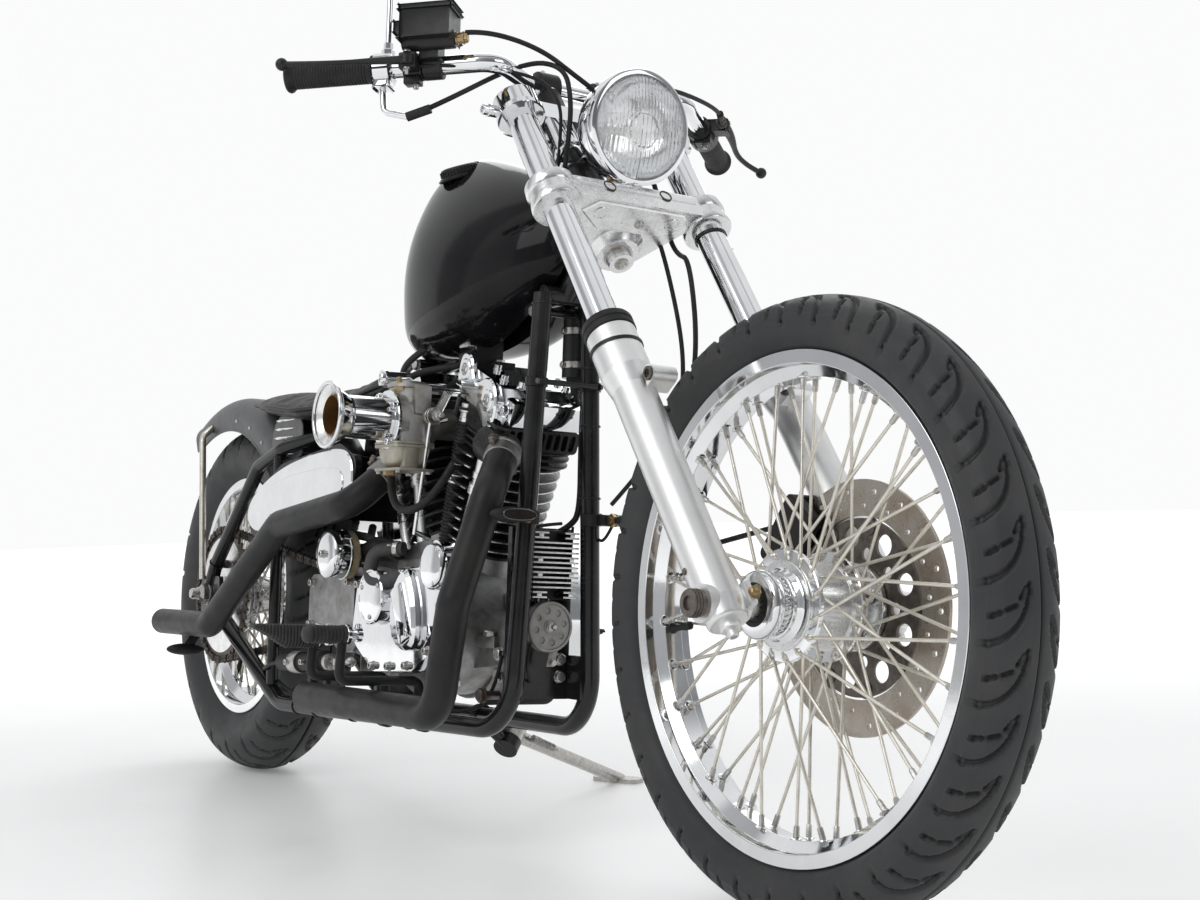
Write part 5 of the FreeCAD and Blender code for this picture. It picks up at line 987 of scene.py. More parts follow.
@dataclass
class Studio:
    """The white room: camera, lamps, floor and world.

    Attributes:
        camera_place: the camera's place in metres.
        yaw: the way it looks, in degrees from ahead.
        pitch: how far it looks up, in degrees.
        roll: its lean, in degrees.
        lens: its focal length in millimetres.
        floor_size: the floor's side in metres.
        lamps: each lamp's name, place, side and power.
    """

    camera_place: Point = (2.2595, -1.2930, 0.4637)
    yaw: float = 146.9
    pitch: float = 1.86
    roll: float = -1.75
    lens: float = 52.03
    floor_size: float = 60.0
    lamps: Sequence[Tuple[str, Point, float, float]] = (("key", (1.2, -3.4, 3.2), 2.6, 46.0),
                                                        ("fill", (4.2, 1.6, 2.6), 2.2, 22.0),
                                                        ("back", (-2.6, 2.4, 3.0), 2.4, 30.0))

    def build(self) -> None:
        """Builds the whole studio."""
        bpy.context.scene.view_settings.view_transform = "Standard"
        self.camera()
        self.world()
        self.floor()
        for name, place, size, power in self.lamps:
            self.lamp(name, place, size, power)

    def camera(self) -> None:
        """Places the camera at the photograph's viewing angle."""
        yaw, pitch, roll = (math.radians(a) for a in (self.yaw, self.pitch, self.roll))
        ahead = vec(math.cos(yaw) * math.cos(pitch), math.sin(yaw) * math.cos(pitch), math.sin(pitch))
        right = vec(math.sin(yaw), -math.cos(yaw), 0.0)
        up = right.cross(ahead)
        right_rolled = right * math.cos(roll) + up * math.sin(roll)
        up_rolled = up * math.cos(roll) - right * math.sin(roll)
        data = bpy.data.cameras.new("camera")
        data.lens = self.lens
        data.sensor_width = SENSOR_WIDTH
        data.clip_end = CLIP_END
        camera = bpy.data.objects.new("camera", data)
        turn = Matrix((right_rolled, up_rolled, -ahead)).transposed().to_4x4()
        camera.matrix_world = Matrix.Translation(Vector(self.camera_place)) @ turn
        bpy.context.scene.collection.objects.link(camera)
        bpy.context.scene.camera = camera

    def world(self) -> None:
        """Lights the room plainly and shows it white, with greyer walls in what metal reflects."""
        world = bpy.data.worlds.new("studio")
        bpy.context.scene.world = world
        world.use_nodes = True
        tree = Graph(world.node_tree)
        place = tree.place("Generated")
        split = tree.add("ShaderNodeSeparateXYZ")
        tree.link(place, split.inputs["Vector"])
        wall = tree.ramp(tree.span(split.outputs["X"], -1.0, 1.0, 0.0, 1.0),
                         ((0.0, (0.95, 0.955, 0.96)), (0.62, (0.86, 0.87, 0.88)), (0.86, (0.3, 0.31, 0.32)),
                          (1.0, (0.16, 0.165, 0.17))))
        roof = tree.ramp(tree.span(split.outputs["Z"], -1.0, 1.0, 0.0, 1.0),
                         ((0.46, (0.66, 0.665, 0.67)), (0.5, WHITE), (0.66, (0.82, 0.825, 0.83)), (0.9, WHITE)))
        rays = tree.add("ShaderNodeLightPath")
        seen = tree.add("ShaderNodeBackground")
        seen.inputs["Color"].default_value = (*BACKDROP, 1.0)
        mirrored = tree.add("ShaderNodeBackground")
        stripes = tree.add("ShaderNodeMath")
        stripes.operation = "ARCTAN2"
        tree.link(split.outputs["Y"], stripes.inputs[0])
        tree.link(split.outputs["X"], stripes.inputs[1])
        panels = tree.ramp(tree.span(stripes.outputs[0], -math.pi, math.pi, 0.0, 1.0),
                           ((0.0, WHITE), (0.085, WHITE), (0.1, (0.5, 0.5, 0.51)), (0.15, (0.55, 0.55, 0.56)),
                            (0.165, WHITE), (0.24, WHITE), (0.26, (0.6, 0.6, 0.61)), (0.31, (0.55, 0.55, 0.56)),
                            (0.33, (0.9, 0.9, 0.9)), (0.62, WHITE), (0.64, (0.5, 0.5, 0.51)), (0.7, WHITE),
                            (1.0, WHITE)))
        tree.link(tree.multiply(tree.multiply(wall, roof), panels), mirrored.inputs["Color"])
        light = tree.add("ShaderNodeBackground")
        light.inputs["Color"].default_value = (*WHITE, 1.0)
        light.inputs["Strength"].default_value = 0.62
        output = tree.add("ShaderNodeOutputWorld")
        shiny = self.choose(tree, rays.outputs["Is Glossy Ray"], light, mirrored)
        clear = self.choose(tree, rays.outputs["Is Transmission Ray"], shiny, seen)
        last = self.choose(tree, rays.outputs["Is Camera Ray"], clear, seen)
        tree.link(last.outputs[0], output.inputs["Surface"])

    def choose(self, tree: Graph, switch: Socket, off: Node, on: Node) -> Node:
        """Mixes two shaders by a ray's kind.

        Args:
            tree: the nodes.
            switch: the kind of ray.
            off: the shader for other rays.
            on: the shader for this kind.

        Returns:
            The mixing node.
        """
        mix = tree.add("ShaderNodeMixShader")
        tree.link(switch, mix.inputs[0])
        tree.link(off.outputs[0], mix.inputs[1])
        tree.link(on.outputs[0], mix.inputs[2])
        return mix

    def floor(self) -> None:
        """Lays the pale floor."""
        shape = Shape()
        half = self.floor_size / 2
        shape.bm.faces.new([shape.bm.verts.new(vec(a * half, b * half, 0.0)) for a,
                            b in ((-1, -1), (1, -1), (1, 1), (-1, 1))])
        mesh = shape.mesh("floor")
        floor = bpy.data.objects.new("floor", mesh)
        bpy.context.scene.collection.objects.link(floor)
        material, tree, shader = new_material("pale floor")
        place = tree.place()
        pale = tree.ramp(tree.noise(place, 0.9, 3.0, 0.5), ((0.3, (0.93, 0.935, 0.94)), (0.7, (0.95, 0.955, 0.96))))
        away = tree.add("ShaderNodeVectorMath")
        away.operation = "LENGTH"
        tree.link(place, away.inputs[0])
        far = tree.span(away.outputs["Value"], 1.5, 4.2, 0.0, 1.0)
        fade = tree.ramp(far, ((0.0, WHITE), (1.0, (0.0, 0.0, 0.0))))
        tree.link(tree.multiply(pale, fade), shader.inputs["Base Color"])
        tree.link(tree.span(far, 0.0, 1.0, 0.13, 1.0), shader.inputs["Emission Strength"])
        tree.link(tree.span(tree.noise(place, 5.0, 4.0, 0.6), 0.3, 0.7, 0.3, 0.42), shader.inputs["Roughness"])
        shader.inputs["Emission Color"].default_value = (*BACKDROP, 1.0)
        mesh.materials.append(material)
        floor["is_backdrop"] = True

    def lamp(self, name: str, place: Point, size: float, power: float) -> None:
        """Hangs one soft lamp that faces the machine.

        Args:
            name: the lamp's name.
            place: where it hangs.
            size: its side in metres.
            power: its power in watts.
        """
        data = bpy.data.lights.new(name, "AREA")
        data.shape = "SQUARE"
        data.size = size
        data.energy = power
        lamp = bpy.data.objects.new(name, data)
        lamp.location = place
        aim = Vector(LAMP_AIM) - Vector(place)
        lamp.rotation_euler = aim.to_track_quat("-Z", "Y").to_euler()
        bpy.context.scene.collection.objects.link(lamp)


@dataclass
class Tread:
    """Moulded tread: the height taken off a tyre at a place round and across it.

    Attributes:
        pitches: repeats round the tyre.
        reach: half the tread's width along its curve.
        depth: the grooves' depth.
        bold: the width of the long grooves.
    """

    pitches: int = 34
    reach: float = 58.0
    depth: float = 3.2
    bold: float = 4.4

    def strokes(self, pitch: float) -> List[Tuple[float, float, float, float, float]]:
        """Lists the straight strokes of one repeat: two ends and a width."""
        made = []
        steps = 8
        for index in range(steps):
            ends = []
            for share in (index / steps, (index + 1) / steps):
                turn = share * math.pi / 2
                ends.append((self.reach + 3.0 - (self.reach - 11.0) * math.sin(turn),
                             pitch * (0.05 + 0.95 * (1.0 - math.cos(turn)))))
            made.append((*ends[0], *ends[1], self.bold * (1.0 - 0.35 * index / steps)))
        reach = self.reach
        for start, end, level, fall, width in ((0.9, 0.74, 0.5, 0.05, 0.8), (0.62, 0.48, 0.6, 0.06, 0.75),
                                               (0.40, 0.30, 0.78, 0.16, 0.6), (0.30, 0.27, 0.66, 0.16, 0.5)):
            made.append((reach * start, pitch * level, reach * end, pitch * (level + fall), self.bold * width))
        return made

    def cut(self, around: float, across: float, pitch: float, strokes: Sequence) -> float:
        """Gives how deep the tread is cut at a place.

        Args:
            around: millimetres round the tyre within one repeat.
            across: millimetres from the middle along the curve.
            pitch: the repeat's length.
            strokes: the repeat's strokes.

        Returns:
            The depth in millimetres.
        """
        side = abs(across)
        if side > self.reach + 5.0:
            return 0.0
        deepest = max(0.0, 1.0 - side / 2.2)
        for shift in (-pitch, 0.0, pitch):
            for ax, ay, bx, by, width in strokes:
                y = around + shift
                if min(ay, by) - width > y or y > max(ay, by) + width:
                    continue
                dx, dy = bx - ax, by - ay
                share = ((side - ax) * dx + (y - ay) * dy) / (dx * dx + dy * dy)
                share = min(max(share, 0.0), 1.0)
                away = math.hypot(side - ax - dx * share, y - ay - dy * share)
                deepest = max(deepest, min(1.0, (width / 2 + 0.7 - away) / 1.3))
        return deepest * self.depth


@dataclass
class SpokedWheel:
    """One wheel's tyre, spoke ends, flanges, rim dimples and valve.

    Attributes:
        name: the wheel's name, which starts its pieces' names.
        centre: the hub's middle.
        radius: the tyre's outer radius.
        width: the tyre's width.
        lip: the rim lip's radius.
        bead: the rim's bead radius.
        rim_width: the rim's width.
        well: the drop centre's radius.
        spokes: the number of spokes.
        lace: the degrees that a spoke trails.
        flange: the hub flange's radius.
        flange_y: the flange's distance from the middle.
        tread: the tyre's tread.
        steps: the tyre's steps round.
        stagger: how far a spoke's foot is from the flange's middle.
        rim_offset: how far a side's spokes end from the rim's middle.
        rim_stagger: how far they end from each other there.
        holes: the radius of the flange's circle of holes.
        hole_lead: how much further along its run a spoke meets that circle than straight out.
    """

    name: str
    centre: Vector
    radius: float
    width: float
    lip: float
    bead: float
    rim_width: float
    well: float
    spokes: int
    lace: float
    flange: float
    flange_y: float
    tread: Tread
    steps: int
    stagger: float = 3.6
    rim_offset: float = 9.0
    rim_stagger: float = 3.2
    holes: float = 57.0
    hole_lead: float = 1.12

    def radial(self, turn: float) -> Vector:
        """Gives the direction out of the hub at an angle."""
        return wheeled(1.0, turn)

    def profile(self) -> List[Flat]:
        """Gives the tyre's section as pairs of side distance and radius."""
        half = self.width / 2
        shoulder = (half * 0.8, self.radius - (self.radius - self.lip) * 0.2)
        side = (half, self.lip + (self.radius - self.lip) * 0.46)
        foot = (self.rim_width / 2 - 4.3, self.lip + 0.3)
        flank = arc_through(shoulder, side, foot, 60)
        crown = arc_through((-shoulder[0], shoulder[1]), (0.0, self.radius), shoulder, 61)
        curve = crown[30:] + flank[1:]
        lengths = [0.0]
        for first, second in zip(curve, curve[1:]):
            lengths.append(lengths[-1] + math.dist(first, second))
        edge = self.tread.reach + 5.0
        stops = [edge * k / 32 for k in range(33)] + [edge + (lengths[-1] - edge) * k / 6 for k in range(1, 7)]
        half_curve = []
        for stop in stops:
            place = min(max(sum(1 for length in lengths if length < stop), 1), len(curve) - 1)
            share = (stop - lengths[place - 1]) / (lengths[place] - lengths[place - 1])
            (ay, ar), (by, br) = curve[place - 1], curve[place]
            half_curve.append((ay + (by - ay) * share, ar + (br - ar) * share))
        inner = [(foot[0], self.bead + 0.3), (-foot[0], self.bead + 0.3)]
        mirrored = [(-y, r) for y, r in reversed(half_curve)]
        return mirrored[:-1] + half_curve + inner

    def tyre(self, shop: Workshop) -> None:
        """Moulds the tyre with its tread and sidewall rings."""
        profile = self.profile()
        count = len(profile)
        lengths = [0.0]
        for (ay, ar), (by, br) in zip(profile, profile[1:]):
            lengths.append(lengths[-1] + math.hypot(by - ay, br - ar))
        crown = min(range(count), key=lambda k: abs(profile[k][0]) - profile[k][1])
        normals = []
        for k in range(count):
            (ay, ar), (by, br) = profile[k - 1], profile[(k + 1) % count]
            size = math.hypot(by - ay, br - ar)
            normals.append((-(br - ar) / size, (by - ay) / size))
        pitch = math.tau * self.radius / self.tread.pitches
        strokes = self.tread.strokes(pitch)
        per_pitch = self.steps // self.tread.pitches
        steps = per_pitch * self.tread.pitches
        cuts = []
        for i in range(per_pitch):
            row = []
            for k in range(count):
                across = lengths[k] - lengths[crown]
                around = pitch * i / per_pitch
                if across < 0.0:
                    around = (around + pitch / 2) % pitch
                depth = self.tread.cut(around, across, pitch, strokes)
                row.append(depth + self.sidewall(profile[k][1]))
            cuts.append(row)
        places = []
        for i in range(steps):
            out = self.radial(math.tau * i / steps)
            row = cuts[i % per_pitch]
            for k, (y, r) in enumerate(profile):
                normal_y, normal_r = normals[k]
                places.append(self.centre + out * (r - normal_r * row[k]) + Y_AXIS * (y - normal_y * row[k]))
        faces = []
        for i in range(steps):
            after = (i + 1) % steps
            for k in range(count):
                beyond = (k + 1) % count
                faces.append((i * count + k, i * count + beyond, after * count + beyond, after * count + k))
        mesh = bpy.data.meshes.new(self.name + "_tyre_tread")
        mesh.from_pydata(places, [], faces)
        shop.place(self.name + "_tyre_tread", mesh, TYRE_RUBBER, self.name + "_wheel", replaces=[self.name + "_tyre"],
                   angle=math.radians(60.0))

    def sidewall(self, radius: float) -> float:
        """Gives how far the sidewall is cut back between its raised rings."""
        height = (radius - self.lip) / (self.radius - self.lip)
        if not 0.05 < height < 0.62:
            return 0.0
        if 0.1 < height < 0.16 or 0.54 < height < 0.6:
            return -0.7
        return 0.0

    def spoke_ends(self) -> List[Tuple[Vector, Vector, int, int]]:
        """Lists each spoke's flange end, rim end, side and lead."""
        ends = []
        family = self.spokes // 4
        inner = self.well - 3.5
        for side in (-1, 1):
            for lead in (-1, 1):
                for index in range(family):
                    share = index + (0.5 if side > 0 else 0.0) + 0.25 * lead
                    start_turn = math.tau * share / family
                    end_turn = start_turn + math.radians(self.lace) * lead
                    hub_y = side * (self.flange_y + lead * self.stagger)
                    rim_y = side * (self.rim_offset + lead * self.rim_stagger)
                    start = self.centre + self.radial(start_turn) * self.flange + Y_AXIS * hub_y
                    end = self.centre + self.radial(end_turn) * inner + Y_AXIS * rim_y
                    ends.append((start, end, side, lead))
        return ends

    def hole(self, start: Vector, end: Vector, y: float) -> Vector:
        """Gives the middle of a spoke's hole in its flange.

        Args:
            start: the spoke's end at the flange.
            end: its end at the rim.
            y: the hole's distance from the hub's middle.

        Returns:
            The place in upright millimetres.
        """
        share = (self.holes - self.flange) / ((end - self.centre).length - self.flange) * self.hole_lead
        out = start.lerp(end, share) - self.centre
        out.y = 0.0
        return self.centre + out.normalized() * self.holes + Y_AXIS * y

    def lacing(self, shop: Workshop) -> None:
        """Adds the nipples at the rim and the elbows and heads at the flanges."""
        nipples = Shape()
        elbows = Shape()
        for start, end, side, lead in self.spoke_ends():
            run = (end - start).normalized()
            foot = end + run * 2.0
            nipples.lathe([(0.0, 4.6), (2.4, 4.4), (3.4, 3.5), (15.0, 3.3), (17.0, 2.5)], foot, -run, 8)
            hole = self.hole(start, end, side * (self.flange_y + lead * 3.2))
            facing = Y_AXIS * (side * lead)
            elbows.tube([hole - facing * 2.0, hole + facing * 2.4, hole + run * 7.0 + facing * 1.6], 2.0, 2.0, 6)
            elbows.lathe([(0.0, 4.2), (1.0, 4.1), (2.1, 3.0), (2.7, 1.2)], hole - facing * 6.4, -facing, 12)
        body = self.name + "_wheel"
        shop.make(self.name + "_nipples", nipples, STEEL, body)
        shop.make(self.name + "_spoke_elbows", elbows, SPOKE_STEEL, body)

    def flanges(self, shop: Workshop) -> None:
        """Turns the two polished flanges that the spokes hook into, with dark discs for their drilled holes: bare steel
        in the bores and painted shade in the holes.
        """
        shape = Shape()
        holes = Shape()
        for side in (-1, 1):
            middle = self.centre + Y_AXIS * (side * self.flange_y)
            rim = self.holes + 6.0
            shape.lathe([(-3.2, self.flange - 14.0), (-3.2, rim - 1.4), (-2.0, rim), (2.0, rim), (3.2, rim - 1.4),
                         (3.6, self.holes - 6.0), (5.0, self.holes - 13.0), (8.0, self.holes - 18.0),
                         (14.0, self.holes - 21.5), (15.0, self.holes - 24.0)], middle, Y_AXIS * side, 120)
        for start, end, side, lead in self.spoke_ends():
            seat = self.hole(start, end, side * (self.flange_y + lead * 3.3))
            # Partly painted shade: a dark steel disc on the chrome face stands in for each hole, its bare bore and the
            # shade inside it.
            holes.lathe([(0.0, 3.9), (0.5, 3.8), (0.6, 2.0)], seat, Y_AXIS * (side * lead), 14)
        body = self.name + "_wheel"
        shop.make(self.name + "_flanges", shape, CHROME, body)
        shop.make(self.name + "_flange_holes", holes, DARK_STEEL, body)

    def valve(self, shop: Workshop, turn: float) -> None:
        """Adds the valve stem and its cap."""
        out = self.radial(turn)
        foot = self.centre + out * (self.well - 2.0)
        shape = Shape()
        shape.lathe([(0.0, 7.0), (3.0, 6.4), (8.0, 4.2), (26.0, 4.0), (27.0, 5.0), (37.0, 5.0), (38.5, 3.4)],
                    foot, -out, 16)
        shop.make(self.name + "_valve", shape, BLACK_RUBBER, self.name + "_wheel")

    def rim_details(self, shop: Workshop) -> None:
        """Adds the dimples that the nipples sit in."""
        shape = Shape()
        for _, end, _, _ in self.spoke_ends():
            out = end - self.centre
            out.y = 0.0
            out.normalize()
            shape.lathe([(0.0, 7.4), (-1.2, 7.0), (-1.8, 5.2)], end + out * 0.6, out, 14)
        shop.make(self.name + "_rim_dimples", shape, CHROME, self.name + "_wheel")


@dataclass
class FrontWheel(SpokedWheel):
    """The tall front wheel with its drilled floating disc.

    Attributes:
        disc_radius: the disc's outer radius.
        disc_y: the disc's distance to the left of the middle.
    """

    disc_radius: float = 146.0
    disc_y: float = 77.8

    def build(self, shop: Workshop) -> None:
        """Builds the wheel's pieces."""
        self.tyre(shop)
        self.lacing(shop)
        self.flanges(shop)
        self.rim_details(shop)
        self.valve(shop, math.radians(188.0))
        self.disc(shop)
        self.hub_details(shop)

    def disc(self, shop: Workshop) -> None:
        """Cuts the drilled ring, its dark carrier and the rivets between them."""
        centre = self.centre + Y_AXIS * self.disc_y
        ring = [circle(0, 0, self.disc_radius, 96), round_hole(0, 0, 104.0, 96)]
        for index in range(18):
            for radius, turn_share, hole in ((133.0, 0.0, 3.6), (116.0, 0.36, 3.2)):
                turn = math.tau * (index + turn_share) / 18
                ring.append(round_hole(radius * math.cos(turn), radius * math.sin(turn), hole, 12))
        plate = Shape().plate(ring, 4.8, centre, X_AXIS, Z_AXIS, 0.3)
        shop.make("front_disc_ring", plate, DISC_STEEL, "front_wheel", replaces=["front_disc"])
        carrier = [circle(0, 0, 101.5, 96), round_hole(0, 0, 24.0, 40)]
        for index in range(9):
            turn = math.tau * (index + 0.5) / 9
            carrier.append(round_hole(81.0 * math.cos(turn), 81.0 * math.sin(turn), 12.5, 24))
            turn = math.tau * index / 9
            carrier.append(round_hole(62.0 * math.cos(turn), 62.0 * math.sin(turn), 7.0, 16))
        plate = Shape().plate(carrier, 4.0, centre, X_AXIS, Z_AXIS, 0.4)
        shop.make("front_disc_carrier", plate, DARK_STEEL, "front_wheel", replaces=["front_disc"])
        rivets = Shape()
        for index in range(9):
            out = self.radial(math.tau * index / 9)
            for way in (-1, 1):
                seat = centre + out * 93.0 + Y_AXIS * (way * 2.0)
                rivets.lathe([(-0.5, 10.5), (1.4, 10.3), (1.6, 7.0), (0.8, 6.6), (0.8, 4.0), (2.0, 3.6)], seat,
                             Y_AXIS * way, 18)
            rivets.bolt(centre + out * 40.0 - Y_AXIS * 2.2, -Y_AXIS, 8.0, Head.ALLEN)
        shop.make("front_disc_rivets", rivets, DARK_STEEL, "front_wheel", replaces=["front_disc"])

    def hub_details(self, shop: Workshop) -> None:
        """Adds the turned cup, knurl, seal and the bolts round the right-hand face."""
        right = self.centre - Y_AXIS * 46.0
        cup = Shape()
        cup.lathe([(0.0, 33.0), (11.0, 33.0), (12.5, 36.6), (15.0, 38.2), (21.0, 38.2), (24.5, 37.2), (27.0, 34.6),
                   (27.8, 30.0), (28.0, 24.4), (25.5, 23.6), (24.5, 12.0)], right, -Y_AXIS, 72)
        cup.lathe([(-2.0, 37.4), (1.0, 37.0), (2.0, 35.6), (2.2, 32.0)], right, -Y_AXIS, 72)
        shop.make("front_hub_cup", cup, CHROME, "front_wheel")
        knurl = Shape()
        for index in range(32):
            out = self.radial(math.tau * index / 32)
            along = out.cross(Y_AXIS)
            for way in (-1, 1):
                knurl.block(right - Y_AXIS * 7.0 + out * 33.6 + along * (way * 1.7), out,
                            (Y_AXIS + along * (way * 0.45)).normalized(),
                            (along - Y_AXIS * (way * 0.45)).normalized(), (2.2, 9.0, 1.5), 0.3)
        shop.make("front_hub_knurl", knurl, POLISHED_ALLOY, "front_wheel")
        seal = Shape()
        seal.lathe([(0.0, 24.2), (1.6, 23.8), (2.0, 20.0), (0.6, 18.5), (0.9, 13.4)], right - Y_AXIS * 25.8, -Y_AXIS,
                   40)
        shop.make("front_hub_seal", seal, BLACK_RUBBER, "front_wheel")
        bolts = Shape()
        for index in range(5):
            out = self.radial(math.tau * (index + 0.3) / 5)
            bolts.bolt(self.centre + out * 38.0 + Y_AXIS * 60.0, -Y_AXIS, 9.0, Head.NUT)
        shop.make("front_hub_bolts", bolts, CHROME, "front_wheel")


@dataclass
class RearWheel(SpokedWheel):
    """The fat rear wheel."""

    def build(self, shop: Workshop) -> None:
        """Builds the wheel's pieces."""
        self.tyre(shop)
        self.lacing(shop)
        self.flanges(shop)
        self.rim_details(shop)
        self.valve(shop, math.radians(230.0))


@dataclass
class Fork:
    """Seals, clamps and fasteners of the raked fork.

    Attributes:
        low: the lower clamp's distance up the legs.
        thick: the lower clamp's thickness.
        high: the top clamp's distance up the legs.
        seal_foot: where the dust seals start.
    """

    low: float = 614.0
    thick: float = 36.0
    high: float = 784.0
    seal_foot: float = 388.0

    def build(self, shop: Workshop) -> None:
        """Builds the fork's pieces."""
        self.seals(shop)
        self.axle_ends(shop)
        self.slider_trim(shop)
        self.lower_trim(shop)
        self.top_trim(shop)
        self.ties(shop)

    def seals(self, shop: Workshop) -> None:
        """Makes the dust seals with their grooves and lips."""
        shape = Shape()
        profile = [(0.3, 31.6), (1.2, 32.4), (8.0, 32.5), (8.6, 31.5), (10.0, 31.5), (10.6, 32.5), (17.0, 32.4),
                   (19.4, 31.2), (20.0, 28.0), (19.2, 24.0), (19.9, 20.6), (0.3, 20.4)]
        for side in (-1, 1):
            shape.lathe(profile, fork_point(0, side * HALF_FORK, self.seal_foot), FORK_UP, 56)
        shop.make("fork_dust_seals", shape, BLACK_RUBBER, "fork", replaces=["fork_seals"])

    def axle_ends(self, shop: Workshop) -> None:
        """Adds the hollow axle end, the spacer, the pinch nut and the pinch lugs with the legs' foot screws."""
        reach = HALF_FORK + 28.0
        dark = Shape()
        right = fork_point(0, -reach, 0)
        dark.lathe([(-4.0, 15.0), (15.0, 15.0), (16.0, 14.2), (16.0, 8.0), (8.0, 7.6)], right, -Y_AXIS, 32)
        for index in range(3):
            dark.lathe([(4.0 + index * 3.6, 15.6), (5.0 + index * 3.6, 15.9), (6.0 + index * 3.6, 15.6)],
                       right, -Y_AXIS, 32)
        shop.make("front_axle_end", dark, DARK_STEEL, "fork")
        spacer = Shape()
        spacer.lathe([(0.0, 12.6), (19.0, 12.6), (20.0, 12.0)], fork_point(0, -72.5, 0), -Y_AXIS, 36)
        shop.make("front_axle_spacer", spacer, DARK_STEEL, "fork")
        brass = Shape()
        foot = fork_point(27.0, -HALF_FORK + 26.0, -4.0)
        brass.bolt(foot, (FORK_OUT - Y_AXIS * 0.2), 7.5, Head.NUT)
        shop.make("front_pinch_nut", brass, BRASS, "fork")
        lugs = Shape()
        for side in (-1, 1):
            middle = fork_point(14.0, side * (HALF_FORK - 23.0), -2.0)
            lugs.block(middle, FORK_OUT, Y_AXIS, FORK_UP, (26.0, 10.0, 30.0), 3.0)
            lugs.rod(fork_point(0, side * HALF_FORK, -24.0), fork_point(0, side * HALF_FORK, -34.0), 12.0, 24, 1.5)
            lugs.bolt(fork_point(0, side * HALF_FORK, -34.0), -FORK_UP, 8.0, Head.ALLEN)
        shop.make("front_pinch_lugs", lugs, SLIDER_ALLOY, "fork")

    def slider_trim(self, shop: Workshop) -> None:
        """Adds the drain screws and the sleeves in the fender lugs."""
        shape = Shape()
        for side in (-1, 1):
            shape.bolt(fork_point(-6.0, side * (HALF_FORK + 25.2), 46.0), Y_AXIS * side, 5.0, Head.DOME, False)
            lug = fork_point(35.0, side * HALF_FORK, 300.0)
            for offset in (-1.0, 35.0):
                shape.lathe([(0.0, 8.6), (1.2, 8.4), (1.2, 5.2), (0.0, 5.2)], lug - Y_AXIS * (side * offset),
                            Y_AXIS * (side if offset < 0 else -side), 20)
        shop.make("slider_screws", shape, DARK_STEEL, "fork")

    def lower_trim(self, shop: Workshop) -> None:
        """Adds the lower clamp's cast step, cones and rings, its stem nut and its rusty plugs."""
        cast = Shape()
        step = [(22.0, -66.0), (22.0, 66.0), (2.0, 84.0), (-20.0, 48.0), (-24.0, -48.0), (2.0, -84.0)]
        cast.plate([step], 4.5, fork_point(0, 0, self.low - 1.6), FORK_OUT, Y_AXIS, 1.6)
        stem = fork_point(-STEERING_OFFSET, 0, self.low)
        cast.lathe([(-2.0, 40.0), (2.0, 37.0), (10.0, 29.5), (12.4, 28.6), (12.8, 20.0)], stem, -FORK_UP, 48)
        for side in (-1, 1):
            cast.lathe([(0.0, 11.0), (1.2, 10.4), (1.2, 8.4), (0.4, 7.8)],
                       fork_point(4.0, side * 56.0, self.low - 3.6), -FORK_UP, 28)
            leg = fork_point(0, side * HALF_FORK, self.low)
            cast.lathe([(-4.0, 30.0), (-5.0, 33.0), (4.0, 34.0), (7.0, 32.6), (8.0, 27.0)],
                       leg + FORK_UP * 4.0, -FORK_UP, 48)
            top = fork_point(0, side * HALF_FORK, self.low + self.thick)
            cast.lathe([(-14.0, 31.2), (-10.0, 33.6), (2.0, 33.0), (7.0, 28.0), (8.0, 22.0)], top, FORK_UP, 48)
        cast.block(fork_point(23.0, 0, self.low + self.thick - 9.0), FORK_OUT, Y_AXIS, FORK_UP, (8.0, 186.0, 16.0), 2.6)
        shop.make("lower_clamp_castings", cast, POLISHED_ALLOY, "fork")
        nuts = Shape()
        nuts.lathe([(12.0, 20.0), (14.0, 20.0), (14.5, 17.5), (22.0, 17.5), (24.0, 15.0), (24.5, 10.0), (30.0, 9.5),
                    (31.0, 6.0), (29.0, 4.0)], stem, -FORK_UP, 36)
        nuts.bolt(fork_point(-4.0, 8.0, self.low - 3.8), -FORK_UP, 7.0, Head.DOME)
        shop.make("lower_stem_nut", nuts, STEEL, "fork")
        rust = Shape()
        for y in (-44.0, 44.0):
            rust.lathe([(-1.0, 9.4), (0.5, 9.2), (0.8, 7.6), (-1.5, 7.2)], fork_point(27.0, y, self.low + 26.0),
                       FORK_OUT, 28)
        shop.make("lower_clamp_plugs", rust, CHAIN_STEEL, "fork")

    def top_trim(self, shop: Workshop) -> None:
        """Adds the stem's cap, the clamp caps on the legs, the pinch bolts and the neck's cup."""
        shape = Shape()
        top = self.high + 30.0
        shape.lathe([(0.0, 19.0), (2.0, 19.0), (3.0, 16.0), (14.0, 16.0), (17.0, 12.0), (18.0, 6.0)],
                    fork_point(-STEERING_OFFSET, 0, top), FORK_UP, 6)
        for side in (-1, 1):
            leg = fork_point(0, side * HALF_FORK, top)
            shape.lathe([(-1.0, 31.2), (1.5, 30.0), (2.2, 22.0), (6.0, 21.0), (7.5, 17.0), (8.0, 6.0)], leg, FORK_UP,
                        40)
            shape.lathe([(-2.0, 28.0), (-3.0, 32.6), (4.0, 33.0), (6.0, 31.0)],
                        fork_point(0, side * HALF_FORK, self.high), FORK_UP, 48)
            seat = fork_point(-10.0, side * (HALF_FORK + 40.0), self.high + 15.0)
            shape.bolt(seat, Y_AXIS * side, 9.0, Head.ALLEN)
            bush = fork_point(-STEERING_OFFSET / 4, side * 45.0, self.high)
            shape.lathe([(-30.0, 14.0), (-31.5, 20.0), (-36.0, 20.0), (-38.0, 15.0), (-38.5, 8.0)], bush, FORK_UP, 36)
        shop.make("top_clamp_caps", shape, CHROME, "fork")
        cups = Shape()
        axis = fork_point(-STEERING_OFFSET, 0, 0)
        cups.lathe([(0.0, 26.0), (0.5, 30.6), (3.0, 31.4), (13.0, 31.4), (15.0, 29.8), (15.5, 26.0)],
                   axis + FORK_UP * (self.high - 24.0), FORK_UP, 44)
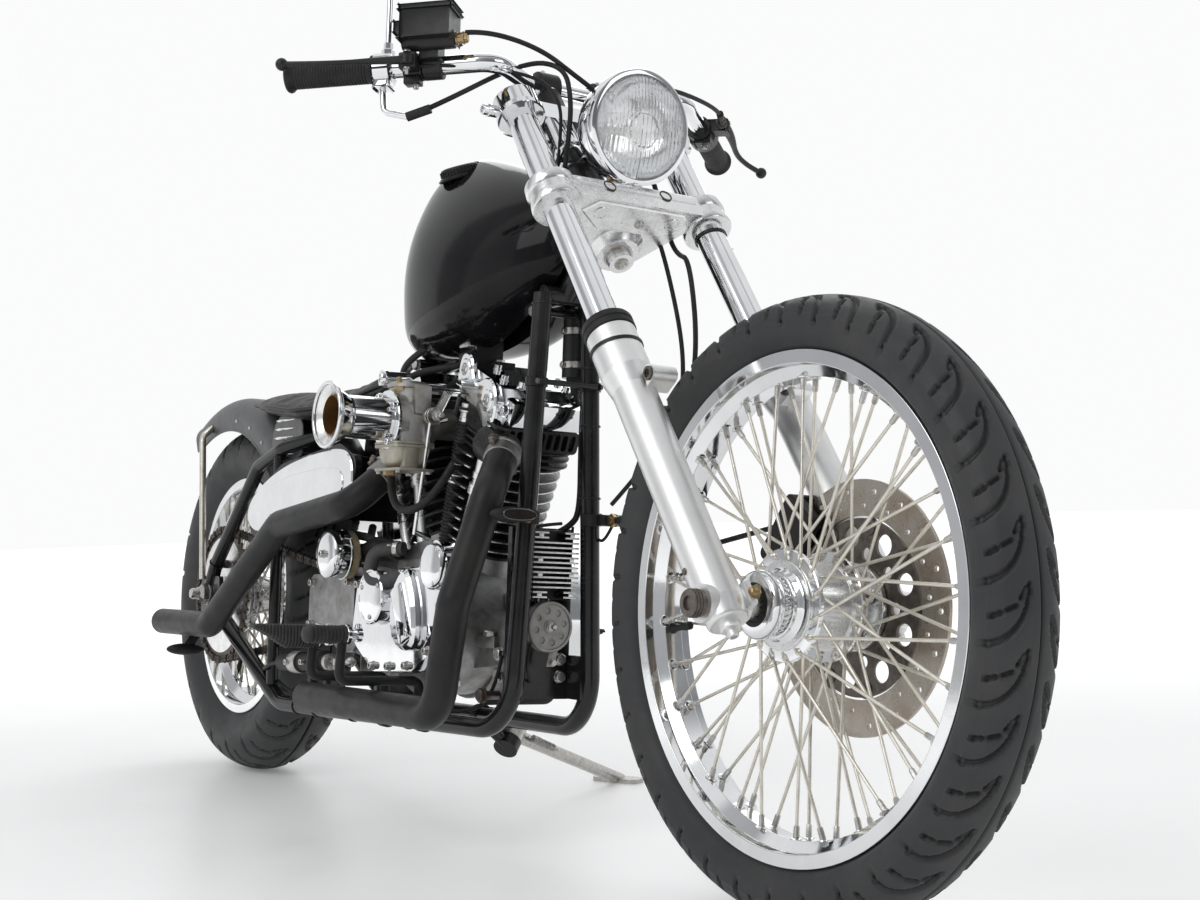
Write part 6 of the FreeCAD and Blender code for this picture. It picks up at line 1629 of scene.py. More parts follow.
        shop.make("neck_cup", cups, CHROME)

    def ties(self, shop: Workshop) -> None:
        """Adds a tie round each leg, the left one with its knot and tail."""
        shape = Shape()
        for side, up in ((1, self.low - 13.0), (-1, 366.0)):
            leg = fork_point(0, side * HALF_FORK, up)
            radius = 20.6 if side > 0 else 31.2
            tilt = (FORK_UP + FORK_OUT * 0.16).normalized()
            shape.lathe([(-2.0, radius + 0.1), (-2.0, radius + 1.5), (2.0, radius + 1.5), (2.0, radius + 0.1)], leg,
                        tilt, 48, closed=True)
            if side > 0:
                knot = leg + Y_AXIS * (radius + 2.5)
                shape.box(knot, (6.0, 5.0, 6.0), 0.8)
                shape.tube([knot, knot + Y_AXIS * 14.0 - Z_AXIS * 10.0], 1.2, 0.0, 6)
        shop.make("fork_ties", shape, BLACK_MOULDING, "fork")


@dataclass
class Headlamp:
    """The round lamp: bucket, bright bowl, fluted lens, rim and post.

    Attributes:
        centre: the middle of the lens's edge.
        tilt: how far it looks down, in degrees.
    """

    centre: Vector
    tilt: float = 6.0

    def ahead(self) -> Vector:
        """Gives the way the lamp faces."""
        tilt = math.radians(self.tilt)
        return vec(math.cos(tilt), 0.0, -math.sin(tilt))

    def build(self, shop: Workshop) -> None:
        """Builds the lamp's pieces."""
        self.bucket(shop)
        self.lens(shop)
        self.post(shop)

    def bucket(self, shop: Workshop) -> None:
        """Turns the bucket with its seam, the rim and the bowl inside."""
        ahead = self.ahead()
        shell = Shape()
        shell.lathe([(-88.0, 4.0), (-87.0, 22.0), (-82.0, 40.0), (-70.0, 56.0), (-50.0, 67.0), (-28.0, 72.0),
                     (-17.5, 73.0), (-17.5, 76.0), (-15.0, 77.0), (-6.0, 77.0), (-1.5, 75.6), (0.2, 72.6),
                     (0.0, 68.4), (-6.0, 67.6), (-14.0, 66.0), (-30.0, 58.0), (-46.0, 44.0), (-58.0, 24.0),
                     (-60.0, 6.0)], self.centre, ahead, 96)
        shop.make("headlamp_bucket", shell, CHROME, "fork", replaces=["headlamp"])
        bulb = Shape()
        bulb.lathe([(-60.0, 9.0), (-40.0, 8.6), (-36.0, 7.0), (-32.0, 2.0)], self.centre, ahead, 24)
        bulb.lathe([(-30.0, 13.0), (-28.0, 13.6), (-27.0, 12.8), (-26.0, 4.0)], self.centre, ahead, 28)
        shop.make("headlamp_bulb", bulb, WORN_CHROME, "fork")

    def lens(self, shop: Workshop) -> None:
        """Moulds the lens with its upright flutes and inner ring."""
        ahead = self.ahead()
        up = vec(-ahead.z, 0.0, ahead.x)
        shape = Shape()
        rings, sides, reach = 44, 220, 68.0
        loops = []
        for front in (True, False):
            for index in range(1, rings + 1):
                radius = reach * index / rings
                loop = []
                for k in range(sides):
                    turn = math.tau * k / sides
                    a, b = radius * math.cos(turn), radius * math.sin(turn)
                    crown = 8.5 * (1.0 - (radius / reach) ** 2)
                    height = crown - 1.0 if front else crown - 4.2 - self.flute(a, b)
                    loop.append(shape.bm.verts.new(self.centre + ahead * height + Y_AXIS * a + up * b))
                loops.append(loop)
        fronts, backs = loops[:rings], loops[rings:]
        for group in (fronts, backs):
            shape.cap(group[0])
            for first, second in zip(group, group[1:]):
                shape.bridge(first, second)
        shape.bridge(fronts[-1], backs[-1])
        shop.make("headlamp_fluted_lens", shape, LensGlass(), "fork", replaces=["headlamp_lens"])

    def flute(self, a: float, b: float) -> float:
        """Gives the flutes' relief at a place on the lens."""
        radius = math.hypot(a - 2.0, b + 4.0)
        if 22.0 < radius < 26.0:
            return 1.6
        if radius <= 22.0:
            return 0.5 * math.cos(a * 0.9)
        pitch = 5.2 if b > 0.0 else 6.6
        return 1.3 * abs(math.sin(math.pi * a / pitch)) + (0.5 if int((b + 90.0) / 18.0) % 2 else 0.0)

    def post(self, shop: Workshop) -> None:
        """Adds the chrome post, its collar, the bracket and the side screw."""
        foot = fork_point(13.0, 0, 650.3)
        shape = Shape()
        shape.lathe([(0.0, 17.0), (3.0, 16.6), (4.0, 12.0), (16.0, 12.0), (17.0, 14.5), (26.0, 14.5), (28.0, 11.0),
                     (40.0, 11.0)], foot, FORK_UP, 40)
        shape.block(foot + FORK_UP * 30.0, FORK_OUT, Y_AXIS, FORK_UP, (24.0, 22.0, 18.0), 3.0)
        ahead = self.ahead()
        low = self.centre - Z_AXIS * 76.0 - ahead * 8.0
        shape.bolt(low, -Z_AXIS + ahead * 0.3, 5.0, Head.DOME, False)
        shop.make("headlamp_post", shape, CHROME, "fork")
        brass = Shape()
        brass.bolt(foot + FORK_UP * 22.0 - Y_AXIS * 13.0, -Y_AXIS, 9.0, Head.NUT)
        brass.rod(foot + FORK_UP * 22.0 - Y_AXIS * 12.0, foot + FORK_UP * 22.0 - Y_AXIS * 20.0, 7.0, 20, 1.0)
        shop.make("headlamp_post_nut", brass, BRASS, "fork")


@dataclass
class Handlebar:
    """Grips, levers, master cylinder, mirror and cables.

    Attributes:
        end: the right bar end's inner step.
        knee: where the right side bends.
        perch: how far in from the end the right lever's perch sits.
        clamp: the section of the clamps round the bar.
    """

    end: Vector
    knee: Vector
    perch: float = 172.0
    clamp: Sequence[Flat] = ((-13.0, 17.0), (-12.0, 18.4), (12.0, 18.4), (13.0, 17.0))

    def inward(self) -> Vector:
        """Gives the way in along the right grip."""
        return (self.knee - self.end).normalized()

    def ahead(self) -> Vector:
        """Gives the level way ahead, square to the right grip."""
        ahead = Z_AXIS.cross(self.inward()).normalized()
        return ahead if ahead.x > 0 else -ahead

    def build(self, shop: Workshop) -> None:
        """Builds the handlebar's pieces."""
        self.grips(shop)
        self.risers(shop)
        self.right_lever(shop)
        self.left_lever(shop)
        self.master_cylinder(shop)
        self.throttle(shop)
        self.mirror(shop)
        self.cables(shop)

    def grips(self, shop: Workshop) -> None:
        """Moulds both grips with flared ends and fine ribs."""
        shape = Shape()
        profile = [(-5.0, 9.0), (-6.5, 14.0), (-5.5, 20.0), (-3.0, 21.4), (0.0, 20.8), (3.5, 17.6)]
        for index in range(26):
            start = 6.0 + index * 4.0
            profile += [(start, 17.0), (start + 1.2, 16.3), (start + 2.4, 17.0)]
        profile += [(112.0, 17.4), (114.0, 20.6), (116.5, 20.6), (117.0, 13.4)]
        shape.lathe(profile, self.end, self.inward(), 40)
        shape.mirror()
        shop.make("ribbed_grips", shape, BLACK_RUBBER, "fork", replaces=["grips"])

    def risers(self, shop: Workshop) -> None:
        """Dresses the risers in black with their cap screws."""
        middle = fork_point(-13.75, 0, 876.0)
        shape = Shape()
        for side in (-1, 1):
            foot = fork_point(-13.75, side * 45.0, 814.6)
            head = middle + Y_AXIS * (side * 45.0)
            shape.lathe([(0.0, 19.5), (3.0, 19.0), (6.0, 17.6), (44.0, 17.6)], foot, head - foot, 36)
            shape.lathe([(-15.6, 21.0), (-14.6, 22.6), (14.6, 22.6), (15.6, 21.0)], head, Y_AXIS, 44)
        shop.make("bar_risers", shape, SATIN_BLACK, "fork", bevel=0.5)
        screws = Shape()
        for side in (-1, 1):
            head = middle + Y_AXIS * (side * 45.0)
            for way in (-1, 1):
                screws.bolt(head + FORK_UP * 20.0 + FORK_OUT * (way * 9.0), FORK_UP, 6.0, Head.ALLEN, False)
        shop.make("bar_riser_screws", screws, STEEL, "fork")

    def blade(self, shape: Shape, pivot: Vector, tip: Vector, hollow: Vector) -> None:
        """Shapes one lever blade: thick at the pivot, slim in the middle and round at its end.

        Args:
            shape: the mesh it joins.
            pivot: the blade's pivot.
            tip: its tip.
            hollow: the way its middle bows.
        """
        run = tip - pivot
        across = run.normalized().cross(Z_AXIS).normalized()
        rise = across.cross(run.normalized())
        rings = []
        for index in range(17):
            share = index / 16
            middle = pivot + run * share + hollow * (math.sin(math.pi * share) - 0.4 * math.sin(math.tau * share))
            width = 9.5 - 5.0 * min(share * 2.2, 1.0) + 1.5 * max(0.0, share - 0.7)
            rings.append(shape.ring(middle, across, rise, width, 12, 0.62 + 0.2 * share))
        shape.skin(rings)
        shape.ball(tip, (8.6, 8.6, 8.6), sides=18)

    def right_lever(self, shop: Workshop) -> None:
        """Makes the right lever, its perch and pivot."""
        inward, ahead = self.inward(), self.ahead()
        perch = self.end + inward * self.perch
        pivot = perch + ahead * 35.6
        tip = pivot - inward * 165.0 + ahead * 21.6
        shape = Shape()
        self.blade(shape, pivot, tip, ahead * 5.0 - Z_AXIS * 2.0)
        shape.rod(pivot - Z_AXIS * 6.0, pivot + Z_AXIS * 6.0, 10.0, 24, 1.0)
        shop.make("brake_lever", shape, BLACK_MOULDING, "fork", replaces=["hand_controls"])
        perches = Shape()
        perches.lathe(self.clamp, perch, inward, 36)
        perches.block(perch + ahead * 21.0, ahead, inward, Z_AXIS, (34.0, 24.0, 22.0), 3.0)
        perches.block(perch + ahead * 4.0 - Z_AXIS * 20.0, ahead, inward, Z_AXIS, (22.0, 22.0, 10.0), 2.0)
        shop.make("brake_perch", perches, BLACK_MOULDING, "fork", replaces=["hand_controls"])
        screws = Shape()
        screws.bolt(pivot + Z_AXIS * 10.8, Z_AXIS, 6.0, Head.DOME)
        screws.bolt(perch + ahead * 4.0 - Z_AXIS * 25.0 + inward * 4.0, -Z_AXIS, 5.0, Head.ALLEN)
        screws.bolt(pivot - Z_AXIS * 10.8, -Z_AXIS, 5.0, Head.NUT)
        shop.make("brake_perch_screws", screws, STEEL, "fork")

    def left_lever(self, shop: Workshop) -> None:
        """Makes the left lever with its ball end, perch and rusty adjuster."""
        inward, ahead, end = (flipped(place) for place in (self.inward(), self.ahead(), self.end))
        perch = end + inward * 158.0
        pivot = perch + ahead * 36.0 + Z_AXIS * 6.0
        tip = pivot - inward * 178.0 + ahead * 34.0 + vec(31.0, -28.5, -30.0)
        shape = Shape()
        self.blade(shape, pivot, tip, -ahead * 12.0)
        shape.rod(pivot - Z_AXIS * 7.0, pivot + Z_AXIS * 7.0, 9.0, 24, 1.0)
        shop.make("clutch_lever", shape, BLACK_MOULDING, "fork", replaces=["hand_controls"])
        body = Shape()
        body.lathe([(-14.0, 17.0), (-13.0, 18.2), (13.0, 18.2), (14.0, 17.0)], perch, inward, 36)
        body.block(perch + ahead * 22.0 + Z_AXIS * 3.0, ahead, inward, Z_AXIS, (38.0, 22.0, 18.0), 3.0)
        body.block(perch - Z_AXIS * 16.0 + ahead * 6.0, ahead, inward, Z_AXIS, (24.0, 20.0, 14.0), 2.4)
        housing = end + inward * 133.0
        body.lathe([(-14.0, 20.0), (-12.0, 22.0), (12.0, 22.0), (14.0, 19.0)], housing, inward, 36)
        shop.make("clutch_perch", body, BLACK_MOULDING, "fork", replaces=["hand_controls"])
        copper = Shape()
        foot = perch + ahead * 34.0 + inward * 11.0 + Z_AXIS * 4.0
        copper.lathe([(0.0, 6.0), (5.0, 6.0), (6.0, 8.6), (12.0, 8.6), (13.0, 6.2), (24.0, 6.0), (26.0, 4.0)], foot,
                     inward + ahead * 0.2, 20)
        shop.make("clutch_adjuster", copper, CHAIN_STEEL, "fork")
        screws = Shape()
        screws.bolt(pivot + Z_AXIS * 7.0, Z_AXIS, 6.0, Head.DOME)
        screws.bolt(perch - Z_AXIS * 23.0 + ahead * 8.0, -Z_AXIS, 5.0, Head.ALLEN)
        shop.make("clutch_perch_screws", screws, STEEL, "fork")

    def master_cylinder(self, shop: Workshop) -> None:
        """Makes the reservoir with its lid, body, banjo and clamp."""
        inward, ahead = self.inward(), self.ahead()
        perch = self.end + inward * self.perch
        low = perch + ahead * 25.0 + inward * 26.0 + Z_AXIS * 27.0
        box = Shape()
        box.block(low + Z_AXIS * 18.0, inward, ahead, Z_AXIS, (68.0, 46.0, 38.0), 5.0)
        box.block(low + Z_AXIS * 40.0, inward, ahead, Z_AXIS, (72.0, 50.0, 7.0), 2.4)
        box.rod(low - inward * 36.0, low + inward * 36.0, 13.0, 28, 1.6)
        clamp = perch + inward * 26.6
        box.lathe(self.clamp, clamp, inward, 36)
        box.block(clamp + Z_AXIS * 20.0 + ahead * 12.7, inward, ahead, Z_AXIS, (26.0, 25.0, 34.0), 3.0)
        box.block(low - inward * 40.0 + Z_AXIS * 20.0, inward, ahead, Z_AXIS, (14.0, 16.0, 14.0), 3.0)
        shop.make("brake_reservoir", box, BLACK_MOULDING, "fork", replaces=["hand_controls"])
        screws = Shape()
        for a in (-29.0, 29.0):
            for b in (-18.0, 18.0):
                screws.bolt(low + inward * a + ahead * b + Z_AXIS * 43.4, Z_AXIS, 4.0, Head.DOME, False)
        shop.make("brake_reservoir_screws", screws, STEEL, "fork")
        banjo = Shape()
        port = low + inward * 37.0
        banjo.lathe([(0.0, 8.6), (2.0, 8.6), (2.4, 7.4), (9.0, 7.4), (9.4, 8.6), (11.0, 8.6)], port, inward, 28)
        banjo.bolt(port + inward * 11.0, inward, 8.0, Head.HEX, False)
        shop.make("brake_banjo", banjo, BRASS, "fork")

    def throttle(self, shop: Workshop) -> None:
        """Makes the chrome throttle housing and the elbow that leads the cable out."""
        inward, ahead = self.inward(), self.ahead()
        middle = self.end + inward * 130.0
        shape = Shape()
        shape.lathe([(-12.0, 20.0), (-11.0, 22.4), (10.0, 22.4), (12.0, 19.5)], middle, inward, 40)
        shape.block(middle - Z_AXIS * 20.0 + ahead * 4.0, inward, ahead, Z_AXIS, (20.0, 22.0, 14.0), 3.0)
        elbow = [middle - Z_AXIS * 18.0 + ahead * 6.0, middle - Z_AXIS * 62.0 + ahead * 14.0 + inward * 6.0,
                 middle - Z_AXIS * 74.0 + ahead * 26.0 + inward * 44.0]
        shape.tube(elbow, 4.4, 16.0, 14)
        shop.make("throttle_housing", shape, CHROME, "fork", replaces=["hand_controls"])

    def mirror(self, shop: Workshop) -> None:
        """Makes the mirror on its slim chrome stem; its head is above the photograph."""
        inward = self.inward()
        base = self.end + inward * 134.0 + Z_AXIS * 22.3
        knee = base + Z_AXIS * 115.5
        head = knee - inward * 75.0 + Z_AXIS * 82.5
        shape = Shape()
        shape.tube([base, knee, head], 4.2, 37.0, 16)
        shape.lathe([(-6.0, 9.0), (4.0, 9.0), (6.0, 6.5), (14.0, 6.0)], base, Z_AXIS, 6)
        face = vec(-1.0, 0.25, 0.0).normalized()
        shape.lathe([(-12.0, 6.0), (-9.0, 24.0), (-4.0, 40.0), (0.0, 45.6), (2.0, 45.8), (2.6, 43.0), (1.6, 42.6)],
                    head, face, 56)
        shop.make("mirror_shell", shape, CHROME, "fork", replaces=["mirror"])

    def cables(self, shop: Workshop) -> None:
        """Runs the brake hose, throttle, clutch and switch cables."""
        inward, ahead = self.inward(), self.ahead()
        perch = self.end + inward * self.perch
        port = perch + ahead * 25.0 + inward * 75.0 + Z_AXIS * 34.0
        shape = Shape()
        self.hose(shape, port)
        elbow = self.end + inward * 174.0 - Z_AXIS * 74.0 + ahead * 26.0
        shape.cable([elbow, elbow + inward * 36.0 + Z_AXIS * 12.0, vec(1065, -100, 1062), vec(1112, -66, 1050),
                     vec(1126, -62, 1000), vec(1118, -60, 950), vec(1102, -54, 918)], 3.4)
        shape.cable([elbow - inward * 2.0, elbow + inward * 30.0 + Z_AXIS * 9.0], 6.2)
        start = perch + ahead * 18.0 + inward * 10.0 - Z_AXIS * 4.0
        shape.cable([start, start + inward * 40.0, vec(1085, -95, 1040), vec(1112, -70, 1004), vec(1108, -66, 950),
                     vec(1092, -60, 916)], 2.4)
        left, inner, outer = (flipped(place) for place in (self.end, inward, ahead))
        foot = left + inner * 196.0 + outer * 38.0 + Z_AXIS * 4.0
        shape.cable([foot, foot + inner * 44.0 + outer * 8.0, vec(1128, 66, 1050), vec(1126, 62, 1000),
                     vec(1116, 60, 950), vec(1098, 54, 916)], 3.2)
        shape.cable([foot - inner * 2.0, foot + inner * 22.0 + outer * 2.0], 5.4)
        shop.make("control_cables", shape, BLACK_RUBBER, "fork", replaces=["cables"])
        lower = Shape()
        lower.cable([vec(1101.5, -53.8, 917), vec(1084, -47, 893), vec(1030, -36, 876), vec(960, -32, 850)], 3.4)
        lower.cable([vec(1091.5, -59.8, 915), vec(1072, -50, 889), vec(1010, -24, 866)], 2.4)
        lower.cable([vec(1097.5, 53.8, 915), vec(1078, 46, 890), vec(1010, 28, 866)], 3.2)
        shop.make("control_cables_lower", lower, BLACK_RUBBER)

    def hose(self, shape: Shape, port: Vector) -> None:
        """Runs the brake hose from the banjo to the caliper.

        Args:
            shape: the mesh it joins.
            port: the banjo's place.
        """
        side = HALF_FORK * 0.6
        radial = FORK_UP * math.cos(math.radians(17.0)) - FORK_OUT * math.sin(math.radians(17.0))
        end = FRONT_CENTRE + radial * 160.0
        end.y = side
        inward = self.inward()
        shape.cable([port, port + inward * 30.0, fork_point(62.0, -96.0, 858.0), fork_point(52.0, -44.0, 826.0),
                     fork_point(38.0, 14.0, 800.0), fork_point(12.0, 58.0, 730.0), fork_point(-38.0, 86.0, 640.0),
                     fork_point(-36.0, 84.0, 600.0), fork_point(-6.0, side, 560.0), vec(1246.0, side, 660.0),
                     vec(1212.0, side, 560.0), vec(1142.0, side, 486.0), vec(1190.0, side, 400.0),
                     vec(1300.0, side, 420.0), end], 3.4)
        shape.cable([fork_point(-36.0, 66.0, 660.0), fork_point(-36.0, 64.0, 600.0), vec(1236.0, side - 8.0, 640.0),
                     vec(1200.0, side - 12.0, 560.0), vec(1120.0, side - 14.0, 500.0),
                     vec(1092.0, side - 26.0, 470.0)], 3.0)


@dataclass
class FuelTank:
    """The fuel tank's cap, seam, mounts and tap.

    Attributes:
        cap: the foot of the cap.
        tilt: the cap's lean towards the right, in degrees.
    """

    cap: Vector = vec(780.0, -38.0, 964.0)
    tilt: float = 20.0

    def build(self, shop: Workshop) -> None:
        """Makes the pieces on and under the tank."""
        lean = math.radians(self.tilt)
        axis = vec(0.0, -math.sin(lean), math.cos(lean))
        cap = Shape()
        cap.lathe([(-3.0, 33.0), (1.0, 33.4), (2.5, 32.4), (3.0, 29.5), (12.0, 29.5), (14.5, 28.0), (16.0, 24.0),
                   (16.6, 12.0), (16.8, 0.1)], self.cap, axis, 72)
        u, v = across_of(axis)
        for index in range(36):
            turn = math.tau * index / 36
            place = self.cap + axis * 8.0 + (u * math.cos(turn) + v * math.sin(turn)) * 29.8
            cap.rod(place - axis * 4.2, place + axis * 4.2, 1.3, 8, 0.5)
        shop.make("tank_cap_knurl", cap, SATIN_BLACK, replaces=["tank_cap"])
        neck = Shape()
        neck.lathe(circle(0.0, 34.4, 1.8, 10), self.cap - axis * 1.2, axis, 72, True)
        shop.make("tank_neck", neck, GLOSS_BLACK)
        tabs = Shape()
        mounts = ((654.0, 690.0), (1004.0, 736.0))
        for x, z in mounts:
            for side in (-1, 1):
                tabs.box(vec(x, side * 27.0, z + 6.0), (28.0, 22.0, 5.0), 1.2)
        for x, z in mounts:
            tabs.rod(vec(x, -34.0, z), vec(x, 34.0, z), 5.0, 16, 0.6)
        shop.make("tank_mounts", tabs, FRAME_BLACK)
        bolts = Shape()
        for x, z in mounts:
            for side in (-1, 1):
                bolts.bolt(vec(x, side * 34.0, z), Y_AXIS * side, 9.0, Head.HEX)
        tap = vec(846.0, -34.0, 716.0)
        bolts.lathe([(0.0, 11.0), (8.0, 11.0), (9.0, 8.0), (22.0, 8.0), (24.0, 5.0)], tap, -Z_AXIS, 6)
        bolts.rod(tap + vec(0.0, 0.0, -14.0), tap + vec(0.0, -22.0, -14.0), 5.0, 16, 0.8)
        bolts.box(tap + vec(0.0, -23.0, -14.0), (26.0, 4.0, 9.0), 1.5)
        shop.make("tank_fittings", bolts, STEEL)
        stay = Shape()
        stay.box(vec(825.0, -18.0, 704.0), (58.0, 44.0, 62.0), 3.0)
        stay.block(vec(800.0, -4.0, 664.0), vec(1.0, 0.0, 0.15), Y_AXIS, Z_AXIS, (150.0, 34.0, 7.0), 1.5)
        shop.make("engine_stay", stay, SATIN_BLACK)
        heads = Shape()
        for x in (738.0, 856.0):
            heads.bolt(vec(x, -4.0, 668.0 + (x - 800.0) * 0.15), Z_AXIS, 9.0, Head.HEX)
        heads.bolt(vec(825.0, -40.3, 716.0), -Y_AXIS, 8.0, Head.HEX)
        shop.make("engine_stay_bolts", heads, STEEL)


@dataclass
class OilTank:
    """The polished cheeks of the oil tank, its filler and its hoses.

    Attributes:
        back: the tank's rear end.
        front: its front end.
        low: its underside.
        high: its top.
        half: half its width.
    """

    back: float = 205.0
    front: float = 642.0
    low: float = 418.0
    high: float = 566.0
    half: float = 126.0

    def outline(self, inset: float) -> List[Flat]:
        """Gives a cheek's outline, drawn in by inset, from the same shares as the solid."""
        length = self.front - self.back
        height = self.high - self.low
        shares = ((0.00, 0.42), (0.06, 0.02), (0.42, 0.10), (0.98, 0.30), (1.00, 0.84), (0.86, 1.00), (0.34, 0.84))
        corners = [(self.back + length * a, self.low + height * b) for a, b in shares]
        points = smoothed(corners, 4)
        middle = (sum(a for a, _ in points) / len(points), sum(b for _, b in points) / len(points))
        scale_a = 1.0 - inset / (length / 2)
        scale_b = 1.0 - inset / (height / 2)
        return [(middle[0] + (a - middle[0]) * scale_a, middle[1] + (b - middle[1]) * scale_b) for a, b in points]

    def build(self, shop: Workshop) -> None:
        """Makes both cheeks' polished skins, the filler cap and the hoses."""
        chrome = Shape()
        for inset, thick, proud, edge in ((3.0, 5.0, 1.2, 2.2), (34.0, 3.0, 4.0, 1.4)):
            for side in (-1, 1):
                place = Y_AXIS * (side * (self.half + proud))
                chrome.plate([self.outline(inset)], thick, place, X_AXIS, Z_AXIS, edge)
        shop.make("oil_tank_cheeks", chrome, CHROME)
        filler = Shape()
        place = vec(500.0, 60.0, 546.0)
        filler.lathe([(0.0, 24.0), (10.0, 24.0), (11.0, 27.0), (24.0, 27.0), (27.0, 24.0), (28.0, 8.0), (28.4, 0.1)],
                     place, Z_AXIS, 40)
        shop.make("oil_filler", filler, CHROME)
        hoses = Shape()
        hoses.cable([vec(530.0, -70.0, 446.0), vec(560.0, -92.0, 430.0), vec(590.0, -96.0, 424.0),
                     vec(640.0, -92.0, 420.0), vec(690.0, -84.0, 398.0)], 6.5)
        hoses.cable([vec(530.0, -40.0, 440.0), vec(560.0, -60.0, 410.0), vec(600.0, -70.0, 402.0),
                     vec(650.0, -76.0, 404.0), vec(700.0, -72.0, 386.0)], 6.5)
        hoses.cable([vec(545.0, 30.0, 552.0), vec(600.0, 30.0, 590.0), vec(680.0, 40.0, 620.0),
                     vec(720.0, 50.0, 560.0), vec(740.0, 60.0, 440.0), vec(740.0, 60.0, 400.0)], 5.5)
        shop.make("oil_hoses", hoses, HOSE_GREY)


@dataclass
class Saddle:
    """The thin saddle: a stuffed cover with a welt round its edge, on two mounts.

    Attributes:
        back: the saddle's rear end.
        front: its front end.
        half: half its greatest width.
        floor: the height its stations count from.
        height: the height that the stations share.
        stations: share of the length, of the width, and of the height below and above.
        voxel: the cover's mesh size before the simulation, in metres.
        held: how far up from its lowest place the cover is held, in metres.
        rise: the most that the simulation may move the cover, in metres.
        frames: the simulation's length.
    """

    back: float = 112.0
    front: float = 606.0
    half: float = 122.0
    floor: float = 612.0
    height: float = 84.0
    stations: Sequence[Tuple[float, float, float, float]] = (
        (0.0, 0.42, 0.48, 0.60), (0.10, 0.84, 0.36, 0.76), (0.30, 1.00, 0.18, 0.70), (0.50, 0.96, 0.04, 0.60),
        (0.70, 0.68, 0.08, 0.66), (0.88, 0.46, 0.42, 0.90), (1.00, 0.30, 0.66, 1.00))
    voxel: float = 0.0055
    held: float = 0.012
    rise: float = 0.009
    frames: int = 20

    def station(self, share: float) -> Tuple[float, float, float, float]:
        """Gives the place along, the half width, and the heights below and above at a share of the length."""
        places = self.stations
        for start, end in zip(places, places[1:]):
            if share <= end[0]:
                part = (share - start[0]) / (end[0] - start[0])
                part = part * part * (3 - 2 * part) * 0.5 + part * 0.5
                wide, low, high = (a + (b - a) * part for a, b in zip(start[1:], end[1:]))
                return (self.back + (self.front - self.back) * share, self.half * wide,
                        self.floor + self.height * low, self.floor + self.height * high)
        return self.station(1.0)

    def build(self, shop: Workshop) -> None:
        """Makes the stuffed cover, the welt and the mounts."""
        rings, sides = 34, 40
        shape = Shape()
        loops = []
        welt = []
        for index in range(rings + 1):
            share = 0.5 - 0.5 * math.cos(math.pi * index / rings)
            x, wide, low, high = self.station(share)
            end = min(share, 1.0 - share) * 2.0
            pinch = min(1.0, math.sqrt(max(end, 0.004) * 7.0))
            edge = low + (high - low) * 0.36
            loop = []
            for k in range(sides):
                turn = math.tau * k / sides
                across = math.copysign(abs(math.cos(turn)) ** 0.72, math.cos(turn)) * wide * pinch * 0.96
                if math.sin(turn) >= 0:
                    rise = edge + (high - edge) * abs(math.sin(turn)) ** 0.8 * pinch - 4.0
                else:
                    rise = edge - (edge - low) * abs(math.sin(turn)) ** 0.5 * pinch
                loop.append(shape.bm.verts.new(vec(x, across, rise)))
            loops.append(loop)
            welt.append((x, wide * pinch * 0.985, edge))
        shape.skin(loops)
        cover = shop.make("saddle_cover", shape, SEAT_HIDE, replaces=["seat"])
        self.stuff(cover)
        line = [vec(x, y, z) for x, y, z in welt] + [vec(x, -y, z) for x, y, z in reversed(welt)]
        line.append(line[0])
        cord = Shape()
        cord.tube(line, 3.4, 0.0, 10)
        shop.make("saddle_welt", cord, WELT_HIDE)
        pan = Shape()
        for share in (0.34, 0.62):
            x, wide, low, _ = self.station(share)
            for side in (-1, 1):
                pan.rod(vec(x, side * wide * 0.62, low - 2.0), vec(x, side * wide * 0.62, low - 26.0), 8.0, 20, 1.0)
                pan.bolt(vec(x, side * wide * 0.62, low - 26.0), -Z_AXIS, 8.0, Head.NUT)
        shop.make("saddle_mounts", pan, BLACK_RUBBER)

    def stuff(self, cover: bpy.types.Object) -> None:
        """Inflates the cover by a short cloth simulation, held along its edge, and keeps the result.

        Args:
            cover: the cover's object.
        """
        view = bpy.context.view_layer
        remesh = cover.modifiers.new("skin", "REMESH")
        remesh.mode = "VOXEL"
        remesh.voxel_size = self.voxel
        self.bake(cover)
        start = [vert.co.copy() for vert in cover.data.vertices]
        group = cover.vertex_groups.new(name="held")
        low = min(vert.co.z for vert in cover.data.vertices)
        for vert in cover.data.vertices:
            if vert.normal.z < -0.25 or vert.co.z < low + self.held:
                group.add([vert.index], 1.0, "REPLACE")
        cloth = cover.modifiers.new("stuffing", "CLOTH")
        settings = cloth.settings
        settings.quality = 6
        settings.mass = 0.4
        settings.use_pressure = True
        settings.uniform_pressure_force = 4.0
        settings.tension_stiffness = 24.0
        settings.compression_stiffness = 24.0
        settings.shear_stiffness = 12.0
        settings.bending_stiffness = 1.2
        settings.shrink_min = -0.02
        settings.vertex_group_mass = "held"
        settings.effector_weights.gravity = 0.0
        cloth.collision_settings.use_collision = False
        cloth.point_cache.frame_start = 1
        cloth.point_cache.frame_end = self.frames
        scene = bpy.context.scene
        for frame in range(1, self.frames + 1):
            scene.frame_set(frame)
            view.update()
        self.bake(cover)
        scene.frame_set(1)
        for vert, before in zip(cover.data.vertices, start):
            move = vert.co - before
            if move.length > self.rise:
                vert.co = before + move.normalized() * self.rise
        smooth = cover.modifiers.new("settle", "SMOOTH")
        smooth.factor = 0.5
        smooth.iterations = 5
        self.bake(cover)
        finer = cover.modifiers.new("finer", "SUBSURF")
        finer.levels = 1
        finer.render_levels = 1
        for polygon in cover.data.polygons:
            polygon.use_smooth = True

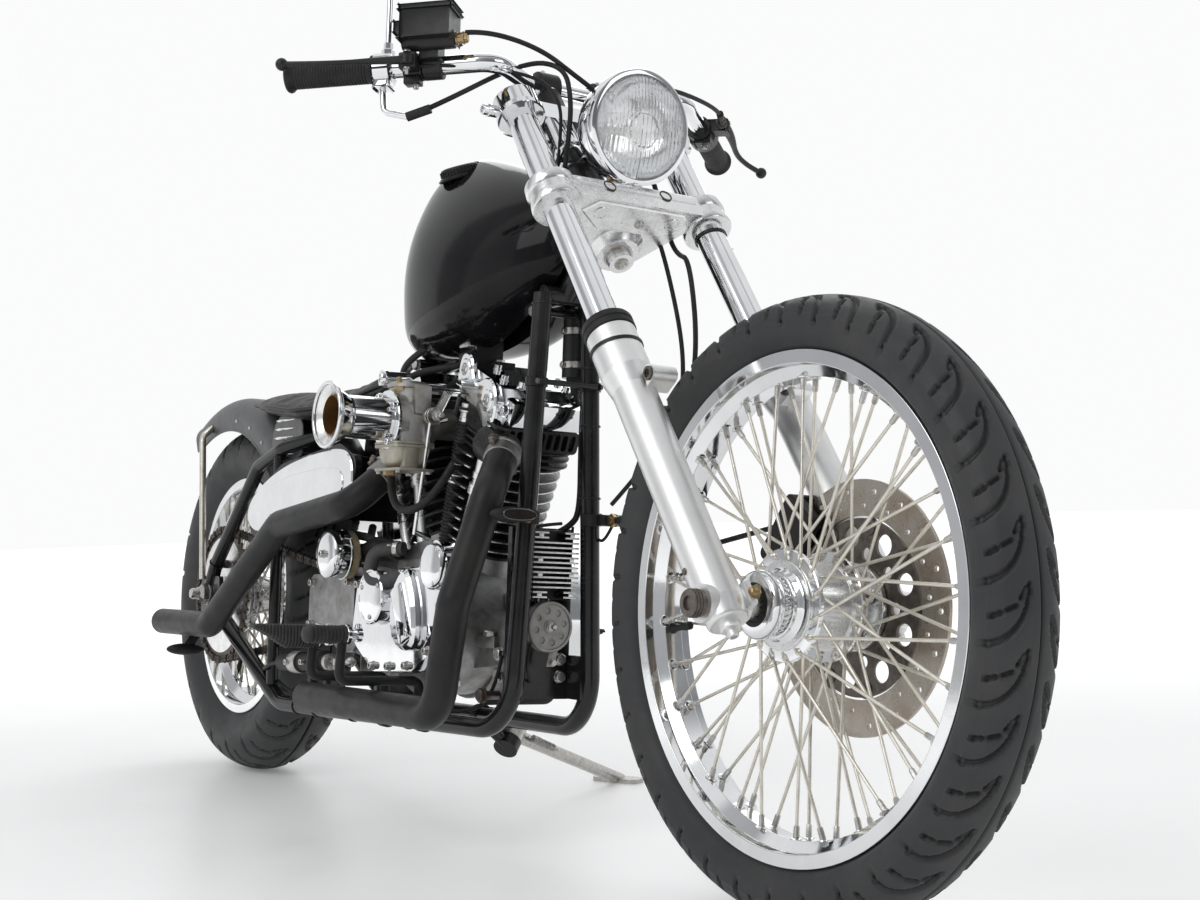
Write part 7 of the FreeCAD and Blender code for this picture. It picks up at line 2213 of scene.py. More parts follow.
    @staticmethod
    def bake(target: bpy.types.Object) -> None:
        """Turns an object's modifiers into its mesh."""
        bpy.context.view_layer.update()
        graph = bpy.context.evaluated_depsgraph_get()
        mesh = bpy.data.meshes.new_from_object(target.evaluated_get(graph))
        materials = list(target.data.materials)
        target.modifiers.clear()
        target.data = mesh
        if not mesh.materials:
            for material in materials:
                mesh.materials.append(material)


@dataclass
class RearFender:
    """The fender's rolled edges and bolts, and the louvred panels under the saddle.

    Attributes:
        skirt: the radius of its sides' lower edge.
        half: half its width.
        start: the angle of its front end from level, in degrees.
        end: the angle of its tail.
    """

    skirt: float = 302.0
    half: float = 90.0
    start: float = 44.0
    end: float = 117.0

    def build(self, shop: Workshop) -> None:
        """Makes the beads along both edges, the bolts and the side panels."""
        bead = Shape()
        for side in (-1, 1):
            line = []
            for step in range(41):
                turn = math.radians(self.start + (self.end - self.start) * step / 40)
                line.append(REAR_CENTRE + vec(self.skirt * math.cos(turn), side * (self.half - 1.2),
                                              self.skirt * math.sin(turn)))
            bead.tube(line, 2.6, 0.0, 10)
        shop.make("fender_beads", bead, FENDER_GREY)
        bolts = Shape()
        for side in (-1, 1):
            for turn in (58.0, 70.0, 82.0):
                angle = math.radians(turn)
                place = REAR_CENTRE + vec(math.cos(angle), 0.0, math.sin(angle)) * (self.skirt + 17.0)
                bolts.bolt(place + Y_AXIS * (side * (self.half + 0.2)), Y_AXIS * side, 3.6, Head.DOME)
        shop.make("fender_bolts", bolts, STEEL)
        self.side_panel(shop)

    def side_panel(self, shop: Workshop) -> None:
        """Makes the grey panels under the saddle and the bright louvres on them, whose chrome is a painted highlight
        along the louvres.
        """
        panel = Shape()
        louvres = Shape()
        for side in (-1, 1):
            out = side * 88.0
            panel.plate([smoothed([(-66.0, -42.0), (62.0, -42.0), (72.0, -18.0), (66.0, 40.0), (-52.0, 42.0)], 2)],
                        3.0, vec(276.0, out, 593.0), X_AXIS, Z_AXIS, 0.8)
            for row in range(5):
                z = 562.0 + row * 15.0
                back = 222.0 + row * 3.0
                length = 112.0 - row * 7.0
                shape = [(0.0, 0.0), (0.06, 1.0), (0.2, 1.6), (0.55, 1.2), (0.9, 0.5), (1.0, 0.0)]
                upper = [(share * length, tall * 2.1) for share, tall in shape]
                lower = [(share * length, -tall * 1.3) for share, tall in reversed(shape[1:-1])]
                louvres.plate([upper + lower], 4.4, vec(back, out + side * 2.6, z), X_AXIS, Z_AXIS, 1.3)
        shop.make("side_panels", panel, FENDER_GREY)
        # Painted highlight: the louvres are chrome rather than the fender's grey, standing in for the highlights along
        # them.
        shop.make("side_louvres", louvres, CHROME)


@dataclass
class Electrics:
    """The regulator's fins, the horn's face, the coil, the ignition lead and the signals.

    Attributes:
        plate: where the front engine plate's outer face lies.
        regulator: the regulator's middle height.
        horn: the horn's middle.
        coil: the foot of the coil canister.
    """

    plate: float = 990.3
    regulator: float = 386.0
    horn: Vector = vec(990.3, -6.0, 302.0)
    coil: Vector = vec(988.0, 46.0, 650.0)

    def build(self, shop: Workshop) -> None:
        """Makes the electric pieces that the frame carries."""
        self.regulator_fins(shop)
        self.horn_face(shop)
        self.coil_details(shop)
        self.signals(shop)
        self.harness(shop)

    def regulator_fins(self, shop: Workshop) -> None:
        """Replaces the plain regulator with a finned casting whose edges are bright."""
        black = Shape()
        bright = Shape()
        half, tall, deep = 37.0, 96.0, 38.0
        back = self.plate
        black.box(vec(back + 9.0, 0.0, self.regulator), (18.0, half * 2, tall), 2.0)
        rows = 14
        pitch = (tall - 8.0) / (rows - 1)
        for index in range(rows):
            level = self.regulator + tall / 2 - 4.0 - pitch * index
            corner = index in (0, 1, rows - 2, rows - 1)
            spans = ((-half + 1.0, -13.0), (13.0, half - 1.0)) if corner else ((-half + 1.0, half - 1.0),)
            for start, end in spans:
                middle = (start + end) / 2
                size = (deep - 16.0, end - start, 2.6)
                black.box(vec(back + 16.0 + size[0] / 2, middle, level), size, 0.5)
                bright.box(vec(back + deep - 0.4, middle, level), (1.2, end - start - 0.2, 2.4), 0.3)
            if index in (0, 5, 8, rows - 2):
                for y in (-half + 12.0, half - 12.0):
                    lower = level - pitch / 2
                    black.box(vec(back + 26.0, y, lower), (22.0, 7.0, pitch), 0.5)
                    bright.box(vec(back + deep - 0.4, y, lower), (1.2, 7.0, pitch), 0.3)
        for y in (-21.0, 21.0):
            black.box(vec(back + 6.0, y * 1.55, self.regulator + tall / 2 - 6.0), (8.0, 16.0, 12.0), 1.5)
        shop.make("regulator_casting", black, SATIN_BLACK, replaces=["regulator"])
        shop.make("regulator_edges", bright, FIN_EDGE)

    def horn_face(self, shop: Workshop) -> None:
        """Replaces the plain horn with a domed body, a face with eight holes, a centre bolt and a tab."""
        grey = Shape()
        centre = self.horn
        grey.lathe([(0.0, 20.0), (5.0, 22.0), (16.0, 32.0), (24.0, 35.0), (30.0, 35.0), (31.0, 33.6), (33.0, 35.2),
                    (38.0, 35.2), (39.6, 34.0), (39.8, 31.0), (36.0, 30.6)], centre, X_AXIS, 64)
        hole = [round_hole(22.0 * math.cos(t), 22.0 * math.sin(t), 4.1, 18)
                for t in (math.tau * k / 8 + 0.2 for k in range(8))]
        grey.plate([circle(0.0, 0.0, 31.2, 56)] + hole, 3.0, centre + X_AXIS * 36.6, Y_AXIS, Z_AXIS, 0.7)
        grey.lathe([(34.0, 11.0), (39.0, 10.0), (39.6, 8.0)], centre, X_AXIS, 32)
        grey.block(centre + vec(31.0, 8.0, -43.0), X_AXIS, Y_AXIS, vec(0.1, 0.2, 1.0), (3.0, 13.0, 24.0), 1.0)
        shop.make("horn_body", grey, HORN_GREY, replaces=["horn"])
        # Painted shade: a near-black disc just behind the face's holes stands in for the shade inside the horn.
        dark = Shape()
        dark.lathe([(33.4, 30.4), (34.0, 30.4)], centre, X_AXIS, 48)
        shop.make("horn_membrane", dark, SOOT_AND_SHADE)
        bolt = Shape()
        bolt.bolt(centre + X_AXIS * 39.2, X_AXIS, 7.0, Head.NUT)
        bolt.bolt(centre + vec(33.0, 9.5, -49.0), X_AXIS, 5.0, Head.HEX)
        for y in (-8.0, 8.0):
            bolt.box(centre + vec(14.0, y, 33.0), (8.0, 2.0, 10.0), 0.4)
        shop.make("horn_bolts", bolt, STEEL)

    def coil_details(self, shop: Workshop) -> None:
        """Adds the coil's clamps, tower, nut and the leads to both heads."""
        steel = Shape()
        for height in (18.0, 66.0):
            ring = [(-5.0, 20.2), (-4.4, 21.2), (4.4, 21.2), (5.0, 20.2)]
            steel.lathe(ring, self.coil + Z_AXIS * height, Z_AXIS, 40)
            steel.bolt(self.coil + vec(0.0, -21.5, height), -Y_AXIS, 5.0, Head.HEX)
        steel.bolt(self.coil + vec(0.0, 0.0, 86.5), Z_AXIS, 7.0, Head.NUT)
        shop.make("coil_clamps", steel, STEEL)
        tower = Shape()
        tower.lathe([(0.0, 14.0), (4.0, 13.0), (8.0, 8.0), (22.0, 7.0), (24.0, 5.0)], self.coil, -Z_AXIS, 28)
        plugs = []
        for side in (1, -1):
            up, across = bank(side)
            plugs.append(CRANK + up * (BARREL_TOP + 34.0) + across * (side * 30.0) + Y_AXIS * 78.0)
            tower.rod(plugs[-1] - Y_AXIS * 14.0, plugs[-1] + Y_AXIS * 16.0, 8.0, 18, 1.5)
        front_plug, rear_plug = plugs
        shop.make("plug_caps", tower, BLACK_RUBBER)
        leads = Shape()
        leads.cable([self.coil - Z_AXIS * 20.0, self.coil + vec(-4.0, 10.0, -46.0), front_plug + vec(10.0, 40.0, 8.0),
                     front_plug + Y_AXIS * 16.0], 3.6)
        leads.cable([self.coil + vec(0.0, 6.0, -18.0), self.coil + vec(-60.0, 60.0, -44.0), vec(820.0, 112.0, 640.0),
                     rear_plug + vec(30.0, 44.0, 6.0), rear_plug + Y_AXIS * 16.0], 3.6)
        shop.make("plug_leads", leads, BLACK_RUBBER)

    def signals(self, shop: Workshop) -> None:
        """Adds the signals' bands round the downtubes, their nuts, their bezels and smoked lenses."""
        brass = Shape()
        bands = Shape()
        lenses = Shape()
        for side in (-1, 1):
            tube = vec(1034.0, side * 50.6, 450.0)
            ring = [(-9.0, 13.8), (-8.0, 15.4), (8.0, 15.4), (9.0, 13.8)]
            bands.lathe(ring, tube, vec(0.0, side * 0.06, -1.0), 32)
            bands.box(tube + vec(16.0, side * 6.0, 0.0), (16.0, 9.0, 15.0), 1.5)
            stem = vec(1062.0, side * 63.0, 450.0)
            brass.lathe([(0.0, 7.0), (0.6, 9.6), (5.4, 9.6), (6.0, 8.0)], stem + Y_AXIS * (side * 1.0), Y_AXIS * side,
                        6)
            brass.lathe([(8.0, 9.0), (10.5, 9.0)], stem, Y_AXIS * side, 24)
            brass.rod(stem - Y_AXIS * (side * 2.0), stem + Y_AXIS * (side * 14.0), 5.2, 16)
            for x, y, z, height in ((1076.0, 98.0, 450.0, 21.0), (34.0, 160.0, 219.0, 21.0)):
                centre = vec(x, side * y, z)
                front = X_AXIS if x > 500 else -X_AXIS
                outline = [(28.5 * math.cos(t) * (1 - 0.12 * math.cos(2 * t)), height * 0.38 * math.sin(t))
                           for t in (math.tau * k / 40 for k in range(40))]
                lenses.plate([outline], 3.0, centre + front * 15.6, Y_AXIS, Z_AXIS, 1.2)
        shop.make("signal_bands", bands, SATIN_BLACK)
        shop.make("signal_nuts", brass, BRASS)
        shop.make("signal_lenses", lenses, SMOKED)

    def harness(self, shop: Workshop) -> None:
        """Runs the wiring under the tank, down the left downtube and to the horn and the regulator."""
        wires = Shape()
        wires.cable([vec(700.0, 22.0, 706.0), vec(800.0, 26.0, 716.0), vec(920.0, 24.0, 742.0),
                     vec(1004.0, 28.0, 752.0), vec(1030.0, 36.0, 700.0), vec(1014.0, 42.0, 560.0),
                     vec(1012.0, 46.0, 460.0), vec(1004.0, 34.0, 440.0), vec(998.0, 20.0, 432.0)], 4.4)
        wires.cable([vec(620.0, -30.0, 690.0), vec(660.0, -66.0, 668.0), vec(700.0, -74.0, 690.0),
                     vec(770.0, -58.0, 716.0), vec(860.0, -40.0, 742.0)], 5.2)
        wires.cable([vec(1000.0, 4.0, 336.0), vec(1018.0, 20.0, 350.0), vec(1010.0, 34.0, 390.0),
                     vec(1004.0, 40.0, 440.0)], 2.0)
        wires.cable([vec(1004.0, -14.0, 336.0), vec(1024.0, -30.0, 300.0), vec(1022.0, -38.0, 252.0),
                     vec(1000.0, -20.0, 226.0), vec(960.0, 8.0, 214.0)], 1.8)
        wires.cable([vec(1034.0, -58.0, 440.0), vec(1018.0, -44.0, 430.0), vec(1008.0, -20.0, 440.0),
                     vec(1006.0, 20.0, 444.0)], 2.4)
        wires.cable([vec(1062.0, 68.0, 444.0), vec(1052.0, 62.0, 420.0), vec(1036.0, 60.0, 424.0),
                     vec(1016.0, 48.0, 440.0)], 2.2)
        shop.make("wiring", wires, BLACK_RUBBER)
        ties = Shape()
        for height in (480.0, 580.0, 660.0):
            tube = vec(1030.0, 38.0 + (757.0 - height) * 0.042, height)
            ties.lathe([(-1.6, 14.0), (-1.2, 15.2), (1.2, 15.2), (1.6, 14.0)], tube, Z_AXIS, 28)
        shop.make("wiring_ties", ties, BLACK_MOULDING)


CRANK = vec(788.0, 0.0, 305.0)
VEE_HALF_ANGLE = math.radians(22.5)
CASE_SIDE = 76.0
BARREL_BASE = 118.0
BARREL_TOP = 262.0
HEAD_TOP = 322.0
ROCKER_TOP = 372.0
PUSHROD_SIDE = 62.0


def bank(side: int) -> Tuple[Vector, Vector]:
    """Gives a cylinder's upward direction and the one across it, for side 1 in front or -1 behind."""
    turn = VEE_HALF_ANGLE * side
    return vec(math.sin(turn), 0.0, math.cos(turn)), vec(math.cos(turn), 0.0, -math.sin(turn))


@dataclass
class Barrels:
    """The bright bands on the cylinders' fin rims, a painted highlight standing in for the light caught by the black
    fins' edges.

    Attributes:
        count: fins on each barrel.
        thickness: one fin's thickness.
        foot: the fins' radius at the foot.
        top: their radius at the top.
        gap: half the gap in the middle of the vee.
        room: the clear radius round each pushrod tube.
        proud: how far the bright edge stands out.
    """

    count: int = 9
    thickness: float = 4.0
    foot: float = 64.0
    top: float = 80.0
    gap: float = 1.5
    room: float = 15.5
    proud: float = 0.5

    def pushrods(self) -> List[Tuple[Vector, Vector]]:
        """Gives the foot and the top of each pushrod tube."""
        lines = []
        for side in (-1, 1):
            up, across = bank(side)
            for step in (-1, 1):
                foot = vec(CRANK.x + side * 52.0 + step * 23.0, -PUSHROD_SIDE, 380.0)
                lines.append((foot, CRANK + up * HEAD_TOP + across * (step * 40.0) - Y_AXIS * PUSHROD_SIDE))
        return lines

    def clear(self, point: Vector, side: int) -> bool:
        """Tells whether a place on a fin's edge is there, outside the vee's middle and the tubes' room."""
        if side * (point.x - CRANK.x) < self.gap + 0.4:
            return False
        for foot, top in self.pushrods():
            line = (top - foot).normalized()
            away = point - foot
            if (away - line * away.dot(line)).length < self.room + 1.0:
                return False
        return True

    def build(self, shop: Workshop) -> None:
        """Lays a thin bright band, a painted highlight, on each fin's rim wherever the fin is whole."""
        shape = Shape()
        pitch = (BARREL_TOP - BARREL_BASE) / self.count
        steps = 144
        for side in (-1, 1):
            up, across = bank(side)
            for index in range(self.count):
                radius = self.foot + (self.top - self.foot) * math.sqrt((index + 1) / self.count)
                low = BARREL_BASE + pitch * (index + 1) - self.thickness
                edge = [CRANK + up * low + (across * math.cos(t) + Y_AXIS * math.sin(t)) * radius
                        for t in (math.tau * k / steps for k in range(steps + 1))]
                keep = [self.clear(point, side) and (point - CRANK - up * low).dot(across) * side > radius * 0.2
                        for point in edge]
                for k in range(steps):
                    if not (keep[k] and keep[k + 1]):
                        continue
                    corners = []
                    for point in (edge[k], edge[k + 1]):
                        out = (point - CRANK - up * low).normalized() * self.proud
                        corners.append([shape.bm.verts.new(point + o + up * h) for o,
                                        h in ((out * 0.0, 0.6), (out, 0.9), (out, self.thickness - 1.9),
                                              (out * 0.0, self.thickness - 1.6))])
                    for a, b in zip(range(3), range(1, 4)):
                        shape.bm.faces.new((corners[0][a], corners[1][a], corners[1][b], corners[0][b]))
        bmesh.ops.remove_doubles(shape.bm, verts=shape.bm.verts[:], dist=0.05)
        shop.make("fin_edges", shape, FIN_EDGE)


@dataclass
class Heads:
    """The heads: lower fins, a slotted box above them, side fins, rocker flanges and fasteners.

    Attributes:
        half: half the head's length.
        half_width: half its width.
        slots: upright slots in the faces that meet the air.
        deck: how far up the box starts.
        fins: the fins between the barrel and the box.
        flange: the rocker flanges' thickness.
        cover_half: half the rocker boxes' width.
    """

    half: float = 78.0
    half_width: float = 67.0
    slots: int = 9
    deck: float = 290.0
    fins: int = 3
    flange: float = 9.0
    cover_half: float = 66.0

    def notched(self, half_a: float, half_b: float, corner: float) -> List[Flat]:
        """Gives a rounded outline with two notches on the right for the pushrod tubes."""
        points = rounded(half_a, half_b, corner)
        upper = [p for p in points if p[1] >= 0.0]
        lower = [p for p in points if p[1] < 0.0 and abs(p[0]) <= half_a]
        left = [p for p in lower if p[0] < 0.0]
        right = [p for p in lower if p[0] >= 0.0]
        cuts = []
        for middle in (-38.0, 38.0):
            cuts.append((middle - 13.0, -half_b))
            for k in range(1, 8):
                turn = math.pi * (1.0 - k / 8)
                cuts.append((middle + 13.0 * math.cos(turn), -PUSHROD_SIDE + 2.0 + 12.0 * math.sin(turn)))
            cuts.append((middle + 13.0, -half_b))
        return left + [c for c in cuts if abs(c[0]) < half_a - corner * 0.3] + right + upper

    def casting(self, shape: Shape, side: int) -> None:
        """Adds the core, the lower fins, the box with its slotted face and the port's boss."""
        up, across = bank(side)
        shape.lathe([(BARREL_TOP - 1.0, 40.0), (BARREL_TOP, 60.0), (self.deck + 2.0, 60.0), (self.deck + 3.0, 40.0)],
                    CRANK, up, 40)
        for index in range(self.fins):
            level = BARREL_TOP + 6.0 + index * 9.6
            shape.plate([self.notched(self.half + 0.5, self.half_width, 34.0)], 4.2, CRANK + up * level, across,
                        Y_AXIS, 1.1)
        tall = HEAD_TOP - self.deck
        middle = CRANK + up * (self.deck + tall / 2)
        shape.plate([self.notched(self.half - 5.0, self.half_width, 15.0)], tall, middle - across * (side * 5.0),
                    across, Y_AXIS, 2.0)
        wide = self.half_width * 2 - 22.0
        outlines = [rounded(wide / 2 + 5.0, tall / 2, 7.0)]
        for index in range(self.slots):
            place = -wide / 2 + wide * (index + 0.5) / self.slots
            slot = rounded(wide / self.slots * 0.31, tall / 2 - 4.5, wide / self.slots * 0.3)
            outlines.append([(place + a, b) for a, b in slot][::-1])
        shape.plate(outlines, 9.0, middle + across * (side * (self.half - 3.6)), Y_AXIS, up, 0.8)
        shape.lathe([(40.0, 30.0), (self.half - 4.0, 29.0), (self.half + 0.4, 27.0), (self.half + 0.6, 20.0)],
                    CRANK + up * (BARREL_TOP + 25.0) - Y_AXIS * (56.0 if side > 0 else 0.0), across * side, 36)

    def side_fins(self, shape: Shape, side: int) -> None:
        """Adds the nested angular fins at the right face's outer corner."""
        up, across = bank(side)
        for index in range(4):
            low = self.deck + 3.0 + index * 8.6
            reach = 10.0 - index * 1.2
            start = CRANK + up * low - Y_AXIS * self.half_width
            points = [start + across * (side * (self.half - 44.0)) - Y_AXIS * 1.0,
                      start + across * (side * (self.half - 30.0)) - Y_AXIS * reach,
                      start + across * (side * (self.half - 8.0)) - Y_AXIS * reach,
                      start + across * (side * (self.half + 2.0)) + Y_AXIS * 10.0]
            shape.tube(points, 3.2, 5.0, 8, 0.7)

    def rocker_flange(self, shape: Shape, side: int) -> List[Vector]:
        """Adds the two-lobed side plate of a rocker box.

        Returns:
            The middles of its two shaft ends.
        """
        up, across = bank(side)
        origin = CRANK + up * 352.0 - Y_AXIS * (self.cover_half + self.flange / 2)
        outline = [(-66, 30), (-58, 37), (-44, 38), (-32, 30), (-26, 16), (-14, 6), (0, 12), (14, 22), (30, 24),
                   (46, 16), (56, 0), (60, -20), (56, -42), (46, -52), (30, -40), (6, -26), (-18, -18), (-42, -14),
                   (-60, -4), (-68, 12)]
        smooth = smoothed([(float(a), float(b)) for a, b in outline])
        shape.plate([smooth], self.flange, origin, across, up, 2.4)
        return [origin + across * a + up * b - Y_AXIS * (self.flange / 2) for a, b in ((-46.0, 14.0), (34.0, -6.0))]

    def build(self, shop: Workshop) -> None:
        """Makes the heads' details on both cylinders."""
        black = Shape()
        chrome = Shape()
        sockets = Shape()
        fasteners = Shape()
        studs = Shape()
        for side in (-1, 1):
            up, across = bank(side)
            self.casting(black, side)
            self.side_fins(black, side)
            for middle in self.rocker_flange(chrome, side):
                chrome.lathe([(-1.0, 15.5), (1.2, 15.5), (2.4, 14.0), (2.4, 9.4), (-2.0, 9.0), (-2.0, 0.1)],
                             middle, -Y_AXIS, 36)
                sockets.lathe([(-1.5, 8.6), (0.4, 8.6), (0.8, 7.4), (0.8, 4.2), (-1.0, 4.0)], middle, -Y_AXIS, 6)
            lower = CRANK + up * (HEAD_TOP + 14.0)
            seam = [lower + across * a + Y_AXIS * b for a, b in ((-76, -67), (76, -67), (76, 67), (-76, 67),
                                                                 (-76, -67))]
            chrome.tube(seam, 1.6, 9.0, 8)
            chrome.block(CRANK + up * (HEAD_TOP + 20.0) + across * (side * 60.0), across, Y_AXIS, up,
                         (52.0, 126.0, 37.0), 9.0)
            for a, b in ((-58, 50), (-58, -30), (0, 58), (58, 46), (58, -34), (20, -50)):
                seat = CRANK + up * (ROCKER_TOP + 0.2) + across * (a * 0.72 * side) + Y_AXIS * (b * 0.9)
                fasteners.bolt(seat, up, 7.0, Head.ALLEN)
            small = CRANK + up * (HEAD_TOP + 26.0) + across * (side * 79.0) - Y_AXIS * 67.5
            fasteners.bolt(small, -Y_AXIS, 8.0, Head.ALLEN)
            for way in (-1, 1):
                foot = CRANK + up * (BARREL_BASE + 2.0) + across * (side * 51.0) + Y_AXIS * (way * 51.0)
                studs.rod(foot, foot + up * 9.0, 6.0, 12)
                studs.bolt(foot + up * 9.0, up, 10.0, Head.NUT)
        shop.make("head_castings", black, ENGINE_BLACK, replaces=["heads"])
        shop.make("rocker_flanges", chrome, CHROME)
        shop.make("rocker_sockets", sockets, STEEL)
        shop.make("rocker_screws", fasteners, CHROME)
        shop.make("barrel_nuts", studs, STEEL)


@dataclass
class Pushrods:
    """The collars, seals, ribbed sleeve and tappet blocks of the pushrod tubes."""

    def build(self, shop: Workshop) -> None:
        """Makes the telescopic collars, the seals, the ribbed sleeve and the two tappet blocks."""
        collars = Shape()
        rubber = Shape()
        blocks = Shape()
        for foot, top in Barrels().pushrods():
            run = (top - foot).normalized()
            length = (top - foot).length
            for share, radius, tall in ((0.12, 12.6, 5.0), (0.30, 10.2, 26.0), (0.52, 12.8, 6.0), (0.60, 11.2, 10.0),
                                        (0.78, 9.9, 30.0), (0.93, 11.8, 6.0)):
                start = foot + run * (length * share)
                collars.lathe([(0, radius - 1.2), (1.2, radius), (tall - 1.2, radius), (tall, radius - 1.2)], start,
                              run, 24)
            for place, radius in ((foot + run * (length * 0.08), 13.2), (top - run * 14.0, 12.9)):
                rubber.lathe([(0, 12.0), (1.0, radius), (3.0, radius), (4.0, 12.0)], place, run, 24)
        for side in (-1, 1):
            centre = vec(CRANK.x + side * 52.0, -PUSHROD_SIDE - 1.0, 381.0)
            blocks.box(centre, (76.0, 30.0, 22.0), 4.0)
            for step in (-1, 1):
                blocks.bolt(centre + vec(step * 31.0, -6.0, 11.0), Z_AXIS, 6.0, Head.HEX)
        shop.make("pushrod_collars", collars, POLISHED_ALLOY)
        ribs = Shape()
        foot, top = max(Barrels().pushrods(), key=lambda pair: pair[1].x if pair[1].x < CRANK.x + 125.0 else -1.0)
        run = (top - foot).normalized()
        profile = [(0.0, 10.0)]
        for index in range(int((top - foot).length * 0.78 / 5.2)):
            profile += [(index * 5.2 + a, r) for a, r in ((0.6, 11.2), (1.8, 13.2), (3.4, 13.2), (4.6, 11.2))]
        profile.append((profile[-1][0] + 0.6, 10.0))
        ribs.lathe(profile, foot + run * ((top - foot).length * 0.11), run, 28)
        shop.make("pushrod_sleeve", ribs, ENGINE_BLACK)
        shop.make("pushrod_seals", rubber, BLACK_RUBBER)
        shop.make("tappet_blocks", blocks, CAST_ALLOY)


@dataclass
class Covers:
    """Screws, rings and ribs on the engine's outer covers."""

    def build(self, shop: Workshop) -> None:
        """Makes the details of the right and left covers."""
        self.right_side(shop)
        self.left_side(shop)
        self.castings(shop)

    def right_side(self, shop: Workshop) -> None:
        """Adds the points cover, the cone, its facets and the cover's screws."""
        face = -CASE_SIDE - 42.3
        chrome = Shape()
        lid = vec(CRANK.x - 67.0, face, CRANK.z + 27.0)
        chrome.lathe([(8.0, 41.0), (12.0, 41.0), (13.5, 39.5), (13.5, 36.8), (12.7, 36.0), (14.2, 20.0), (14.6, 0.1)],
                     lid, -Y_AXIS, 64)
        boss = vec(CRANK.x + 112.0, face, CRANK.z + 74.0)
        chrome.lathe([(-2.0, 33.0), (5.0, 33.0), (9.0, 30.0), (10.5, 24.0), (11.0, 0.1)], boss, -Y_AXIS, 64)
        nose = [(-34, 34), (-6, 62), (14, 60), (40, 10), (44, -38), (22, -56), (-24, -50), (-42, -10)]
        outline = smoothed([(float(a) * 0.95, float(b)) for a, b in nose], 1)
        chrome.plate([outline], 16.0, vec(CRANK.x + 36.0, face - 6.0, CRANK.z + 8.0), X_AXIS, Z_AXIS, 5.0)
        chrome.block(vec(CRANK.x + 40.0, face - 12.0, CRANK.z + 6.0), vec(0.9, 0.0, 0.44), Y_AXIS,
                     vec(-0.44, 0.0, 0.9), (34.0, 14.0, 84.0), 5.0)
        shop.make("cam_cover_lids", chrome, CHROME)
        screws = Shape()
        for a, b in ((-142, -30), (-128, 44), (-70, -74), (-18, -72), (36, -68), (96, -44), (132, 20), (128, 70),
                     (66, 62), (-52, 60)):
            seat = vec(CRANK.x + a * 1.02, face - 0.2, CRANK.z + b * 1.0)
            if b < 60:
                screws.bolt(seat, -Y_AXIS, 7.0, Head.ALLEN)
        for turn in (0.6, 2.7, 4.8):
            screws.bolt(lid + wheeled(30.0, turn, -13.4), -Y_AXIS, 4.5, Head.DOME, False)
        for turn in (1.0, 3.1, 5.2):
            screws.bolt(boss + wheeled(26.0, turn, -8.4), -Y_AXIS, 4.5, Head.DOME, False)
        sprocket = -CASE_SIDE - 32.3
        for a, b in ((-58, 30), (-58, -36), (88, -36), (80, 34)):
            screws.bolt(vec(520.0 + a, sprocket, 318.0 + b), -Y_AXIS, 7.0, Head.ALLEN)
        shop.make("cover_screws", screws, STEEL)

    def left_side(self, shop: Workshop) -> None:
        """Adds the clutch lid, the inspection cover and the screws of the primary cover."""
        face = CASE_SIDE + 62.3
        chrome = Shape()
        clutch = vec(559.0, face + 12.0, 318.0)
        chrome.lathe([(-2.0, 88.0), (2.0, 88.0), (4.0, 85.0), (4.0, 60.0), (7.0, 54.0), (8.5, 30.0), (9.0, 0.1)],
                     clutch, Y_AXIS, 64)
        chrome.lathe([(-2.0, 46.0), (3.0, 46.0), (5.0, 43.0), (6.0, 20.0), (6.0, 0.1)], vec(798.0, face, 305.0),
                     Y_AXIS, 48)
        chrome.plate([rounded(34.0, 17.0, 15.0)], 6.0, vec(684.0, face + 2.0, 322.0), X_AXIS, Z_AXIS, 1.5)
        shop.make("primary_lids", chrome, CHROME)
        screws = Shape()
        for turn in range(5):
            angle = math.tau * turn / 5 + 0.3
            screws.bolt(clutch + wheeled(74.0, angle, 3.8), Y_AXIS, 6.0, Head.ALLEN, False)
        for a, b in ((462, 372), (452, 270), (520, 218), (640, 214), (740, 216), (834, 222), (884, 280), (886, 336),
                     (840, 388), (740, 394), (640, 410), (520, 418)):
            screws.bolt(vec(a, face - 0.2, b), Y_AXIS, 7.0, Head.ALLEN)
        for a in (-26.0, 26.0):
            screws.bolt(vec(684.0 + a, face + 4.8, 322.0), Y_AXIS, 5.0, Head.ALLEN, False)
        shop.make("primary_screws", screws, STEEL)

    def castings(self, shop: Workshop) -> None:
        """Adds the ribs, plugs and joint line of the crankcase."""
        cast = Shape()
        for index in range(5):
            x = 560.0 + index * 34.0
            cast.box(vec(x, 0.0, 224.0), (6.0, 130.0, 26.0), 1.5)
        ring = [CRANK + wheeled(113.0, t) for t in (math.radians(a) for a in range(-130, 21, 10))]
        cast.tube(ring, 5.0, 0.0, 8, 0.6)
        cast.box(vec(915.0, 0.0, 276.0), (60.0, 92.0, 18.0), 4.0)
        shop.make("crankcase_ribs", cast, CAST_ALLOY)
        studs = Shape()
        for a, b, y in ((700, 236, -60), (860, 226, -60), (860, 226, 60), (700, 236, 60), (930, 300, -44),
                        (930, 300, 44)):
            studs.bolt(vec(a, y, b - 8.0), -Z_AXIS, 10.0, Head.HEX)
        studs.bolt(vec(676.0, 0.0, 226.0), -Z_AXIS, 16.0, Head.HEX)
        shop.make("crankcase_bolts", studs, STEEL)


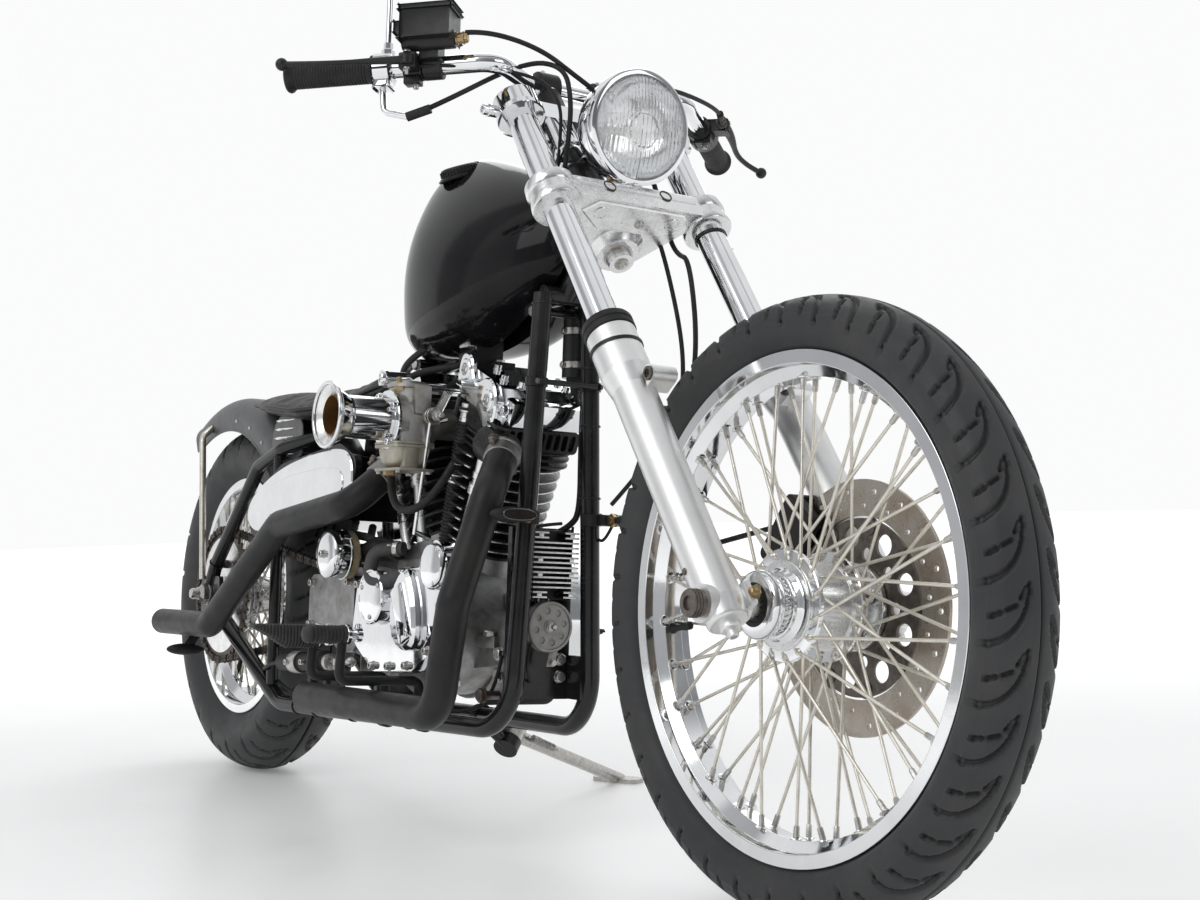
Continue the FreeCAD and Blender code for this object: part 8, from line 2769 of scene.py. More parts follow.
@dataclass
class Intake:
    """The carburettor's casting, its float bowl, linkage and trumpet.

    Attributes:
        centre: the throat's middle at the body.
        inner: the throat's inner end.
        outer: the throat's outer end.
    """

    centre: Vector = vec(793.0, 0.0, 588.0)
    inner: float = 88.0
    outer: float = 146.0

    def build(self, shop: Workshop) -> None:
        """Makes the carburettor's pieces."""
        self.body(shop)
        self.trumpet(shop)
        self.linkage(shop)
        self.lines(shop)

    def body(self, shop: Workshop) -> None:
        """Replaces the plain carburettor with its castings."""
        zinc = Shape()
        throat = self.centre - Y_AXIS * self.inner
        zinc.lathe([(-88.0, 23.0), (-10.0, 23.0), (-8.0, 31.0), (0.0, 31.0), (1.5, 33.5), (16.0, 35.0), (44.0, 35.0),
                    (46.0, 41.0), (58.0, 41.0), (58.0, 27.0), (20.0, 24.0)], throat, -Y_AXIS, 56)
        middle = self.centre - Y_AXIS * 118.0
        zinc.box(middle + vec(4.0, -4.0, -14.0), (66.0, 46.0, 44.0), 5.0)
        zinc.box(middle + vec(22.0, -24.0, -1.0), (34.0, 18.0, 30.0), 2.5)
        zinc.lathe([(0.0, 25.0), (4.0, 28.0), (24.0, 28.0), (26.0, 31.0), (31.0, 31.0), (33.0, 29.0), (36.0, 18.0),
                    (37.0, 0.1)], middle + Z_AXIS * 22.0, Z_AXIS, 48)
        zinc.box(middle + vec(30.0, 6.0, 30.0), (16.0, 26.0, 42.0), 3.0)
        shop.make("carburettor_body", zinc, ZINC_ALLOY, replaces=["carburettor"])
        bowl = Shape()
        flange = rounded(37.0, 33.0, 10.0)
        bowl.plate([flange], 5.0, middle + vec(2.0, -4.0, -38.0), X_AXIS, Y_AXIS, 0.8)
        bowl.plate([flange], 3.0, middle + vec(2.0, -4.0, -33.5), X_AXIS, Y_AXIS, 0.5)
        rings = []
        for drop, wide, deep, corner in ((-40.0, 33.0, 29.0, 12.0), (-52.0, 32.0, 28.0, 13.0),
                                         (-60.0, 30.0, 26.0, 14.0), (-67.0, 26.0, 22.0, 14.0),
                                         (-70.0, 18.0, 15.0, 12.0)):
            points = rounded(wide, deep, corner)
            rings.append([bowl.bm.verts.new(middle + vec(2.0 + a, -4.0 + b, drop)) for a, b in points])
        bowl.skin(rings)
        bowl.box(middle + vec(30.0, -10.0, -52.0), (15.0, 22.0, 44.0), 3.0)
        bowl.plate([rounded(40.0, 31.0, 9.0)], 4.0, middle + vec(4.0, -4.0, -72.0), X_AXIS, Y_AXIS, 0.8)
        shop.make("float_bowl", bowl, BOWL_ZINC)
        screws = Shape()
        for a, b in ((-30, -27), (30, -27), (30, 26), (-30, 26)):
            screws.bolt(middle + vec(2.0 + a, -4.0 + b, -35.5), Z_AXIS, 4.5, Head.DOME)
            screws.bolt(middle + vec(4.0 + a * 1.05, -4.0 + b * 0.9, -74.2), -Z_AXIS, 4.5, Head.HEX)
        for turn in (0.6, 2.2, 3.8, 5.4):
            screws.bolt(middle + vec(25.0 * math.cos(turn), 25.0 * math.sin(turn), 54.0), Z_AXIS, 4.0, Head.DOME)
        shop.make("carburettor_screws", screws, STEEL)
        polished = Shape()
        barrel = middle + vec(-14.0, 6.0, 62.0)
        polished.lathe([(-2.0, 9.0), (0.0, 11.0), (34.0, 11.0), (36.0, 12.5), (44.0, 12.5), (46.0, 11.0), (46.0, 6.5),
                        (41.0, 6.0), (41.0, 0.1)], barrel + Y_AXIS * 4.0, vec(-0.25, -0.97, 0.0), 32)
        shop.make("enrichener", polished, CHROME)
        brass = Shape()
        start = middle + vec(14.0, -20.0, 44.0)
        brass.bolt(start, vec(0.2, -0.3, 1.0), 10.0, Head.HEX, False)
        brass.rod(start, start + vec(3.0, -5.0, 17.0), 3.6, 14, 0.5)
        brass.bolt(middle + vec(-4.0, -22.0, -74.0), -Z_AXIS, 11.0, Head.HEX, False)
        brass.rod(middle + vec(-18.0, -34.0, -6.0), middle + vec(-18.0, -44.0, -6.0), 3.4, 12, 0.5)
        shop.make("carburettor_jets", brass, BRASS)

    def trumpet(self, shop: Workshop) -> None:
        """Adds the trumpet's flange ring, its bolts and the rolled lip, and the throttle plate inside."""
        start = self.centre - Y_AXIS * (self.outer + 0.4)
        chrome = Shape()
        ring = [circle(0.0, 0.0, 43.0, 48), round_hole(0.0, 0.0, 31.3, 48)]
        chrome.plate(ring, 6.0, start - Y_AXIS * 3.2, X_AXIS, Z_AXIS, 1.2)
        for turn in range(4):
            angle = math.tau * turn / 4 + 0.5
            seat = start + wheeled(37.5, angle, -6.2)
            chrome.bolt(seat, -Y_AXIS, 6.5, Head.ALLEN)
        mouth = start - Y_AXIS * 97.0
        chrome.lathe(circle(0.8, 45.4, 3.0, 12), mouth, -Y_AXIS, 72, True)
        shop.make("trumpet_ring", chrome, CHROME)
        flare = Shape()
        curve = [(71.5, 28.2), (80.0, 30.5), (87.0, 34.0), (92.0, 38.5), (95.5, 43.0), (97.0, 45.2), (98.6, 46.4),
                 (98.9, 47.8), (97.0, 48.4), (94.5, 47.6), (92.0, 44.5), (87.0, 38.8), (80.0, 34.6), (72.0, 32.0)]
        flare.lathe(curve, start, -Y_AXIS, 72, True)
        shop.make("trumpet_flare", flare, FLARE_WHITE)
        inside = Shape()
        inside.lathe([(14.0, 28.3), (92.0, 28.3), (92.0, 27.7), (15.0, 27.7)], start, -Y_AXIS, 56, True)
        inside.lathe([(4.0, 27.9), (5.5, 27.9)], start + Y_AXIS * 2.0, vec(0.3, -1.0, 0.0), 48)
        shop.make("trumpet_inside", inside, THROAT_BROWN)

    def linkage(self, shop: Workshop) -> None:
        """Adds the throttle shaft with its quadrant, spring and nut, and the vacuum rod beside it."""
        steel = Shape()
        shaft = self.centre + vec(34.0, -100.0, 6.0)
        steel.rod(self.centre + vec(20.0, -100.0, 6.0), shaft + X_AXIS * 34.0, 4.5, 14, 0.6)
        wheel = [circle(0.0, 0.0, 13.0, 32), round_hole(0.0, 0.0, 4.0, 12)]
        steel.plate(wheel, 3.0, shaft + X_AXIS * 10.0, Y_AXIS, Z_AXIS, 0.5)
        steel.plate(wheel, 2.0, shaft + X_AXIS * 17.0, Y_AXIS, Z_AXIS, 0.4)
        steel.block(shaft + vec(21.0, 8.0, 16.0), vec(0, 0.5, 1), X_AXIS, vec(0, 1, -0.5), (40.0, 3.0, 11.0), 1.0)
        coil = [shaft + vec(-4.0 + k * 0.32, 11.0 * math.cos(k * 0.62), 11.0 * math.sin(k * 0.62)) for k in range(44)]
        steel.tube(coil, 1.1, 0.0, 6)
        shop.make("throttle_linkage", steel, STEEL)
        brass = Shape()
        brass.bolt(shaft + X_AXIS * 25.0, X_AXIS, 9.0, Head.NUT)
        shop.make("throttle_nut", brass, STEEL)
        rod = Shape()
        rod.rod(vec(838.0, -104.0, 586.0), vec(802.0, -104.0, 424.0), 3.0, 12, 0.5)
        rod.rod(vec(838.0, -104.0, 584.0), vec(846.0, -80.0, 590.0), 3.4, 12, 0.5)
        rod.rod(vec(802.0, -104.0, 428.0), vec(802.0, -78.0, 420.0), 4.0, 12, 0.5)
        shop.make("vent_pipe", rod, CHROME)

    def lines(self, shop: Workshop) -> None:
        """Adds the fuel hose and the loop below the bowl."""
        hoses = Shape()
        bowl = self.centre + vec(-18.0, -130.0, -72.0)
        hoses.cable([bowl, bowl + vec(0.0, -2.0, -26.0), bowl + vec(26.0, -2.0, -58.0), bowl + vec(70.0, 8.0, -58.0),
                     bowl + vec(104.0, 26.0, -24.0), bowl + vec(104.0, 44.0, 8.0)], 6.0)
        tank = vec(846.0, -34.0, 700.0)
        hoses.cable([tank, tank + vec(4.0, -16.0, -26.0), tank + vec(-22.0, -52.0, -34.0),
                     self.centre + vec(-4.0, -110.0, 70.0), self.centre + vec(-14.0, -112.0, 62.0)], 5.0)
        shop.make("fuel_hoses", hoses, BLACK_RUBBER)


@dataclass
class Exhaust:
    """The rear pipe, the collars at the ports, their clamps and the dark insides of the ends, partly soot and partly
    painted shade.

    Attributes:
        side: the front pipe's distance to the right.
        radius: the pipes' radius.
        rear_route: the rear pipe's corners.
    """

    side: float = 160.0
    radius: float = 22.5
    rear_route: Sequence[Vector] = (vec(688.0, -58.0, 553.0), vec(692.0, -150.0, 471.0), vec(440.0, -161.0, 439.0),
                                    vec(164.5, -166.4, 268.0), vec(-62.0, -171.2, 265.7))

    def rear_pipe(self, shop: Workshop) -> None:
        """Bends the rear pipe out between the pushrod tubes, back under the tank and down past the wheel."""
        pipe = Shape()
        pipe.tube(list(self.rear_route), self.radius, 46.0, 40)
        shop.make("rear_pipe", pipe, PIPE_BLACK, replaces=["exhaust_rear"])
        boss = Shape()
        start = self.rear_route[0]
        run = (self.rear_route[1] - start).normalized()
        boss.lathe([(-26.0, 26.0), (6.0, 27.5), (9.0, 26.0)], start, run, 36)
        shop.make("rear_port", boss, ENGINE_BLACK)

    def build(self, shop: Workshop) -> None:
        """Makes the rear pipe, the port collars, the clamps and the outlets."""
        alloy = Shape()
        clamps = Shape()
        inside = Shape()
        up, across = bank(1)
        middle = (BARREL_TOP + HEAD_TOP) / 2
        port = CRANK + up * (middle - 5.0) + across * 78.3 - Y_AXIS * 56.2
        elbow = vec(1034.5, -112.0, port.z - 58.5)
        self.collar(alloy, clamps, port, elbow)
        self.rear_pipe(shop)
        self.collar(alloy, clamps, self.rear_route[0].lerp(self.rear_route[1], 0.36), self.rear_route[1])
        shop.make("exhaust_collars", alloy, CAST_ALLOY)
        for start, end in ((vec(592.0, -self.side, 174.6), vec(572.0, -self.side, 175.3)),
                           (vec(-20.0, -169.7, 266.0), vec(-62.0, -171.2, 265.7))):
            axis = (end - start).normalized()
            # Soot and painted shade: a dark liner and a disc close each pipe's end, standing in for the soot and the
            # shade inside the open pipe.
            inside.lathe([(0.0, 20.2), (0.5, 19.4), (-20.0, 19.2), (-30.0, 6.0)], end, axis, 32)
            clamps.lathe(circle(0.0, 21.5, 1.1, 8), end, axis, 40, True)
        shop.make("exhaust_clamps", clamps, DARK_STEEL)
        shop.make("exhaust_insides", inside, SOOT_AND_SHADE)

    def collar(self, alloy: Shape, clamps: Shape, port: Vector, ahead: Vector) -> None:
        """Adds a port's silver collar, its flange and two nuts."""
        run = (ahead - port).normalized()
        alloy.lathe([(1.0, 25.6), (3.0, 27.2), (7.0, 27.0), (8.0, 24.8), (26.0, 24.2), (27.0, 22.8)], port, run, 40)
        u, v = across_of(run)
        for turn in (0.4, 3.54):
            place = port + (u * math.cos(turn) + v * math.sin(turn)) * 27.0 + run * 6.0
            clamps.bolt(place, run, 8.0, Head.NUT)


@dataclass
class Breather:
    """The round breather by the gearbox and the curved hose that feeds it.

    Attributes:
        centre: the middle of its inner face.
    """

    centre: Vector = vec(604.0, -108.6, 393.0)

    def build(self, shop: Workshop) -> None:
        """Makes the cap's bolt, the filter band, the mount and the hose."""
        band = Shape()
        band.lathe([(2.0, 34.0), (3.0, 36.6), (13.0, 36.6), (14.0, 34.0)], self.centre, -Y_AXIS, 56)
        shop.make("breather_filter", band, FILTER_YELLOW)
        chrome = Shape()
        chrome.lathe([(14.5, 36.0), (15.5, 38.2), (17.5, 38.2), (18.5, 36.8), (40.0, 37.2), (43.0, 36.0),
                      (45.0, 33.0), (46.6, 22.0), (47.2, 0.1)], self.centre, -Y_AXIS, 64)
        shop.make("breather_cap", chrome, CHROME)
        bolt = Shape()
        bolt.bolt(self.centre - Y_AXIS * 46.8, -Y_AXIS, 7.0, Head.ALLEN)
        shop.make("breather_bolt", bolt, STEEL)
        black = Shape()
        black.lathe([(-34.0, 16.0), (-12.0, 17.0), (-4.0, 24.0), (1.5, 30.0), (1.6, 0.1)], self.centre, -Y_AXIS, 32)
        black.tube([self.centre + vec(12.0, 14.0, 4.0), vec(664.0, -92.0, 410.0), vec(720.0, -84.0, 400.0)], 13.0,
                   26.0, 18)
        shop.make("breather_mount", black, SATIN_BLACK)
        hose = Shape()
        hose.cable([vec(744.0, -90.0, 404.0), vec(724.0, -104.0, 404.0), vec(704.0, -118.0, 398.0),
                    vec(698.0, -122.0, 376.0), vec(706.0, -124.0, 358.0), vec(734.0, -124.0, 352.0),
                    vec(766.0, -120.0, 358.0), vec(786.0, -112.0, 366.0), vec(794.0, -96.0, 368.0)], 10.5)
        shop.make("breather_hose", hose, HOSE_GREY)
        clips = Shape()
        for place, axis in ((vec(735.0, -97.0, 404.0), vec(0.8, 0.6, 0.0)),
                            (vec(790.0, -104.0, 367.0), vec(0.5, 0.85, 0.1))):
            clips.lathe([(-4.0, 11.0), (-3.6, 11.8), (3.6, 11.8), (4.0, 11.0)], place, axis, 28)
            clips.bolt(place + vec(0.0, -11.6, 3.0), Z_AXIS, 5.0, Head.HEX, False)
        shop.make("hose_clips", clips, STEEL)


def rail(x: float) -> Vector:
    """Gives the middle of the right lower rail at x."""
    share = (x - 1030.0) / (330.0 - 1030.0)
    return vec(x, -63.0 - 37.0 * share, 162.0 - 16.0 * share)


@dataclass
class FootControls:
    """The rubber pegs and brake pad, their arms and chrome clamps, and the rear master cylinder.

    Attributes:
        peg: the right peg's inner end.
        pad: the brake pad's inner end.
        peg_length: the pegs' length.
        peg_radius: the pegs' radius.
        pad_length: the pad's length.
        pad_radius: the pad's radius.
        level: the height at which the arms pass over the pipe.
        arm: the arms' radius.
    """

    peg: Vector = vec(690.0, -200.0, 272.0)
    pad: Vector = vec(800.0, -205.0, 279.0)
    peg_length: float = 100.0
    peg_radius: float = 17.0
    pad_length: float = 64.0
    pad_radius: float = 13.0
    level: float = 214.0
    arm: float = 7.0

    def ribbed(self, shape: Shape, start: Vector, axis: Vector, length: float, radius: float, pointed: float) -> None:
        """Adds a rubber with ribs round it and an end drawn to a blunt point.

        Args:
            shape: the shape that receives it.
            start: its inner end.
            axis: its direction.
            length: its length.
            radius: the ribs' radius.
            pointed: the length of the drawn end.
        """
        profile = [(0.0, radius * 0.86), (1.5, radius * 1.06), (5.0, radius * 1.06), (6.0, radius * 0.84)]
        ribs = int((length - 8.0 - pointed) / 5.6)
        for index in range(ribs):
            at = 7.5 + index * 5.6
            profile += [(at, radius * 0.84), (at + 0.9, radius), (at + 3.0, radius), (at + 3.9, radius * 0.84)]
        end = 7.5 + ribs * 5.6
        profile += [(end, radius * 0.92), (end + pointed * 0.4, radius * 0.98),
                    (length - pointed * 0.3, radius * 0.8), (length, radius * 0.5)]
        shape.lathe(profile, start, axis, 32)

    def wedge(self, shape: Shape, start: Vector, axis: Vector, length: float, radius: float) -> None:
        """Adds a flat-topped rubber with upright ribs, cut away below its point.

        Args:
            shape: the shape that receives it.
            start: its inner end.
            axis: its direction.
            length: its length.
            radius: half its height.
        """
        pitch = 5.0
        slices = int(length / pitch)
        for index in range(slices):
            share = index / (slices - 1)
            low = -radius + radius * 1.7 * max(0.0, share - 0.5) / 0.5
            half = radius * (0.94 - 0.25 * share)
            outline = smoothed([(-half, low), (half, low), (half, radius - 3.0), (half - 3.0, radius),
                                (3.0 - half, radius), (-half, radius - 3.0)], 1)
            spot = start + axis * (2.0 + index * pitch)
            shape.plate([outline], 3.2, spot, X_AXIS, Z_AXIS, 0.8)
            inner = [(a * 0.86, (b - radius) * 0.86 + radius - 1.6) for a, b in outline]
            shape.plate([inner], pitch + 0.4, spot + axis * 0.2, X_AXIS, Z_AXIS)

    def build(self, shop: Workshop) -> None:
        """Makes the rubbers, arms and clamps on both sides, and the rear master cylinder."""
        rubber = Shape()
        arms = Shape()
        chrome = Shape()
        right_peg, left_peg = self.peg, flipped(self.peg)
        for start, side in ((right_peg, -1), (left_peg, 1)):
            self.wedge(rubber, start, Y_AXIS * side, self.peg_length, self.peg_radius)
        shop.make("peg_rubbers", rubber, RIBBED_RUBBER, replaces=["foot_pegs"])
        pad = Shape()
        self.ribbed(pad, self.pad, -Y_AXIS, self.pad_length, self.pad_radius, 9.0)
        shop.make("brake_pad_rubber", pad, RIBBED_RUBBER, replaces=["brake_pedal"])
        for start in (right_peg, self.pad):
            under = rail(start.x)
            inner = min(under.y, -CASE_SIDE - self.arm - 2.0)
            route = [start - Y_AXIS * 3.0, vec(start.x, start.y - self.arm, self.level),
                     vec(start.x, inner, self.level), vec(start.x, inner, under.z + 9.0)]
            arms.tube(route, self.arm, 14.0, 18)
            arms.lathe([(-9.0, 14.2), (-8.0, 16.2), (8.0, 16.2), (9.0, 14.2)], under, X_AXIS, 28)
        under = flipped(rail(left_peg.x))
        left_level = under.z + 13.5 + self.arm + 0.6
        arms.tube([left_peg + Y_AXIS * 3.0, vec(left_peg.x, left_peg.y + self.arm, left_level),
                   vec(left_peg.x, under.y, left_level)], self.arm, 14.0, 18)
        arms.lathe([(-9.0, 14.2), (-8.0, 16.2), (8.0, 16.2), (9.0, 14.2)], under, X_AXIS, 28)
        shop.make("peg_arms", arms, SATIN_BLACK)
        for start, side, radius in ((right_peg, 1, self.peg_radius), (left_peg, -1, self.peg_radius),
                                    (self.pad, 1, self.pad_radius)):
            axis = Y_AXIS * side
            chrome.lathe([(-1.0, radius * 0.95), (0.5, radius * 1.08), (5.5, radius * 1.08), (7.0, radius * 0.7),
                          (16.0, radius * 0.62), (17.0, radius * 0.8), (24.0, radius * 0.8), (25.0, radius * 0.6)],
                         start, axis, 28)
            chrome.bolt(start + axis * 20.0 + Z_AXIS * radius * 0.7, Z_AXIS, 6.0, Head.ALLEN)
        shop.make("peg_clamps", chrome, CHROME)
        self.master_cylinder(shop)

    def master_cylinder(self, shop: Workshop) -> None:
        """Makes the rear brake's cylinder along the right rail, its pushrod, fitting and hose."""
        axis = vec(0.995, 0.0, 0.06).normalized()
        start = vec(398.0, -128.0, 217.0)
        body = Shape()
        body.lathe([(0.0, 10.0), (4.0, 14.0), (52.0, 14.0), (54.0, 17.0), (84.0, 17.0), (86.0, 14.0), (134.0, 14.0),
                    (137.0, 18.0), (168.0, 18.0), (171.0, 13.0), (180.0, 12.0)], start, axis, 36)
        for share in (60.0, 120.0):
            place = start + axis * share
            body.block(place + Y_AXIS * 14.0, axis, Y_AXIS, Z_AXIS, (18.0, 26.0, 20.0), 2.0)
            body.block(place + vec(0.0, 26.0, -28.0), axis, Y_AXIS, Z_AXIS, (14.0, 8.0, 70.0), 2.0)
        shop.make("rear_master_cylinder", body, SATIN_BLACK)
        bright = Shape()
        bright.lathe([(53.0, 17.4), (54.0, 17.8), (83.0, 17.8), (84.0, 17.4)], start, axis, 36)
        bright.lathe([(181.0, 10.0), (182.0, 13.0), (192.0, 13.0), (194.0, 9.0)], start, axis, 24)
        bright.rod(start + axis * 188.0, start + axis * 262.0, 4.2, 14, 0.6)
        bright.bolt(start + axis * 214.0, axis, 10.0, Head.NUT, False)
        bright.ball(start + axis * 262.0, (8.0, 8.0, 8.0), sides=16)
        for share in (60.0, 120.0):
            bright.bolt(start + axis * share - Y_AXIS * 0.2 - Y_AXIS * 16.6, -Y_AXIS, 6.0, Head.ALLEN, False)
        shop.make("master_cylinder_fittings", bright, STEEL)
        hose = Shape()
        hose.cable([start, start - axis * 40.0, vec(300.0, -120.0, 200.0), vec(210.0, -80.0, 196.0),
                    vec(180.0, 20.0, 210.0), vec(160.0, 80.0, 250.0), vec(132.0, 92.0, 286.0)], 3.4)
        shop.make("rear_brake_hose", hose, BLACK_RUBBER)


@dataclass
class Driveline:
    """The drive chain's links, the toothed sprockets and the rear caliper's details.

    Attributes:
        pitch: the chain's pitch.
        side: the chain's distance from the middle.
        large: the rear sprocket's pitch radius.
        small: the front sprocket's pitch radius.
        front: the gearbox shaft's middle.
    """

    pitch: float = 15.9
    side: float = 82.0
    large: float = 119.0
    small: float = 46.0
    front: Vector = vec(520.0, 0.0, 318.0)

    def route(self) -> Tuple[List[Vector], float]:
        """Gives the pins' places round both sprockets and the true pitch."""
        length = self.front.x
        lean = (self.large - self.small) / length
        turn = math.acos(lean)
        rise = math.sin(turn)
        run = length * rise
        arc_large = self.large * (math.tau - 2 * turn)
        arc_small = self.small * 2 * turn
        total = run * 2 + arc_large + arc_small
        count = int(total / self.pitch / 2) * 2
        step = total / count
        places = []
        for index in range(count):
            s = step * index
            if s < run:
                share = s / run
                start = vec(self.large * lean, 0.0, self.large * rise)
                end = vec(length + self.small * lean, 0.0, self.small * rise)
                point = start.lerp(end, share)
            elif s < run + arc_small:
                angle = turn - (s - run) / self.small
                point = vec(length + self.small * math.cos(angle), 0.0, self.small * math.sin(angle))
            elif s < run * 2 + arc_small:
                share = (s - run - arc_small) / run
                start = vec(length + self.small * lean, 0.0, -self.small * rise)
                end = vec(self.large * lean, 0.0, -self.large * rise)
                point = start.lerp(end, share)
            else:
                angle = -turn - (s - run * 2 - arc_small) / self.large
                point = wheeled(self.large, angle)
            places.append(vec(point.x, -self.side, REAR_CENTRE.z + point.z))
        return places, step

    def links(self, shop: Workshop) -> None:
        """Makes the chain from rollers and waisted plates."""
        shape = Shape()
        places, step = self.route()
        for index, (pin, after) in enumerate(zip(places, places[1:] + places[:1])):
            along = (after - pin).normalized()
            up = along.cross(Y_AXIS)
            outer = index % 2
            shape.rod(pin - Y_AXIS * 3.4, pin + Y_AXIS * 3.4, 4.8, 10)
            for side in (-1, 1):
                offset = side * (4.2 + 1.9 * outer)
                half = step / 2
                outline = ((0.0, 6.6), (half, 4.6), (step, 6.6), (step + 5.6, 3.2), (step + 5.6, -3.2), (step, -6.6),
                           (half, -4.6), (0.0, -6.6), (-5.6, -3.2), (-5.6, 3.2))
                rings = [[shape.bm.verts.new(pin + along * a + up * b + Y_AXIS * (offset + o)) for a, b in outline]
                         for o in (-0.8, 0.8)]
                shape.bridge(rings[0], rings[1])
                for ring in rings:
                    shape.cap(ring)
                if outer:
                    for at in (pin, after):
                        shape.rod(at + Y_AXIS * offset, at + Y_AXIS * (offset + side * 1.7), 2.4, 8)
        shop.make("chain_links", shape, CHAIN_STEEL, replaces=["drive_chain"])

    def teeth(self, centre: Vector, pitch_radius: float, bore: float, holes: int) -> Shape:
        """Makes a toothed sprocket's plate.

        Args:
            centre: the sprocket's middle.
            pitch_radius: the chain's radius on it.
            bore: the radius of its bore.
            holes: the number of lightening holes.

        Returns:
            The plate.
        """
        count = int(math.tau * pitch_radius / self.pitch)
        outline = []
        for index in range(count):
            for part, reach in ((0.0, -5.2), (0.18, -3.6), (0.34, 1.4), (0.44, 4.0), (0.56, 4.0), (0.66, 1.4),
                                (0.82, -3.6)):
                turn = math.tau * (index + part) / count
                outline.append(((pitch_radius + reach) * math.cos(turn), (pitch_radius + reach) * math.sin(turn)))
        cuts = [round_hole(0.0, 0.0, bore, 40)]
        for index in range(holes):
            turn = math.tau * (index + 0.5) / holes
            middle = (pitch_radius + bore) * 0.52
            cuts.append(round_hole(middle * math.cos(turn), middle * math.sin(turn), 9.0, 20))
        return Shape().plate([outline] + cuts, 5.6, centre, X_AXIS, Z_AXIS, 0.6)

    def build(self, shop: Workshop) -> None:
        """Makes the chain, the sprockets and the rear caliper's details."""
        self.links(shop)
        rear = self.teeth(REAR_CENTRE - Y_AXIS * self.side, self.large, 50.0, 8)
        for index in range(5):
            turn = math.tau * index / 5
            rear.bolt(REAR_CENTRE + wheeled(58.0, turn, -self.side - 3.0), -Y_AXIS, 8.0, Head.HEX)
        shop.make("rear_sprocket_teeth", rear, SPROCKET_STEEL, "rear_wheel")
        small = self.teeth(self.front - Y_AXIS * self.side, self.small, 12.0, 0)
        small.rod(self.front - Y_AXIS * 76.0, self.front - Y_AXIS * 94.0, 16.0, 24, 1.0)
        shop.make("drive_sprocket_teeth", small, SPROCKET_STEEL)
        brake = Shape()
        centre = vec(113.5, 76.5, 318.0)
        brake.box(centre + vec(0.0, 21.0, 0.0), (44.0, 4.0, 52.0), 1.5)
        for z in (-14.0, 14.0):
            brake.lathe([(0.0, 12.0), (3.0, 12.0), (4.0, 10.6), (4.4, 6.0)], centre + vec(0.0, -20.0, z), -Y_AXIS, 28)
            brake.bolt(centre + vec(-8.0, 23.0, z * 1.3), Y_AXIS, 7.0, Head.ALLEN)
        shop.make("rear_caliper_details", brake, CAST_ALLOY)


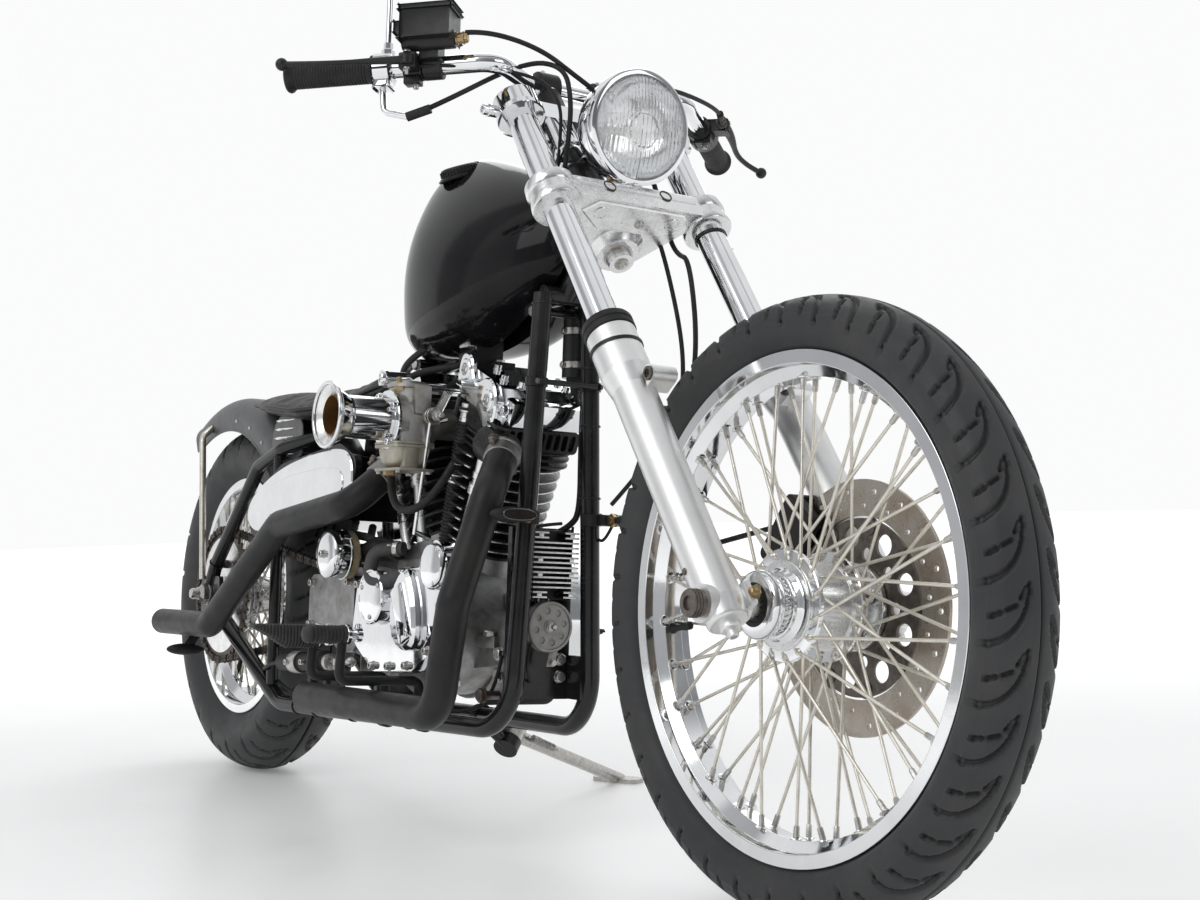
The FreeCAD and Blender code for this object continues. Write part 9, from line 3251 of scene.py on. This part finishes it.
@dataclass
class FrameDetails:
    """Weld beads, head cups, axle adjusters, ties, a stay and bolts on the frame."""

    def build(self, shop: Workshop) -> None:
        """Makes the frame's small pieces."""
        self.welds(shop)
        self.fixings(shop)
        self.ties(shop)

    def welds(self, shop: Workshop) -> None:
        """Lays a fine bead round the joints that show, and turns the cups of the steering head."""
        shape = Shape()
        joints = []
        for side in (-1, 1):
            joints.append((vec(1030.0, side * 38.0, 744.0), vec(0.0, side * 0.06, 1.0), 14.2))
            joints.append((vec(292.0, side * 104.6, 556.0), Z_AXIS, 10.8))
            joints.append((vec(292.0, side * 100.2, 160.0), Z_AXIS, 10.8))
            joints.append((vec(62.0, side * 106.0, 287.0), vec(0.85, 0.0, -0.45), 14.4))
            joints.append((vec(24.0, side * 106.0, 374.0), vec(0.7, 0.0, 0.7), 12.8))
            joints.append((vec(600.0, side * 18.0, 666.0), vec(0.9, side * -0.24, 0.36), 12.8))
        joints.append((vec(1066.0, 0.0, 872.0), vec(0.95, 0.0, 0.1), 14.6))
        joints.append((vec(870.0, 0.0, 761.0), vec(1.0, 0.0, 0.0), 13.0))
        for place, axis, radius in joints:
            axis = axis.normalized()
            u, v = across_of(axis)
            ring = []
            for k in range(48):
                turn = math.tau * k / 48
                wave = radius + 0.5 * math.sin(turn * 14.0)
                ring.append(place + (u * math.cos(turn) + v * math.sin(turn)) * wave)
            ring.append(ring[0])
            shape.tube(ring, 1.5, 0.0, 8)
        shop.make("weld_beads", shape, FRAME_BLACK)
        cups = Shape()
        low = fork_point(-STEERING_OFFSET, 0.0, 656.0)
        high = fork_point(-STEERING_OFFSET, 0.0, 778.0)
        for start, run in ((low, FORK_UP), (high, -FORK_UP)):
            cups.lathe([(0.2, 27.0), (1.4, 29.6), (7.0, 29.6), (8.2, 28.6), (9.0, 29.6), (15.0, 29.6), (16.4, 27.0)],
                       start, run, 56)
        shop.make("head_cups", cups, CHROME)

    def fixings(self, shop: Workshop) -> None:
        """Adds the axle nuts, adjusters, engine bolts, and the stay between the downtubes."""
        steel = Shape()
        for side in (-1, 1):
            out = Y_AXIS * side
            steel.bolt(REAR_CENTRE + out * 111.0, out, 20.0, Head.NUT)
            block = REAR_CENTRE + out * 112.0 - X_AXIS * 46.0
            steel.box(block, (16.0, 6.0, 22.0), 1.2)
            steel.rod(block - X_AXIS * 20.0, block + X_AXIS * 34.0, 3.6, 12, 0.5)
            steel.bolt(block - X_AXIS * 8.0, -X_AXIS, 6.5, Head.NUT)
        for y in (-34.0, 34.0):
            for z in (232.0, 256.0):
                steel.bolt(vec(990.2, y, z), X_AXIS, 9.0, Head.HEX)
        for x, z in ((966.0, 232.0), (966.0, 262.0)):
            for side in (-1, 1):
                steel.bolt(vec(x, side * 47.0, z), Y_AXIS * side, 10.0, Head.HEX)
        for side in (-1, 1):
            steel.bolt(vec(560.0, side * 40.0, 168.0), Z_AXIS, 9.0, Head.HEX)
        shop.make("frame_bolts", steel, STEEL)
        stay = Shape()
        right = vec(1044.0, -46.0, 634.0)
        left = vec(1044.0, 46.0, 634.0)
        stay.rod(right, left, 4.0, 14, 0.6)
        for place in (right, left):
            stay.lathe([(-7.0, 14.0), (-6.0, 16.0), (6.0, 16.0), (7.0, 14.0)], vec(1030.0, place.y * 0.94, 634.0),
                       Z_AXIS, 28)
        shop.make("downtube_stay", stay, FRAME_BLACK)
        knobs = Shape()
        for place in (right, left):
            knobs.bolt(place + vec(2.0, place.y * 0.08, 0.0), Y_AXIS * math.copysign(1.0, place.y), 4.5, Head.HEX)
        knobs.bolt(vec(975.0, -76.0, 206.0), -Y_AXIS, 11.0, Head.HEX)
        knobs.rod(vec(975.0, -52.0, 206.0), vec(975.0, -78.0, 206.0), 6.0, 16)
        shop.make("stay_bolts", knobs, DARK_STEEL)

    def ties(self, shop: Workshop) -> None:
        """Adds the ties round the right rail with the cable they hold."""
        ties = Shape()
        for x in (402.0, 470.0, 590.0, 760.0):
            middle = rail(x)
            ties.lathe([(-2.2, 13.6), (-1.8, 15.2), (1.8, 15.2), (2.2, 13.6)], middle, X_AXIS, 28)
        shop.make("rail_ties", ties, BLACK_MOULDING)
        cable = Shape()
        points = [rail(x) + vec(0.0, 4.0, 15.8) for x in (360.0, 460.0, 600.0, 760.0, 900.0)]
        cable.cable([vec(300.0, -92.0, 180.0)] + points + [vec(972.0, -58.0, 200.0), vec(976.0, -50.0, 260.0)], 2.8)
        shop.make("rail_cable", cable, BLACK_RUBBER)


@dataclass
class SideStand:
    """The stand's return spring and pivot bolt.

    Attributes:
        pivot: the pivot's middle.
        foot: the foot's middle.
    """

    pivot: Vector = vec(735.0, 112.0, 128.0)
    foot: Vector = vec(602.0, 404.0, 31.0)

    def build(self, shop: Workshop) -> None:
        """Makes the spring beside the leg and the pivot's fastener."""
        run = (self.foot - self.pivot).normalized()
        axis = vec(-0.406, 0.609, 0.682).normalized()
        beside = run.cross(axis).normalized()
        spring = Shape()
        start = self.pivot + run * 34.0 + beside * 15.5
        turns = 15
        coil = []
        u, v = across_of(run)
        for k in range(turns * 12 + 1):
            angle = math.tau * k / 12
            coil.append(start + run * (k / 12 * 4.1) + (u * math.cos(angle) + v * math.sin(angle)) * 5.4)
        spring.tube(coil, 1.3, 0.0, 6)
        end = start + run * (turns * 4.1)
        spring.tube([start + u * 5.4, start, start - run * 12.0], 1.4, 2.0, 8)
        spring.tube([end + u * 5.4, end, end + run * 10.0, end + run * 12.0 - beside * 12.0], 1.4, 2.0, 8)
        shop.make("stand_spring", spring, STEEL, "side_stand")
        bolt = Shape()
        bolt.bolt(self.pivot + axis * 12.2, axis, 14.0, Head.HEX)
        bolt.rod(end + run * 12.0 - beside * 16.0, end + run * 12.0 + beside * 3.0, 3.0, 12, 0.5)
        shop.make("stand_bolt", bolt, STEEL, "side_stand")


PLAIN_NODES: Sequence[Tuple[Finish, Sequence[str], float]] = (
    (FRAME_BLACK, ("frame_right", "frame_left", "frame_spine", "engine_mounts"), 0.0),
    (STEEL, ("rear_axle", "front_axle"), 0.6),
    (CAST_ALLOY, ("crankcase",), 1.2),
    (CHROME, ("cam_cover", "primary_cover"), 2.0),
    (CHROME, ("rocker_boxes",), 2.0),
    (CAST_ALLOY, ("sprocket_cover",), 1.2),
    (SLIDER_ALLOY, ("pushrod_tubes",), 0.0),
    (ENGINE_BLACK, ("cylinders", "heads"), 0.5),
    (ZINC_ALLOY, ("carburettor",), 0.8),
    (CHROME, ("velocity_stack", "breather"), 0.0),
    (PIPE_BLACK, ("exhaust_front", "exhaust_rear"), 0.0),
    (GLOSS_BLACK, ("oil_tank",), 0.8),
    (GLOSS_BLACK, ("fuel_tank",), 0.0),
    (SATIN_BLACK, ("tank_cap", "regulator", "rear_brake", "signals"), 0.5),
    (SEAT_HIDE, ("seat",), 0.0),
    (FENDER_GREY, ("rear_fender",), 0.0),
    (SPOKE_STEEL, ("fender_strut",), 0.0),
    (HORN_GREY, ("horn",), 0.5),
    (BLACK_MOULDING, ("ignition_coil",), 0.5),
    (BLACK_RUBBER, ("foot_pegs", "brake_pedal", "fork_seals", "grips", "cables"), 0.0),
    (CHAIN_STEEL, ("drive_chain",), 0.0),
    (POLISHED_ALLOY, ("lower_clamp",), 1.2),
    (CHROME, ("top_clamp", "fork_tubes", "handlebar", "headlamp", "mirror"), 0.0),
    (SLIDER_ALLOY, ("fork_sliders",), 0.8),
    (BLACK_MOULDING, ("hand_controls",), 0.8),
    (SATIN_BLACK, ("front_caliper",), 1.0),
    (CHROME, ("front_rim", "rear_rim"), 0.0),
    (SPOKE_STEEL, ("front_spokes", "rear_spokes"), 0.0),
    (POLISHED_ALLOY, ("front_hub", "rear_hub"), 0.8),
    (STEEL, ("side_stand",), 0.6),
    (BLACK_MOULDING, ("headlamp_lens",), 0.0),
    (DISC_STEEL, ("front_disc",), 0.0),
    (TYRE_RUBBER, ("front_tyre", "rear_tyre"), 0.0),
)


def front_wheel() -> FrontWheel:
    """Gives the front wheel its sizes."""
    return FrontWheel("front", FRONT_CENTRE, FRONT_RADIUS, 92.0, 283.5, 271.0, 66.0, 258.0, 60, 36.0, 50.0, 30.0,
                      Tread(34, 60.0, 4.6, 7.6), 1190)


def rear_wheel() -> RearWheel:
    """Gives the rear wheel its sizes."""
    return RearWheel("rear", REAR_CENTRE, REAR_RADIUS, 130.0, 216.0, 204.0, 96.0, 188.0, 60, 40.0, 52.0, 36.0,
                     Tread(22, 78.0, 5.2, 9.0), 770, holes=59.0)


def main() -> Workshop:
    """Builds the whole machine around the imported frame.

    Returns:
        The workshop with every piece made.
    """
    logging.basicConfig(level=logging.INFO, format="%(name)s: %(message)s")
    shop = Workshop()
    Studio().build()
    for finish, nodes, edge in PLAIN_NODES:
        shop.dress(finish, *nodes, bevel=edge)
    assemblies = (front_wheel(), rear_wheel(), Fork(), Headlamp(vec(1202.0, 0.0, 960.0)),
                  Handlebar(vec(886.0, -359.0, 1031.0), vec(1082.0, -152.0, 1047.0)), Barrels(), Heads(), Pushrods(),
                  Covers(), Intake(), Exhaust(), Breather(), Electrics(), FuelTank(), OilTank(), Saddle(),
                  RearFender(), FootControls(), Driveline(), FrameDetails(), SideStand())
    for part in assemblies:
        part.build(shop)
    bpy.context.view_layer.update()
    return shop


if __name__ == "__main__":
    main()
